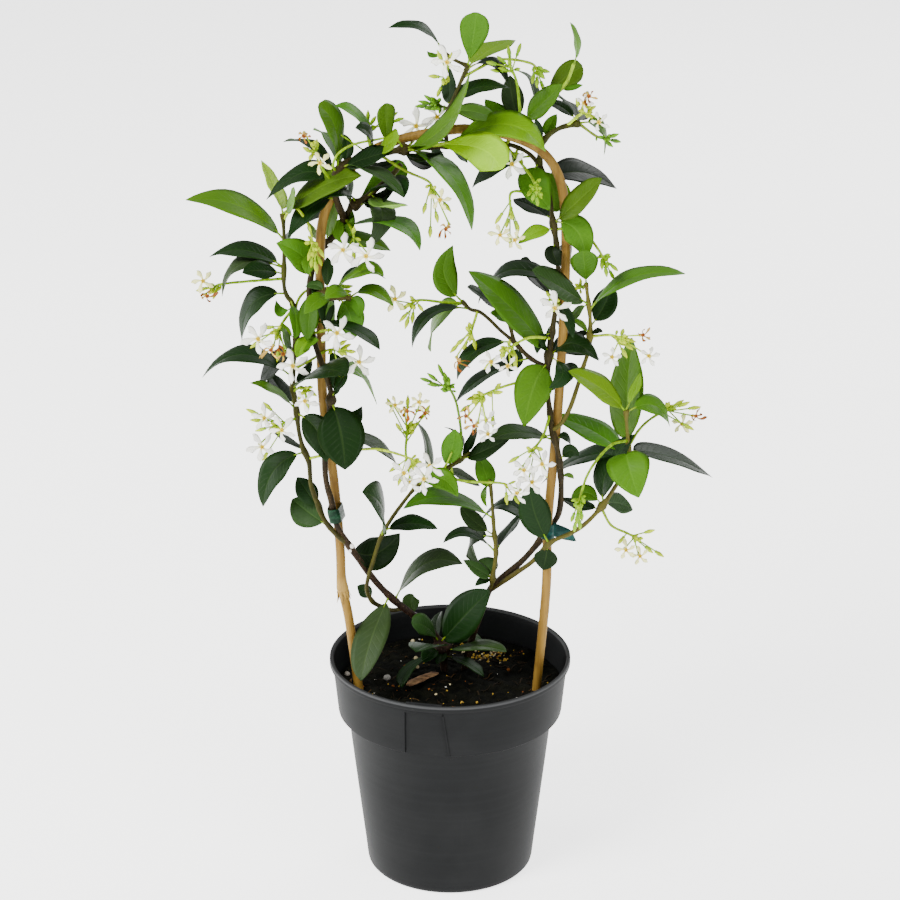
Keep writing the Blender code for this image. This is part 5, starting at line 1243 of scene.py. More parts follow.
# The looks of each spray in turn
LOOKS = tuple(Look(*row) for row in (
    (CREAMY, 0.62, 9), (GREENISH, 0.8, 8), (DEEP, 0.8, 18), (WHITISH, 0.92, 9), (WHITISH, 0.92, 4),
    (GREENISH, 0.8, 14), (GREENISH, 0.8, 9), (YELLOWISH, 0.52, 16), (DEEP, 0.8, 7), (WHITISH, 0.85, 2),
    (GREENISH, 0.8, 20), (CREAMY, 0.60, 8), (CREAMY, 0.58, 8), (WHITISH, 0.92, 3), (YELLOWISH, 0.8, 20),
    (GREENISH, 0.8, 20), (CREAMY, 0.60, 9), (WHITISH, 0.92, 12), (WHITISH, 0.98, 3), (WHITISH, 0.90, 12),
    (WHITISH, 0.66, 8), (WHITISH, 0.80, 9), (CREAMY, 0.72, 9), (CREAMY, 0.55, 14), (YELLOWISH, 0.78, 14),
    (YELLOWISH, 0.8, 8), (YELLOWISH, 0.58, 16), (DEEP, 0.8, 18), (YELLOWISH, 0.58, 14), (WHITISH, 0.78, 9),
    (WHITISH, 0.74, 6), (WHITISH, 0.92, 3), (CREAMY, 0.8, 6), (GREENISH, 0.8, 12), (YELLOWISH, 0.56, 14),
    (CREAMY, 0.58, 12), (GREENISH, 0.8, 16), (CREAMY, 0.56, 12), (CREAMY, 0.8, 4),
))
# More closed buds by the spray's number
EXTRA_BUDS = {
    2: ((398, 112),), 3: ((418, 101),), 6: ((545, 79),), 7: ((498, 68), (490, 70)), 15: ((325, 258),),
    16: ((346, 285),), 22: ((250, 420),), 23: ((399, 322),), 28: ((444, 372), (427, 373)), 29: ((501, 383),),
    37: ((576, 526),),
}


class Bloom:
    """An open or a spent flower: its place, its face and the drawn numbers that shape it."""

    first_guide: Point = np.array((0.2, 0.3, 0.93))
    petal_s: Point = np.array((0.0, 0.16, 0.36, 0.56, 0.74, 0.90, 1.0))
    petal_half: Point = np.array((0.075, 0.08, 0.11, 0.165, 0.210, 0.185, 0.06))
    petal_v: Point = np.array((-1.0, -0.5, 0.0, 0.5, 1.0))
    petal_thick: float = 0.26
    petal_sizes: tuple[float, float] = (0.90, 1.05)
    petal_turns: tuple[float, float] = (-0.13, 0.13)
    sweep: float = 0.38
    twists: tuple[float, float] = (0.30, 0.75)
    curls: tuple[float, float] = (-0.4, 0.8)
    bends: tuple[float, float] = (-1.4, 1.6)
    gains: tuple[float, float] = (0.86, 1.0)
    spent_widths: tuple[float, float] = (0.55, 0.85)
    spent_losses: tuple[float, float] = (0.05, 0.55)
    spent_curls: tuple[float, float] = (0.5, 2.2)
    spent_heaves: tuple[float, float] = (-2.6, 2.6)
    spent_skews: tuple[float, float] = (-0.7, 0.7)
    spent_gains: tuple[float, float] = (0.6, 1.25)
    tan_share: float = 0.35
    throat: float = 0.9
    tube_radii: Point = np.array((0.5, 0.5, 0.62, 1.25, 0.85, 1.05, 1.35))
    tube_sides: int = 7
    eye_rise: Point = np.array((-0.3, 0.55, 0.9, 0.35))
    eye_radii: Point = np.array((1.3, 1.5, 1.0, 0.35))
    # Painted light and shade: the eye's top ring is painted lighter and its dip into the throat darker.
    eye_light_and_shade: tuple[float, ...] = (1.0, 1.0, 1.15, 0.45)
    eye_sides: int = 10
    nearest: float = 60.0
    farthest: float = 20.0
    stand_off: float = 8.0

    def __init__(self, place: tuple[int, int], start: Point, tilt: Point,
                 shape: tuple[float, float, float]) -> None:
        """Holds what the rows and the draw say.

        Args:
            place: The pixel of its middle.
            start: Where its tube leaves the stalk.
            tilt: How far its face turns from the camera.
            shape: Its radius and droop in millimetres, and its spin.
        """
        self.place = place
        self.start = start
        self.tilt = tilt
        self.size, self.droop, self.spin = shape
        self.share = 1.0
        self.centre = start
        self.face = tilt

    def aim(self, depth: float) -> tuple[Point, Point]:
        """Gives the flower's middle and facing direction at a depth."""
        centre = VIEW.sight(*self.place, depth)
        return centre, unit(unit(VIEW.eye - centre) + self.tilt)

    def settle(self, probe: Probe, head_depth: float) -> bool:
        """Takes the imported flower's depth, or a place in front of the spray's head."""

        def apex(depth: float) -> Point:
            """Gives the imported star's front corner."""
            centre, face = self.aim(depth)
            return centre + face * (FLOWER.apex * MM)

        depth = probe.depth(apex, head_depth - self.nearest, head_depth + self.farthest)
        found = depth is not None
        self.centre, self.face = self.aim(depth if found else head_depth - self.stand_off)
        return found

    def grow(self, form: Form, mood: Mood, spent: bool, draw: np.random.Generator) -> None:
        """Adds the flower to a form."""
        first = unit(np.cross(self.face, self.first_guide))
        second = np.cross(self.face, first)
        for petal in range(FLOWER.petals):
            turn = self.spin + petal * math.tau / FLOWER.petals
            self.grow_petal(form, (first, second), turn, mood, spent, draw)
        self.grow_tube(form, mood, spent)

    def grow_petal(self, form: Form, axes: tuple[Point, Point], turn: float, mood: Mood, spent: bool,
                   draw: np.random.Generator) -> None:
        """Adds one petal: narrow at the throat, oblique at its end and turned like a propeller's blade."""
        s = self.petal_s[:, None]
        v = self.petal_v[None, :]
        size = self.size * self.share * draw.uniform(*self.petal_sizes)
        angle = turn + FLOWER.petal_turn + self.sweep * (s - 1) + draw.uniform(*self.petal_turns)
        narrow = draw.uniform(*self.spent_widths) if spent else 1.0
        half = self.petal_half[:, None] * size * narrow
        along = self.throat + (size - self.throat) * s - 0.13 * size * v * s**2 - 0.05 * size * (v**2) * s
        if spent:
            along = along * (1 - draw.uniform(*self.spent_losses) * s**2)
        twist = draw.uniform(*self.twists)
        curl = draw.uniform(*(self.spent_curls if spent else self.curls))
        bend = draw.uniform(*self.bends) * self.share
        height = 0.3 - self.droop * s**2 + twist * half * v * s - 0.16 * half * v**2 + curl * s**3 * v**2
        height = height + bend * s**2.5
        if spent:
            height = height + draw.uniform(*self.spent_heaves) * s**2
            angle = angle + draw.uniform(*self.spent_skews) * s
        radial = along * np.cos(angle) - half * v * np.sin(angle)
        sideways = along * np.sin(angle) + half * v * np.cos(angle)
        first, second = axes
        grid = (radial[..., None] * first + sideways[..., None] * second + height[..., None] * self.face) * MM
        top = self.centre + grid
        under = top[:, 3:0:-1] - self.face * (self.petal_thick * MM)
        outer = mood.petal
        if spent:
            outer = SPENT_TAN if draw.uniform() < self.tan_share else SPENT_BROWN
        inner = BUD_PALE if spent else PETAL_CREAM
        tone = blended(inner, outer, np.clip(s * 2.2, 0, 1) ** 0.8)
        tone[..., :3] *= draw.uniform(*(self.spent_gains if spent else self.gains))
        marks_v = np.concatenate([self.petal_v, self.petal_v[3:0:-1]]) * 0.5 + 0.5
        marks = stacked(s, marks_v, 1.0 if spent else 0.0, draw.uniform())
        rings = np.concatenate([top, under], axis=1)
        form.add_rings(rings, PETAL_SLOT, np.clip(tone, 0, 1), marks, flipped=True)

    def grow_tube(self, form: Form, mood: Mood, spent: bool) -> None:
        """Adds the flower's stalk, its calyx, its slim tube and the gold eye in its throat."""
        neck = self.centre - self.face * (FLOWER.tube * MM)
        line = np.array([self.start, self.start * 0.5 + neck * 0.5, neck - (neck - self.start) * 0.06, neck,
                         self.centre * 0.3 + neck * 0.7, self.centre * 0.75 + neck * 0.25, self.centre])
        pale = SPENT_TAN if spent else PETAL_CREAM
        tones = np.stack([colour(mood.stalk)] * 3 + [colour(mood.bud_base)] + [colour(pale)] * 3)
        marks = stacked(np.arange(len(line))[:, None] * MM, 0.0, 0.0, 0.3)
        form.add_rings(tube_rings(line, self.tube_radii, self.tube_sides), STEM_SLOT, tones[:, None], marks)
        self.grow_eye(form, SPENT_BROWN if spent else EYE_GOLD)

    def grow_eye(self, form: Form, gold: tuple[float, float, float]) -> None:
        """Adds the ring of lobes round the flower's throat, with painted light on its top and painted shade
        where it dips into the throat.
        """
        _, first, second = ring_axes(np.array([self.centre, self.centre + self.face * MM]))
        angles = spread(self.eye_sides)[:, None]
        spokes = first[0] * np.cos(angles) + second[0] * np.sin(angles)
        lobes = np.where(np.arange(self.eye_sides) % 2 == 0, 1.12, 0.84)[:, None]
        rings = np.stack([self.centre + self.face * (rise * MM) + spokes * (lobes * radius * MM)
                          for rise, radius in zip(self.eye_rise, self.eye_radii)])
        tones = np.stack([colour(gold, gain) for gain in self.eye_light_and_shade])[:, None]
        form.add_rings(rings, PETAL_SLOT, tones, np.array((0.0, 0.5, 0.6, 0.5)), caps=(False, True))


BUD_LONG = 9.0
BUD_PLUMP = 7.0
BUD_SIDES = 8
BUD_STALK_SIDES = 5
BUD_STALK_RADII = np.array((0.55, 0.48, 0.55))
BUD_SHARES = np.array((0.0, 0.10, 0.18, 0.30, 0.50, 0.68, 0.84, 0.95, 1.0))
BUD_RADII = np.array((0.5, 0.95, 0.75, 0.95, 1.10, 0.95, 0.60, 0.30, 0.08))


def grow_bud(form: Form, start: Point, tip: Point, mood: Mood, draw: np.random.Generator,
             fat: float = 1.3) -> None:
    """Adds a bud: its slim stalk and a spindle that ends in a twisted point.

    Args:
        form: The piece that grows.
        start: Where its stalk leaves the spray's.
        tip: Its point.
        mood: The spray's colours.
        draw: What its small differences are drawn from.
        fat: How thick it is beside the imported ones.
    """
    reach = tip - start
    length = float(np.linalg.norm(reach)) / MM
    bud = min(BUD_LONG, 0.7 * length)
    heading = unit(reach)
    base = tip - heading * (bud * MM)
    stalk = np.array([start, start * 0.5 + base * 0.5, base])
    plump = min(1.0, bud / BUD_PLUMP) * fat
    marks = stacked(np.arange(len(stalk))[:, None] * MM, 0.0, 0.0, 0.4)
    form.add_rings(tube_rings(stalk, BUD_STALK_RADII, BUD_STALK_SIDES), STEM_SLOT, colour(mood.stalk), marks)
    shares = BUD_SHARES[:, None]
    line = base + heading * (shares * bud * MM)
    angles = spread(BUD_SIDES)
    ripple = 0.10 * plump * np.sin(angles * 4 + shares * 5) * (shares > 0.2)
    base_tone = np.where(shares < 0.14, 0.0, shares)
    tone = blended(mood.bud_base, mood.bud_tip, np.clip(base_tone * 1.2, 0, 1)) * draw.uniform(0.85, 1.1)
    marks = stacked(shares, angles / math.tau, 0.3, draw.uniform())
    rings = tube_rings(line, BUD_RADII * plump, BUD_SIDES, ripple)
    form.add_rings(rings, PETAL_SLOT, np.clip(tone, 0, 1), marks)


class Head:
    """One flower spray: its stalk and its blooms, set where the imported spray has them."""

    back_step: float = 1.3
    pixel_reach: float = 2.4
    whole_plant: float = 9.0
    sides: int = 7
    bud_reach: float = 40.0
    crowd_fat: float = 1.9
    crowd_lengths: tuple[float, float] = (3.4, 7.6)
    crowd_spread: float = 0.62
    spins: tuple[float, float] = (0.0, 1.2)

    def __init__(self, number: int, spray: Spray, vine: Vine, probe: Probe) -> None:
        """Finds the stalk's line.

        Args:
            number: The spray's number.
            spray: Its row.
            vine: The stem that bears it.
            probe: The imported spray's corners.
        """
        self.number = number
        self.spray = spray
        self.probe = probe
        self.look = LOOKS[number - 1]
        root = vine.root_at(spray.path[0])
        vine.nodes.append(root)
        depth = root[1] / MM
        reach = self.head_reach(depth)
        steps = len(spray.path) - 1
        places = [VIEW.sight(*place, depth + reach * index / steps) for index, place in enumerate(spray.path)]
        places[0] = root
        self.line = smooth_line(places, self.back_step)
        self.depth = self.line[-1][1] / MM

    def head_reach(self, depth: float) -> float:
        """Gives the head's reach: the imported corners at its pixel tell, or else the row."""
        corners = np.array([entry for entry, _, _ in self.probe.tree.find_range(Vector(), self.whole_plant)])
        misses = np.linalg.norm(VIEW.pixels(corners) - np.array(self.spray.path[-1]), axis=1)
        near = corners[misses < self.pixel_reach][:, 1] / MM
        return float(np.median(near)) - depth if len(near) else self.spray.reach

    def grow(self, form: Form) -> int:
        """Adds the spray to a form and tells how many blooms kept their packed place."""
        spray, number, mood = self.spray, self.number, self.look.mood
        draw = random.Random(number)
        own = np.random.default_rng(number + 500)
        self.grow_stalk(form, colour(mood.stalk, own.uniform(0.8, 1.1)))
        backs = list(self.line[::-1][1:]) or [self.line[0]]
        starts = iter(backs + [backs[-1]] * 20)
        kept = 0
        for place, start in zip(spray.open, starts):
            tilt = np.array((draw.uniform(-0.5, 0.5), -0.4, draw.uniform(-0.45, 0.35)))
            shape = (FLOWER.radius * draw.uniform(0.9, 1.05), FLOWER.droop, draw.uniform(*self.spins))
            bloom = Bloom(place, start, tilt, shape)
            bloom.share = self.look.open_share
            kept += bloom.settle(self.probe, self.depth)
            bloom.grow(form, mood, False, own)
        for place, start in zip(spray.spent, starts):
            tilt = np.array((draw.uniform(-0.7, 0.7), -0.3, draw.uniform(-0.8, 0.2)))
            bloom = Bloom(place, start, tilt, (FLOWER.spent, FLOWER.curl, draw.uniform(*self.spins)))
            kept += bloom.settle(self.probe, self.depth)
            bloom.grow(form, mood, True, own)
        for place, start in zip((*spray.buds, *EXTRA_BUDS.get(number, ())), starts):
            depth = self.probe.depth(lambda at: VIEW.sight(*place, at), self.depth - self.bud_reach,
                                     self.depth + self.bud_reach)
            kept += depth is not None
            grow_bud(form, start, VIEW.sight(*place, self.depth if depth is None else depth), mood, own)
        self.grow_crowd(form, own)
        return kept

    def grow_stalk(self, form: Form, tone: Point) -> None:
        """Adds the spray's stalk, thinner towards its head."""
        count, sides = len(self.line), self.sides
        radii = np.linspace(FLOWER.stalk * 1.05, FLOWER.stalk * 0.85, count)
        ripple = 0.06 * np.sin(np.arange(count)[:, None] * 0.8 + np.arange(sides) * 2.0)
        marks = stacked(np.arange(count)[:, None] * MM, np.arange(sides) / sides, 0.0, 0.2)
        form.add_rings(tube_rings(self.line, radii, sides, ripple), STEM_SLOT, tone, marks)

    def grow_crowd(self, form: Form, draw: np.random.Generator) -> None:
        """Adds the head's small buds and bracts, which stand out all round the end of its stalk."""
        heading = unit(self.line[-1] - self.line[-min(4, len(self.line))])
        last = min(len(self.line), 6)
        for _ in range(self.look.crowd):
            start = self.line[-int(draw.integers(1, last + 1))]
            aim = unit(heading * 0.75 + draw.normal(0, self.crowd_spread, 3))
            length = draw.uniform(*self.crowd_lengths)
            grow_bud(form, start, start + aim * (length * MM), self.look.mood, draw, self.crowd_fat)


def revolved(profile: Sequence[tuple[float, float]], columns: int) -> Point:
    """Turns a profile about the vertical axis.

    Args:
        profile: Radius and height in millimetres, from the axis inside round to the axis outside.
        columns: How many points a ring has.

    Returns:
        The rings' points.
    """
    rows = np.array(profile) * MM
    angles = spread(columns)
    radius, height = rows[:, :1], rows[:, 1:]
    return np.stack(np.broadcast_arrays(radius * np.cos(angles), radius * np.sin(angles), height), axis=-1)


def joined(body: bpy.types.Object, tool: bpy.types.Object, operation: str) -> None:
    """Cuts a tool out of a body, or adds it, and removes the tool."""
    change = body.modifiers.new("join", "BOOLEAN")
    change.object = tool
    change.operation = operation
    change.solver = "EXACT"
    bpy.context.view_layer.update()
    seen = body.evaluated_get(bpy.context.evaluated_depsgraph_get())
    mesh = bpy.data.meshes.new_from_object(seen)
    body.modifiers.clear()
    old = body.data
    body.data = mesh
    bpy.data.meshes.remove(old)
    bpy.data.objects.remove(tool)


def block(size: Sequence[float], turn: Sequence[float], place: Sequence[float]) -> bpy.types.Object:
    """Makes a box of a size and place in millimetres, turned by angles about X, Y and Z."""
    mesh = bpy.data.meshes.new("block")
    form = bmesh.new()
    bmesh.ops.create_cube(form, size=1.0)
    for vertex in form.verts:
        vertex.co = Vector([axis * side * MM for axis, side in zip(vertex.co, size)])
    form.to_mesh(mesh)
    form.free()
    body = linked("block", mesh)
    body.rotation_euler = tuple(turn)
    body.location = Vector([side * MM for side in place])
    return body


@dataclass(frozen=True)
class PotMaker:
    """The nursery pot: a tapered wall, a deep collar with a rolled rim, and a label's recess.

    The two profiles are radius and height in millimetres; the other sizes are in millimetres too.
    """

    inside: tuple[tuple[float, float], ...] = (
        (0.0, 2.4), (52.0, 2.4), (55.6, 2.5), (57.0, 3.2), (57.7, 5.2), (60.2, 28.0), (64.4, 64.0),
        (70.1, 113.0), (70.6, 117.4), (71.5, 119.1), (76.2, 121.0), (77.3, 121.7), (77.6, 123.0),
        (78.5, 131.0), (80.3, 147.0), (81.0, 153.8), (82.2, 158.9), (82.8, 159.8),
    )
    outside: tuple[tuple[float, float], ...] = (
        (83.5, 160.0), (84.2, 159.9), (84.9, 159.4), (85.0, 158.6), (85.0, 156.2), (84.7, 155.5),
        (83.4, 155.2), (82.7, 154.5), (82.55, 153.0), (81.3, 141.0), (80.2, 130.0), (79.3, 120.9),
        (79.1, 119.9), (78.5, 119.4), (74.6, 118.2), (72.8, 117.3), (72.2, 115.6), (68.2, 80.0),
        (63.6, 40.0), (61.0, 18.0), (59.5, 4.2), (59.0, 2.0), (57.9, 0.7), (56.4, 0.05), (55.6, 0.0),
        (0.0, 0.0),
    )
    collar_foot: tuple[float, float] = (79.3, 120.9)
    collar_top: tuple[float, float] = (82.55, 153.0)
    arc_columns: int = 10
    cutter_deep: float = 8.0
    drain_columns: int = 20
    drain_deep: float = 10.0
    tab_ring: float = 82.8
    tab_tall: float = 8.0
    merge: float = 0.01
    crease_degrees: float = 34.0

    def make(self, finish: bpy.types.Material) -> bpy.types.Object:
        """Makes the pot."""
        form = Form()
        form.add_rings(revolved((*self.inside, *self.outside), POT.sides), caps=(False, False), flipped=True)
        body = form.finished("nursery_pot", [finish], ["pot"])
        turned_outward(body.data, self.merge * MM)
        for tool in self.cutters():
            joined(body, tool, "DIFFERENCE")
        joined(body, self.tab(), "UNION")
        edge = (POT.label_right_foot, POT.label_right_top)
        lip = (edge[0] + POT.lip_wide, edge[1] + POT.lip_wide)
        joined(body, self.sector(edge, lip, POT.panel_deep, POT.lip_proud), "UNION")
        body.data.set_sharp_from_angle(angle=math.radians(self.crease_degrees))
        return body

    def cutters(self) -> list[bpy.types.Object]:
        """Makes the tools for the label's slot and its shallow panel, and for the drains."""
        slot_right = POT.label_left + POT.slot_wide
        lefts = (POT.label_left, POT.label_left)
        rights = (POT.label_right_foot, POT.label_right_top)
        tools = [self.sector(lefts, rights, POT.panel_deep, self.cutter_deep),
                 self.sector(lefts, (slot_right, slot_right), POT.slot_deep, self.cutter_deep)]
        for index in range(POT.drains):
            angle = math.tau * (index + 0.5) / POT.drains
            mesh = bpy.data.meshes.new("drain")
            form = bmesh.new()
            radius = POT.drain_radius * MM
            bmesh.ops.create_cone(form, cap_ends=True, segments=self.drain_columns, radius1=radius,
                                  radius2=radius, depth=self.drain_deep * MM)
            form.to_mesh(mesh)
            form.free()
            drain = linked("drain", mesh)
            drain.location = Vector((math.cos(angle), math.sin(angle), 0.0)) * (POT.drain_ring * MM)
            tools.append(drain)
        return tools

    def sector(self, lefts: tuple[float, float], rights: tuple[float, float], deep: float,
               proud: float) -> bpy.types.Object:
        """Makes a curved tool that follows the collar's face.

        Args:
            lefts: Where it begins at its foot and at its top, in millimetres from the middle.
            rights: Where it ends at its foot and at its top.
            deep: How deep it bites into the collar.
            proud: How far it stands out of the collar.

        Returns:
            The tool.
        """
        (low_radius, low), (high_radius, high) = self.collar_foot, self.collar_top
        rows = []
        for height, left, right in zip((POT.label_foot, POT.label_top), lefts, rights):
            radius = low_radius + (high_radius - low_radius) * (height - low) / (high - low)
            angles = np.linspace(math.asin(left / radius), math.asin(right / radius), self.arc_columns)
            for reach, turns in ((radius - deep, angles), (radius + proud, angles[::-1])):
                x, y = reach * np.sin(turns), -reach * np.cos(turns)
                rows.append(np.stack((x, y, np.full_like(x, height)), axis=1))
        mesh = bpy.data.meshes.new("sector")
        points = np.concatenate(rows) * MM
        mesh.from_pydata(points.tolist(), [], wall_faces(2, 2 * self.arc_columns))
        turned_outward(mesh)
        return linked("sector", mesh)

    def tab(self) -> bpy.types.Object:
        """Makes the thin tab that stands a little over the rim above the label."""
        turn = math.asin((POT.label_left + POT.label_right_top) / 2 / POT.rim)
        middle = POT.tab_top - self.tab_tall / 2
        place = (self.tab_ring * math.sin(turn), -self.tab_ring * math.cos(turn), middle)
        return block((POT.tab_wide, POT.tab_thick, self.tab_tall), (0.0, 0.0, turn), place)


class SoilMaker:
    """The compost: a rough top of clods over a plain plug that fills the pot. Sizes are in millimetres."""

    top: float = 137.5
    mound: float = 4.0
    edge: float = 78.85
    relief: float = 0.8
    side: tuple[tuple[float, float], ...] = (
        (78.0, 130.0), (77.05, 122.0), (70.35, 119.2), (63.4, 60.0), (56.6, 2.85), (0.0, 2.85),
    )
    rings: int = 88
    columns: int = 200
    clods: int = 620
    clod_sizes: tuple[float, float] = (2.0, 6.5)
    clod_shares: tuple[float, float] = (0.55, 1.0)
    clod_height: float = 0.38
    fine: float = 0.22
    calm: float = 3.0

    def __init__(self) -> None:
        """Scatters the clods."""
        draw = np.random.default_rng(77)
        reach = self.edge * np.sqrt(draw.uniform(0, 1, self.clods))
        angle = draw.uniform(0, math.tau, self.clods)
        self.spots = np.stack((reach * np.cos(angle), reach * np.sin(angle)), axis=1)
        self.sizes = draw.uniform(*self.clod_sizes, self.clods)
        self.stretch = draw.uniform(*self.clod_shares, self.clods)
        self.turns = draw.uniform(0, math.pi, self.clods)

    def height(self, x: Point, y: Point) -> Point:
        """Gives the top's height in millimetres at places in millimetres.

        The packed soil's low mound and crossed waves carry clods: half ellipsoids of scattered size and turn.
        """
        reach = np.hypot(x, y)
        base = self.top + self.mound * (1 - reach / self.edge)
        wave = np.sin(0.120 * x + 1.0) * np.cos(0.105 * y + 2.0) + 0.6 * np.sin(0.290 * x - 0.170 * y)
        away_x = x[..., None] - self.spots[:, 0]
        away_y = y[..., None] - self.spots[:, 1]
        turned_x = away_x * np.cos(self.turns) + away_y * np.sin(self.turns)
        turned_y = (away_y * np.cos(self.turns) - away_x * np.sin(self.turns)) / self.stretch
        share = 1 - (turned_x**2 + turned_y**2) / self.sizes**2
        lumps = np.max(np.sqrt(np.clip(share, 0, 1)) * self.sizes * self.clod_height, axis=-1)
        fine = np.sin(x * 1.9 + 2 * np.sin(y * 1.3)) * np.sin(y * 2.3 + np.sin(x * 1.7)) * self.fine
        rim = np.clip((self.edge - reach) / self.calm, 0.0, 1.0)
        return base + (wave * self.relief + lumps - 0.6) * (0.35 + 0.65 * rim) + fine

    def make(self, finish: bpy.types.Material) -> bpy.types.Object:
        """Makes the soil."""
        form = Form()
        angles = spread(self.columns)
        reach = (np.linspace(0.001, 1.0, self.rings) ** 0.8)[:, None] * self.edge
        x, y = reach * np.cos(angles), reach * np.sin(angles)
        top = np.stack((x, y, self.height(x, y)), axis=-1) * MM
        rings = np.concatenate([top, revolved(self.side, self.columns)])
        form.add_rings(rings, caps=(False, True), flipped=True)
        return form.finished("compost", [finish], ["soil"])


class Grain(NamedTuple):
    """One loose grain on the soil by its pixel, its size in millimetres and its colour."""

    place: tuple[int, int]
    size: float
    tone: tuple[float, float, float]


GOLD_GRAIN = (0.430, 0.270, 0.040)
PALE_GRAIN = (0.560, 0.480, 0.280)
RUST_GRAIN = (0.220, 0.070, 0.014)
STONE_GRAIN = (0.380, 0.350, 0.310)
WHITE_GRAIN = (0.680, 0.660, 0.610)
DARK_FIBRE = (0.014, 0.009, 0.004)
TAN_FIBRE = (0.085, 0.045, 0.014)
GRAINS = tuple(Grain((px, py), size, tone) for px, py, size, tone in (
    (462, 644, 1.3, GOLD_GRAIN), (470, 650, 1.5, GOLD_GRAIN), (478, 646, 1.2, GOLD_GRAIN),
    (487, 655, 1.6, GOLD_GRAIN), (495, 649, 1.3, PALE_GRAIN), (505, 660, 1.4, GOLD_GRAIN),
    (480, 659, 1.1, PALE_GRAIN), (466, 658, 1.2, GOLD_GRAIN), (498, 641, 1.1, GOLD_GRAIN),
    (416, 658, 1.8, PALE_GRAIN), (413, 641, 1.7, PALE_GRAIN), (417, 670, 1.6, PALE_GRAIN),
    (405, 667, 1.3, RUST_GRAIN), (393, 687, 1.2, RUST_GRAIN), (508, 670, 1.3, RUST_GRAIN),
    (477, 702, 1.2, GOLD_GRAIN), (462, 703, 1.1, GOLD_GRAIN), (347, 673, 2.3, STONE_GRAIN),
    (436, 694, 1.0, PALE_GRAIN), (523, 690, 1.1, RUST_GRAIN), (450, 686, 0.9, PALE_GRAIN),
))


class CrumbMaker:
    """The loose things on the soil: grains of feed, white grit, and bark fibres. Sizes are in millimetres."""

    grit: int = 70
    fibres: int = 190
    feed: int = 85
    feed_middle: tuple[float, float] = (485.0, 653.0)
    feed_spread: tuple[float, float] = (13.0, 4.0)
    feed_rise: float = 3.0
    feed_sizes: tuple[float, float] = (0.4, 0.95)
    feed_gold: float = 0.6
    grit_sizes: tuple[float, float] = (0.35, 0.8)
    grit_white: float = 0.2
    grit_rust: float = 0.5
    border: float = 8.0
    dent: float = 0.16
    squash: tuple[float, float] = (0.75, 1.15)
    sunk: float = 0.35
    grain_gains: tuple[float, float] = (0.8, 1.15)
    fibre_lengths: tuple[float, float] = (3.0, 11.0)
    fibre_lifts: tuple[float, float] = (0.1, 0.9)
    fibre_widths: tuple[float, float] = (0.5, 1.3)
    fibre_gains: tuple[float, float] = (0.6, 1.5)
    fibre_jitter: float = 0.25
    fibre_dark: float = 0.9
    fibre_sides: int = 5
    fibre_radii: Point = np.array((0.18, 0.42, 0.5, 0.4, 0.15))

    def __init__(self, soil: SoilMaker) -> None:
        """Holds the soil that they lie on."""
        self.soil = soil
        self.draw = np.random.default_rng(5)
        self.ball, self.ball_faces = ball_shape(2)

    def rest(self, x: float, y: float) -> float:
        """Gives the soil's height in metres at a place in metres."""
        return float(self.soil.height(np.array([x / MM]), np.array([y / MM]))[0]) * MM

    def grain(self, form: Form, x: float, y: float, size: float, tone: Sequence[float]) -> None:
        """Lays one grain, a dented ball, half a radius deep in the soil."""
        draw = self.draw
        dents = 1 + self.dent * np.sin(self.ball @ draw.uniform(-4, 4, (3, 3))).sum(axis=1, keepdims=True) / 2
        shape = self.ball * dents * (draw.uniform(*self.squash, 3) * size * MM)
        place = np.array((x, y, self.rest(x, y) + size * self.sunk * MM))
        form.add(shape + place, self.ball_faces, 0, colour(tone, draw.uniform(*self.grain_gains)))

    def fibre(self, form: Form, x: float, y: float) -> None:
        """Lays one crooked splinter of bark."""
        draw = self.draw
        angle = draw.uniform(0, math.tau)
        length = draw.uniform(*self.fibre_lengths)
        heading = np.array((math.cos(angle), math.sin(angle), 0.0))
        shares = np.linspace(-0.5, 0.5, 5)
        line = np.array((x, y, 0.0)) + heading * (shares[:, None] * length * MM)
        line[:, :2] += draw.normal(0, self.fibre_jitter, (5, 2)) * MM
        line[:, 2] = [self.rest(*spot[:2]) + draw.uniform(*self.fibre_lifts) * MM for spot in line]
        radii = self.fibre_radii * draw.uniform(*self.fibre_widths)
        bark = DARK_FIBRE if draw.uniform() < self.fibre_dark else TAN_FIBRE
        tone = colour(bark, draw.uniform(*self.fibre_gains))
        form.add_rings(tube_rings(line, radii, self.fibre_sides), tone=tone)

    def make(self, finish: bpy.types.Material) -> bpy.types.Object:
        """Makes all the crumbs as one piece."""
        form = Form()
        for place, size, tone in GRAINS:
            spot = VIEW.ground(*place, self.soil.top + self.feed_rise)
            self.grain(form, spot[0], spot[1], size, tone)
        for _ in range(self.feed):
            place = self.draw.normal(self.feed_middle, self.feed_spread)
            spot = VIEW.ground(*place, self.soil.top + self.feed_rise)
            tone = GOLD_GRAIN if self.draw.uniform() < self.feed_gold else PALE_GRAIN
            self.grain(form, spot[0], spot[1], self.draw.uniform(*self.feed_sizes), tone)
        for index in range(self.grit + self.fibres):
            reach = (self.soil.edge - self.border) * math.sqrt(self.draw.uniform()) * MM
            angle = self.draw.uniform(0, math.tau)
            x, y = reach * math.cos(angle), reach * math.sin(angle)
            if index < self.grit:
                kind = self.draw.uniform()
                tone = RUST_GRAIN if kind < self.grit_rust else GOLD_GRAIN
                tone = WHITE_GRAIN if kind < self.grit_white else tone
                self.grain(form, x, y, self.draw.uniform(*self.grit_sizes), tone)
            else:
                self.fibre(form, x, y)
        return form.finished("soil_crumbs", [finish], [])


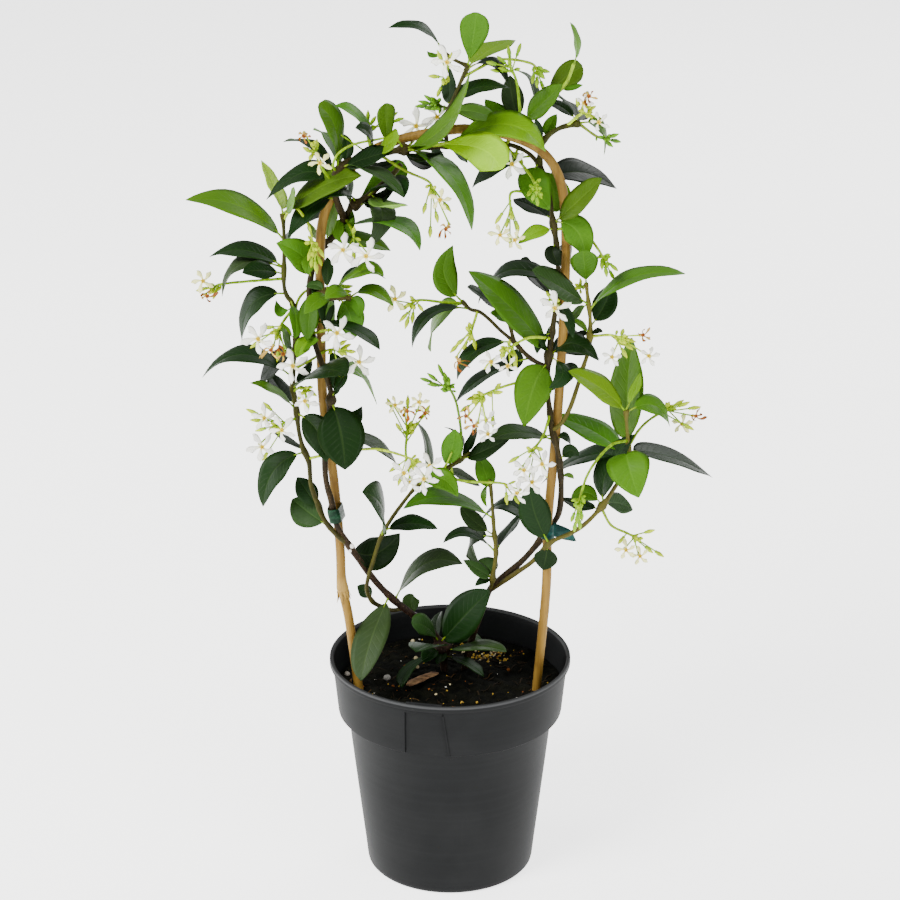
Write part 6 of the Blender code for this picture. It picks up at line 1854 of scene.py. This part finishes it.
@dataclass(frozen=True)
class CaneMaker:
    """The bent cane with its rings, its knot and its two legs in the soil. Sizes are in millimetres."""

    radius: float = 3.2
    foot: float = 60.0
    step: float = 2.5
    sides: int = 16
    ring_gap: float = 96.0
    ring_count: int = 12
    ring_rise: float = 0.16
    ring_dip: float = 0.12
    ring_length: float = 1.6
    swell: float = 0.25
    swell_length: float = 6.0
    knot_length: float = 9.0
    sheath_strips: int = 9
    sheath_half: tuple[float, ...] = (1.1, 1.15, 0.95, 0.6, 0.15)
    sheath_thick: float = 0.12
    sheath_turns: tuple[float, float] = (-0.2, 0.2)
    sheath_lengths: tuple[float, float] = (4.0, 9.5)
    sheath_flares: tuple[float, float] = (0.3, 1.6)

    def line(self) -> Point:
        """Gives the cane's middle line from foot to foot."""
        places = [VIEW.sight(*place) for place in HOOP]
        for end, inner in ((0, 1), (-1, -2)):
            slope = places[end] - places[inner]
            root = places[end] + slope * ((self.foot * MM - places[end][2]) / slope[2])
            places = [root, *places] if end == 0 else [*places, root]
        return smooth_line(places, self.step)

    def make(self, finish: bpy.types.Material) -> bpy.types.Object:
        """Makes the cane."""
        line = self.line()
        along = np.concatenate([[0.0], np.cumsum(np.linalg.norm(np.diff(line, axis=0), axis=1))]) / MM
        knot = along[int(np.argmin(np.linalg.norm(VIEW.pixels(line) - np.array(KNOT_PIXEL), axis=1)))]
        radii = self.radius * (1 + self.swell * np.exp(-(((along - knot) / self.swell_length) ** 2)))
        radii = radii * (1 + 0.02 * np.sin(along * 0.05))
        rings = (knot % self.ring_gap) + self.ring_gap * np.arange(self.ring_count)
        for place in rings:
            radii = radii + self.ring_rise * np.exp(-(((along - place) / self.ring_length) ** 2))
            radii = radii - self.ring_dip * np.exp(-(((along - place - 3.0) / self.ring_length) ** 2))
        angles = spread(self.sides)
        ripple = 0.05 * np.sin(3 * angles + along[:, None] * 0.02)
        worn = np.exp(-(((along - knot) / self.knot_length) ** 2))
        marks = stacked(along[:, None] * MM, angles / math.tau, worn[:, None], 0.5)
        form = Form()
        form.add_rings(tube_rings(line, radii, self.sides, ripple), marks=marks)
        self.add_sheath(form, line, along, knot)
        return form.finished("cane", [finish], ["cane_hoop"])

    def add_sheath(self, form: Form, line: Point, along: Point, knot: float) -> None:
        """Adds the papery sheath that frays below the knot."""
        draw = np.random.default_rng(9)
        start = int(np.argmin(np.abs(along - (knot - 2.0))))
        heading, first, second = ring_axes(line)
        for strip in range(self.sheath_strips):
            angle = strip * math.tau / self.sheath_strips + draw.uniform(*self.sheath_turns)
            out = first[start] * math.cos(angle) + second[start] * math.sin(angle)
            beside = np.cross(heading[start], out)
            length = draw.uniform(*self.sheath_lengths)
            shares = np.linspace(0, 1, len(self.sheath_half))
            reach = self.radius * 1.2 + 0.25 + shares**2 * draw.uniform(*self.sheath_flares)
            spine = line[start] + out * (reach[:, None] * MM)
            spine = spine - heading[start] * (shares[:, None] * length * MM)
            wide = beside * (np.array(self.sheath_half)[:, None] * MM)
            thick = out * (self.sheath_thick * MM)
            rings = np.stack([spine + wide + thick, spine + wide - thick, spine - wide - thick,
                              spine - wide + thick], axis=1)
            form.add_rings(rings, marks=stacked(shares[:, None] * 0.01, 0.0, 1.0, draw.uniform()))


@dataclass(frozen=True)
class RibbonMaker:
    """The plastic ribbons that tie the plant to the cane.

    Sizes are in millimetres, and a place is a pixel and its depth behind the pot's middle.
    """

    wall: float = 0.7
    turns: int = 72
    heights: tuple[float, ...] = (-0.5, -0.44, -0.2, 0.05, 0.3, 0.46, 0.5)
    depth_axis: tuple[float, float, float] = (0.0, 1.0, 0.0)
    tail_shares: tuple[float, ...] = (-0.12, 0.0, 0.6, 1.0, 1.14)
    tail_half: tuple[float, ...] = (4.6, 5.2, 4.9, 4.0, 2.6)
    tail_wall: float = 0.44
    left_wide: float = 10.0
    right_wide: float = 11.0
    left_leg: tuple[tuple[float, float, float], ...] = ((332, 499, -15.5), (338, 527, -16.5))
    left_rounds: tuple[tuple, ...] = (((337.4, 513, -11.4), 4.2), ((334, 513, -20.5), 3.5))
    right_leg: tuple[tuple[float, float, float], ...] = ((548, 520, -13), (547, 560, -14.5))
    right_rounds: tuple[tuple, ...] = (((547.8, 531, -13.3), 3.75),)
    tail_start: tuple[float, float, float] = (552.8, 529, -11.5)
    tail_stop: tuple[float, float, float] = (572, 536, -9.0)

    def belt(self, form: Form, sections: Sequence[tuple], leg: Sequence[tuple], height: float) -> None:
        """Adds a ribbon drawn round some round sections.

        Args:
            form: The piece that grows.
            sections: The sections' middles, by pixel and depth, and their radii in millimetres.
            leg: Two places by pixel and depth, between which the ribbon's width runs.
            height: The ribbon's width in millimetres.
        """
        rounds = [(VIEW.sight(*place), radius) for place, radius in sections]
        axis = unit(VIEW.sight(*leg[0]) - VIEW.sight(*leg[1]))
        middle = sum(centre for centre, _ in rounds) / len(rounds)
        flat = [centre - axis * ((centre - middle) @ axis) for centre, _ in rounds]
        first = unit(np.cross(axis, self.depth_axis))
        second = np.cross(axis, first)
        angles = spread(self.turns)
        out = first * np.cos(angles)[:, None] + second * np.sin(angles)[:, None]
        support = [out @ (centre - middle) / MM + radius for centre, (_, radius) in zip(flat, rounds)]
        best = np.argmax(support, axis=0)
        base = np.array(flat)[best]
        radii = np.array([radius for _, radius in rounds])[best]
        outer, inner = [], []
        for share in self.heights:
            crease = 0.22 * np.sin(angles * 3 + share * 7) + 0.14 * np.sin(angles * 7 - share * 11)
            edge = 0.25 * (abs(share) > 0.45)
            slope = 0.35 * np.sin(angles + 0.6)
            rise = axis * ((share * height + slope) * MM)[:, None]
            outer.append(base + out * ((radii + self.wall + crease * 0.5 + 0.1 - edge) * MM)[:, None] + rise)
            inner.append(base + out * ((radii + 0.15) * MM)[:, None] + rise)
        rows = len(outer) + len(inner)
        points = np.concatenate([*outer, *inner[::-1]])
        faces = wall_faces(rows, self.turns, False, False)
        last = (rows - 1) * self.turns
        for index in range(self.turns):
            following = (index + 1) % self.turns
            faces.append((last + index, last + following, following, index))
        marks = stacked(angles / math.tau, np.linspace(0, 1, rows)[:, None], 0.0, 0.0)
        form.add(points, faces, marks=marks.reshape(-1, 4))

    def tail(self, form: Form, start: Point, stop: Point) -> None:
        """Adds a ribbon's free end, with a curl and a cut tip."""
        heading = unit(stop - start)
        thick = unit(np.cross(heading, UP))
        shares = np.linspace(self.tail_shares[0], self.tail_shares[-1], 11)
        half = np.interp(shares, self.tail_shares, self.tail_half)
        bow = 0.5 * np.sin(shares * 5.0)
        rows = []
        for share, wide, bend in zip(shares, half, bow):
            spot = start + (stop - start) * share + thick * (bend * MM)
            cut = heading * (0.9 * max(0.0, share - 0.8) * 5 * MM)
            rise = UP * (wide * MM)
            skin = thick * (self.tail_wall / 2 * MM)
            fold = thick * (0.45 * math.sin(share * 4) * MM)
            rows.append([spot + rise - cut + skin, spot + fold + skin, spot - rise + cut + skin,
                         spot - rise + cut - skin, spot + fold - skin, spot + rise - cut - skin])
        marks = stacked(shares[:, None], (0.0, 0.5, 1.0, 1.0, 0.5, 0.0), 1.0, 0.0)
        form.add_rings(np.array(rows), marks=marks)

    def make_left(self, finish: bpy.types.Material) -> bpy.types.Object:
        """Makes the ribbon on the left leg, round the cane and the stem."""
        form = Form()
        self.belt(form, self.left_rounds, self.left_leg, self.left_wide)
        return form.finished("ribbon_left", [finish], ["tie_left"])

    def make_right(self, finish: bpy.types.Material) -> bpy.types.Object:
        """Makes the ribbon on the right leg, with its tail."""
        form = Form()
        self.belt(form, self.right_rounds, self.right_leg, self.right_wide)
        self.tail(form, VIEW.sight(*self.tail_start), VIEW.sight(*self.tail_stop))
        return form.finished("ribbon_right", [finish], ["tie_right"])


@dataclass(frozen=True)
class LitterMaker:
    """The chip of bark and the pebble on the soil, and the drops of sap. Sizes are in millimetres."""

    chip_start: tuple[int, int] = (408, 687)
    chip_stop: tuple[int, int] = (439, 674)
    chip_height: float = 140.5
    chip_rows: int = 15
    chip_sides: int = 14
    chip_shares: tuple[float, ...] = (0.0, 0.12, 0.5, 0.85, 0.97, 0.99)
    chip_half: tuple[float, ...] = (1.9, 3.1, 2.9, 2.5, 1.1, 0.3)
    chip_thick: tuple[float, ...] = (1.4, 2.4, 2.7, 2.0, 0.5)
    pebble_dents: tuple[tuple, ...] = ((0.05, (2.0, 3.1, -1.7), 1.0), (0.04, (-5.0, 2.0, 4.0), 0.0))
    pebble_share: float = 0.97
    drops: tuple[tuple, ...] = (((352, 546, -21.5), 1.5), ((350, 551, -21.0), 1.1))
    drop_shape: tuple[float, float, float] = (1.0, 0.8, 1.25)

    def make_chip(self, finish: bpy.types.Material) -> bpy.types.Object:
        """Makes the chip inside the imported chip's box, split along its grain."""
        low, high = (np.array(corner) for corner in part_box("bark_chip"))
        draw = np.random.default_rng(12)
        start = VIEW.ground(*self.chip_start, self.chip_height)
        stop = VIEW.ground(*self.chip_stop, self.chip_height)
        sides = self.chip_sides
        ends = self.chip_shares
        shares = np.linspace(0.0, ends[-1], self.chip_rows)
        half = np.interp(shares, ends, self.chip_half)
        thick = np.interp(shares, (*ends[:4], ends[-1]), self.chip_thick)
        heading = unit(stop - start)
        across = unit(np.cross(heading, UP))
        angles = spread(sides)
        rows = []
        for share, wide, tall in zip(shares, half, thick):
            spot = start + (stop - start) * share
            spot[2] = low[2] + tall / 2 * MM
            grain = 1 + 0.10 * np.sin(angles * 5 + 1) + draw.normal(0, 0.03, sides)
            side = np.sign(np.cos(angles)) * np.abs(np.cos(angles)) ** 0.6 * wide * grain
            rise = np.sign(np.sin(angles)) * np.abs(np.sin(angles)) ** 0.6 * tall / 2 * grain
            rows.append(spot + across * side[:, None] * MM + UP * rise[:, None] * MM)
        rings = np.array(rows)
        rings[..., 2] = np.clip(rings[..., 2], low[2], high[2] + 0.3 * MM)
        form = Form()
        form.add_rings(rings, marks=stacked(shares[:, None], 0.0, 0.0, 0.0))
        return form.finished("chip_of_bark", [finish], ["bark_chip"])

    def make_pebble(self, finish: bpy.types.Material) -> bpy.types.Object:
        """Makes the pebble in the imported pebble's place."""
        low, high = (np.array(corner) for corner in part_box("pebble"))
        points, faces = ball_shape(3)
        waves = [deep * np.sin(points @ np.array(way) + phase) for deep, way, phase in self.pebble_dents]
        dents = 1 + sum(waves)
        points = points * dents[:, None] * (high - low) / 2 * self.pebble_share + (high + low) / 2
        form = Form()
        form.add(points, faces)
        return form.finished("grey_pebble", [finish], ["pebble"])

    def make_drops(self, finish: bpy.types.Material) -> bpy.types.Object:
        """Makes the dried sap drops below the left ribbon."""
        form = Form()
        points, faces = ball_shape(2)
        for place, size in self.drops:
            shape = points * (np.array(self.drop_shape) * size * MM)
            form.add(shape + VIEW.sight(*place), faces, 0, colour(WHITE_GRAIN, 1.3))
        return form.finished("sap_drops", [finish], [])


class Finishes:
    """The materials, each made once."""

    def __init__(self) -> None:
        """Makes every material."""
        self.leaf = self.make_leaf()
        self.stem = self.make_stem()
        self.petal = self.make_petal()
        self.pot = self.make_pot()
        self.soil = self.make_soil()
        self.crumb = self.make_crumb()
        self.cane = self.make_cane()
        self.ribbon_left = self.make_ribbon("ribbon_dark_green", (0.002, 0.014, 0.006), (0.009, 0.048, 0.020))
        self.ribbon_right = self.make_ribbon("ribbon_teal", (0.003, 0.028, 0.024), (0.010, 0.075, 0.062))
        self.bark = self.make_bark()
        self.stone = self.make_stone()

    def make_leaf(self) -> bpy.types.Material:
        """Makes the waxy leaf: a pale midrib, slanting side veins, a lighter and duller underside."""
        shop = Shop("jasmine_leaf")
        u, v, under, odd = shop.marks()
        away = (v - 0.5).abs() * 2.0
        clouds = shop.noise(90.0, 4.0)
        patches = shop.noise(320.0, 3.0)
        tone = shop.tone()
        base = shop.mix((clouds - 0.35) * 0.9, tone, shop.tinted(tone, (1.45, 1.35, 0.9)))
        base = shop.mix(patches.ramp(0.55, 0.8) * 0.35, base, shop.tinted(base, (0.6, 0.7, 0.6)))
        vein_wave = ((u * 11.0 - away * 2.4 + odd) * math.tau).wave()
        vein = vein_wave.ramp(0.72, 1.0) * (1.0 - away) * away.ramp(0.02, 0.2)
        midrib = (1.0 - away.ramp(0.02, 0.075)) * (1.0 - u * 0.55)
        paler = shop.tinted(base, (1.7, 1.6, 1.6))
        lifted = shop.mix(0.5, paler, shop.mix(1.0, base, (0.030, 0.045, 0.012), "ADD"))
        base = shop.mix(vein * 0.17, base, lifted)
        base = shop.mix(midrib * 0.62, base, lifted)
        edge = away.ramp(0.90, 1.0)
        base = shop.mix(edge * 0.3, base, lifted)
        below = shop.mix(0.16, shop.tinted(base, (1.8, 1.7, 1.2)), (0.07, 0.15, 0.02))
        base = shop.mix(under * 0.55, base, below)
        height = vein * -0.5 - midrib * 0.6 + clouds * 0.25
        rough = 0.34 + patches * 0.16 + under * 0.14 + midrib * 0.08
        return shop.dress(base, rough, shop.relief(height, 0.0006, 0.55), 0.08)

    def make_stem(self) -> bpy.types.Material:
        """Makes the stem: green shoots to brown bark with pale dots and fine cracks along it."""
        shop = Shop("jasmine_stem")
        along, around, woody, odd = shop.marks()
        tone = shop.tone()
        streaks = shop.noise(420.0, 4.0, shop.place((1.0, 1.0, 0.25)))
        dots = shop.cells(520.0)
        speck = (1.0 - dots.ramp(0.10, 0.32)) * woody
        base = shop.mix(streaks.ramp(0.35, 0.7), shop.tinted(tone, (0.62, 0.62, 0.62)),
                        shop.tinted(tone, (1.35, 1.3, 1.2)))
        base = shop.mix(speck * 0.3, base, (0.20, 0.13, 0.07))
        # Painted light: one side of each green shoot, round its ring, is painted lighter and yellower as if
        # sunlit.
        painted_sunlit_side = ((around * math.tau).wave() * 0.5 + 0.5) * (1.0 - woody)
        base = shop.mix(painted_sunlit_side * 0.18, base, (0.42, 0.36, 0.06))
        joints = ((along * 900.0 + odd * 6.0).wave()).ramp(0.8, 1.0)
        base = shop.mix(joints * 0.12, base, (0.05, 0.03, 0.015))
        height = streaks * 0.7 + speck * 0.8
        return shop.dress(base, 0.46 + streaks * 0.22, shop.relief(height, 0.0005, 0.6), 0.10)

    def make_petal(self) -> bpy.types.Material:
        """Makes the petals and buds: soft, faintly streaked, with a bruise here and there."""
        shop = Shop("jasmine_petal")
        s, v, spent, odd = shop.marks()
        tone = shop.tone()
        clouds = shop.noise(500.0, 3.0)
        stripes = ((v * 34.0 + odd * 6.0).wave() * 0.5 + 0.5) * 0.10
        base = shop.mix(stripes + clouds.ramp(0.5, 0.9) * 0.18, tone, shop.tinted(tone, (0.80, 0.76, 0.62)))
        bruise = clouds.ramp(0.62, 0.75) * s.ramp(0.6, 1.0) * 0.35
        base = shop.mix(bruise, base, (0.55, 0.34, 0.12))
        base = shop.mix(spent * clouds.ramp(0.4, 0.7) * 0.35, base, (0.16, 0.06, 0.02))
        height = stripes * 4.0 + clouds * 0.5
        return shop.dress(base, 0.52 + clouds * 0.2, shop.relief(height, 0.0003, 0.5), 0.15)

    def make_pot(self) -> bpy.types.Material:
        """Makes the charcoal plastic: fine grain, turning marks, a few scuffs and a painted highlight round the
        rim.
        """
        shop = Shop("charcoal_plastic")
        grain = shop.noise(1500.0, 2.0)
        clouds = shop.noise(26.0, 5.0)
        rings = shop.noise(18.0, 3.0, shop.place((0.4, 0.4, 26.0)))
        scuffs = shop.noise(60.0, 6.0, shop.place((1.0, 1.0, 0.18))).ramp(0.66, 0.78)
        base = shop.mix(clouds.ramp(0.35, 0.75), (0.0056, 0.0060, 0.0063), (0.0086, 0.0090, 0.0093))
        base = shop.mix(rings.ramp(0.45, 0.7) * 0.12, base, (0.014, 0.015, 0.016))
        base = shop.mix(scuffs * 0.08, base, (0.05, 0.05, 0.05))
        base = shop.mix(grain.ramp(0.55, 0.8) * 0.10, base, (0.025, 0.025, 0.025))
        level = shop.height()
        # Painted highlight: a thin lighter band round the rim's rounded top stands in for light caught on that
        # edge.
        rim = level.ramp(0.1578, 0.1586) * (1.0 - level.ramp(0.1596, 0.1602))
        base = shop.mix(rim * 0.7, base, (0.060, 0.061, 0.063))
        rough = 0.48 + clouds * 0.08 + scuffs * 0.08 + grain * 0.04
        height = grain * 0.4 + rings * 0.15
        return shop.dress(base, rough, shop.relief(height, 0.0002, 0.5), 0.07)

    def make_soil(self) -> bpy.types.Material:
        """Makes the compost: near black with brown fibres and a few pale grains."""
        shop = Shop("dark_compost")
        clouds = shop.noise(160.0, 6.0)
        fine = shop.noise(900.0, 4.0)
        grains = shop.cells(420.0)
        base = shop.mix(clouds.ramp(0.35, 0.7), (0.0012, 0.0015, 0.0009), (0.0050, 0.0052, 0.0028))
        base = shop.mix(fine.ramp(0.6, 0.75) * 0.5, base, (0.018, 0.016, 0.007))
        pale = (1.0 - grains.ramp(0.05, 0.11)) * fine.ramp(0.5, 0.62)
        base = shop.mix(pale * 0.5, base, (0.20, 0.16, 0.07))
        height = clouds * 1.2 + fine * 0.8
        return shop.dress(base, 0.82 + fine * 0.15, shop.relief(height, 0.0016, 0.9), 0.06)

    def make_crumb(self) -> bpy.types.Material:
        """Makes the loose grains and splinters, each in the colour that it carries."""
        shop = Shop("loose_grain")
        tone = shop.tone()
        fine = shop.noise(1400.0, 4.0)
        base = shop.mix(fine.ramp(0.3, 0.8) * 0.6, tone, shop.tinted(tone, (0.5, 0.45, 0.4)))
        return shop.dress(base, 0.6 + fine * 0.25, shop.relief(fine, 0.0005, 0.7), 0.10)

    def make_cane(self) -> bpy.types.Material:
        """Makes the cane: tan with long fibres, dark stains, and a paler frayed sheath at the knot."""
        shop = Shop("split_cane")
        along, around, knot, odd = shop.marks()
        fibre = ((around * 90.0 + odd).wave() * 0.5 + 0.5)
        streak = shop.noise(300.0, 5.0, shop.place((1.0, 1.0, 0.06)))
        stain = shop.noise(42.0, 5.0)
        base = shop.mix(streak.ramp(0.3, 0.75), (0.155, 0.084, 0.013), (0.250, 0.146, 0.026))
        base = shop.mix(stain.ramp(0.52, 0.74) * 0.7, base, (0.11, 0.050, 0.008))
        base = shop.mix(fibre.ramp(0.75, 1.0) * 0.16, base, (0.20, 0.11, 0.02))
        base = shop.mix(knot.ramp(0.2, 0.9) * 0.45, base, (0.40, 0.26, 0.07))
        flecks = (1.0 - shop.cells(380.0).ramp(0.05, 0.13)) * 0.7
        base = shop.mix(flecks, base, (0.10, 0.05, 0.02))
        height = streak * 0.7 + fibre * 0.25 + (along * 2200.0).wave() * 0.05
        rough = 0.38 + streak * 0.2 + stain * 0.1
        return shop.dress(base, rough, shop.relief(height, 0.0004, 0.6), 0.15)

    def make_ribbon(self, name: str, dark: tuple[float, float, float],
                    light: tuple[float, float, float]) -> bpy.types.Material:
        """Makes a glossy plastic ribbon, stretched lighter along its creases.

        Args:
            name: The material's name.
            dark: Its colour in the folds.
            light: Its colour where it is stretched.

        Returns:
            The material.
        """
        shop = Shop(name)
        around, across, _, odd = shop.marks()
        crease = shop.noise(130.0, 4.0, shop.place((1.0, 1.0, 2.2)))
        lines = ((across * 70.0).wave() * 0.5 + 0.5) * 0.3
        base = shop.mix(crease.ramp(0.35, 0.7) * 0.8 + lines * 0.3, dark, light)
        height = crease + lines * 0.3 + (around * 60.0 + odd).wave() * 0.08
        return shop.dress(base, 0.30 + crease * 0.18, shop.relief(height, 0.0008, 0.8), 0.10)

    def make_bark(self) -> bpy.types.Material:
        """Makes the chip: tan wood split along its grain with dark patches."""
        shop = Shop("split_bark")
        grain = shop.noise(500.0, 5.0, shop.place((0.25, 1.0, 1.0)))
        cloud = shop.noise(180.0, 4.0)
        base = shop.mix(grain.ramp(0.3, 0.7), (0.13, 0.06, 0.025), (0.42, 0.24, 0.11))
        base = shop.mix(cloud.ramp(0.55, 0.75) * 0.6, base, (0.06, 0.03, 0.015))
        return shop.dress(base, 0.7 + grain * 0.2, shop.relief(grain, 0.0008, 0.9))

    def make_stone(self) -> bpy.types.Material:
        """Makes the pebble: grey with darker and paler grains."""
        shop = Shop("grey_stone")
        fine = shop.noise(1100.0, 4.0)
        grains = shop.cells(700.0)
        base = shop.mix(fine.ramp(0.35, 0.7), (0.12, 0.115, 0.105), (0.26, 0.25, 0.23))
        base = shop.mix((1.0 - grains.ramp(0.08, 0.2)) * 0.6, base, (0.05, 0.05, 0.05))
        return shop.dress(base, 0.6 + fine * 0.2, shop.relief(fine, 0.0005, 0.6))


@dataclass(frozen=True)
class Studio:
    """The pale floor, the soft light and the photograph's camera. Sizes are in metres."""

    floor_side: float = 16.0
    floor_glow: float = 2.5
    white: tuple[float, float, float] = (0.93, 0.93, 0.925)
    world_strength: float = 0.5
    aim: tuple[float, float, float] = (0.0, 0.0, 0.32)
    clip_start: float = 0.05

    def make(self) -> None:
        """Makes the studio."""
        self.make_floor()
        self.make_world()
        self.make_light("key", (-1.5, -1.5, 2.3), 1.3, 125.0, (1.0, 0.99, 0.97))
        self.make_light("fill", (1.9, -1.9, 1.2), 1.6, 38.0, (0.98, 0.99, 1.0))
        self.make_light("left", (-2.2, 0.5, 0.9), 1.2, 40.0, (1.0, 1.0, 1.0))
        self.make_light("behind", (1.3, 2.1, 1.7), 1.4, 32.0, (1.0, 1.0, 1.0))
        self.make_camera()

    def make_floor(self) -> None:
        """Makes the floor."""
        mesh = bpy.data.meshes.new("floor")
        half = self.floor_side / 2
        square = [(-half, -half, 0), (half, -half, 0), (half, half, 0), (-half, half, 0)]
        mesh.from_pydata(square, [], [(0, 1, 2, 3)])
        shop = Shop("pale_floor")
        mottle = shop.noise(3.0, 2.0)
        base = shop.mix(mottle, (0.86, 0.86, 0.855), (0.90, 0.90, 0.895))
        glow = (1.0, 1.0, 1.0)
        mesh.materials.append(shop.filled(Base_Color=base, Roughness=0.9, Specular_IOR_Level=0.1,
                                          Emission_Color=glow, Emission_Strength=self.floor_glow))
        linked("floor", mesh)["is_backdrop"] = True

    def make_world(self) -> None:
        """Makes the even white surround."""
        world = bpy.data.worlds.new("surround")
        world.use_nodes = True
        ground = world.node_tree.nodes["Background"]
        ground.inputs["Color"].default_value = (*self.white, 1.0)
        ground.inputs["Strength"].default_value = self.world_strength
        bpy.context.scene.world = world

    def make_light(self, name: str, place: tuple[float, float, float], size: float, power: float,
                   tint: tuple[float, float, float]) -> None:
        """Makes a soft area light that looks at the plant's middle."""
        light = bpy.data.lights.new(name, "AREA")
        light.shape = "DISK"
        light.size = size
        light.energy = power
        light.color = tint
        body = linked(name, light)
        body.location = place
        body.rotation_euler = (Vector(self.aim) - Vector(place)).to_track_quat("-Z", "Y").to_euler()

    def make_camera(self) -> None:
        """Makes the photograph's camera."""
        lens = bpy.data.cameras.new("camera")
        lens.sensor_width = VIEW.sensor_mm
        lens.lens = VIEW.focal_px * VIEW.sensor_mm / (2 * VIEW.centre_px)
        lens.clip_start = self.clip_start
        body = linked("camera", lens)
        body.location = VIEW.eye
        body.rotation_euler = (math.pi / 2 - VIEW.pitch, 0.0, 0.0)
        bpy.context.scene.camera = body


class Planter:
    """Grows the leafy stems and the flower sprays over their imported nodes."""

    tendril_step: float = 2.0
    tendril_sides: int = 8

    def __init__(self, nodes: dict[str, bpy.types.Object], finishes: Finishes) -> None:
        """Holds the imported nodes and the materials."""
        self.nodes = nodes
        self.finishes = finishes
        self.vines = {name: Vine(name, row) for name, row in STEMS.items()}

    def make(self) -> None:
        """Grows everything: sprays before stems, because the stems swell where stalks leave them."""
        for number, spray in enumerate(SPRAYS, 1):
            name = f"flower_spray_{number:02d}"
            form = Form()
            head = Head(number, spray, self.vines[spray.stem], Probe(self.nodes[name]))
            kept = head.grow(form)
            blooms = len(spray.open) + len(spray.spent) + len(spray.buds)
            LOG.info("%s: %d of %d blooms keep their packed place", name, kept, blooms)
            form.finished(f"spray_{number:02d}", [self.finishes.petal, self.finishes.stem], [name])
        for seed, (name, vine) in enumerate(self.vines.items()):
            form = Form()
            probe = Probe(self.nodes[name])
            leaves = enumerate(LEAVES[name], 1000 * seed)
            blades = [Blade(leaf, vine, probe, number) for number, leaf in leaves]
            kept = sum(blade.found for blade in blades)
            LOG.info("%s: %d of %d leaves keep their packed place", name, kept, len(blades))
            for blade in blades:
                blade.grow(form)
            vine.grow(form)
            self.grow_tendrils(form, name)
            form.finished(f"{name}_leafy", [self.finishes.leaf, self.finishes.stem], [name])

    def grow_tendrils(self, form: Form, name: str) -> None:
        """Adds a stem's thin bare shoots to its form, each a tube that tapers along its path."""
        for stem, radius, places in TENDRILS:
            if stem != name:
                continue
            line = smooth_line([VIEW.sight(*place) for place in places], self.tendril_step)
            count, sides = len(line), self.tendril_sides
            radii = np.linspace(radius, 0.7 * radius, count)
            marks = stacked(np.linspace(0, 1, count)[:, None], np.arange(sides) / sides, 0.0, 0.5)
            form.add_rings(tube_rings(line, radii, sides), STEM_SLOT, colour(SHOOT_GREEN), marks)


def corners() -> list[list[float]]:
    """Gives the whole object's box as plain numbers."""
    return [[float(value) for value in corner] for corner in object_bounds()]


def main() -> None:
    """Builds the scene."""
    logging.basicConfig(level=logging.INFO, format="%(message)s")
    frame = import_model()
    finishes = Finishes()
    Studio().make()
    PotMaker().make(finishes.pot)
    soil = SoilMaker()
    soil.make(finishes.soil)
    CrumbMaker(soil).make(finishes.crumb)
    CaneMaker().make(finishes.cane)
    ribbons = RibbonMaker()
    ribbons.make_left(finishes.ribbon_left)
    ribbons.make_right(finishes.ribbon_right)
    litter = LitterMaker()
    litter.make_chip(finishes.bark)
    litter.make_pebble(finishes.stone)
    litter.make_drops(finishes.crumb)
    Planter(frame["nodes"], finishes).make()


if __name__ == "__main__":
    main()
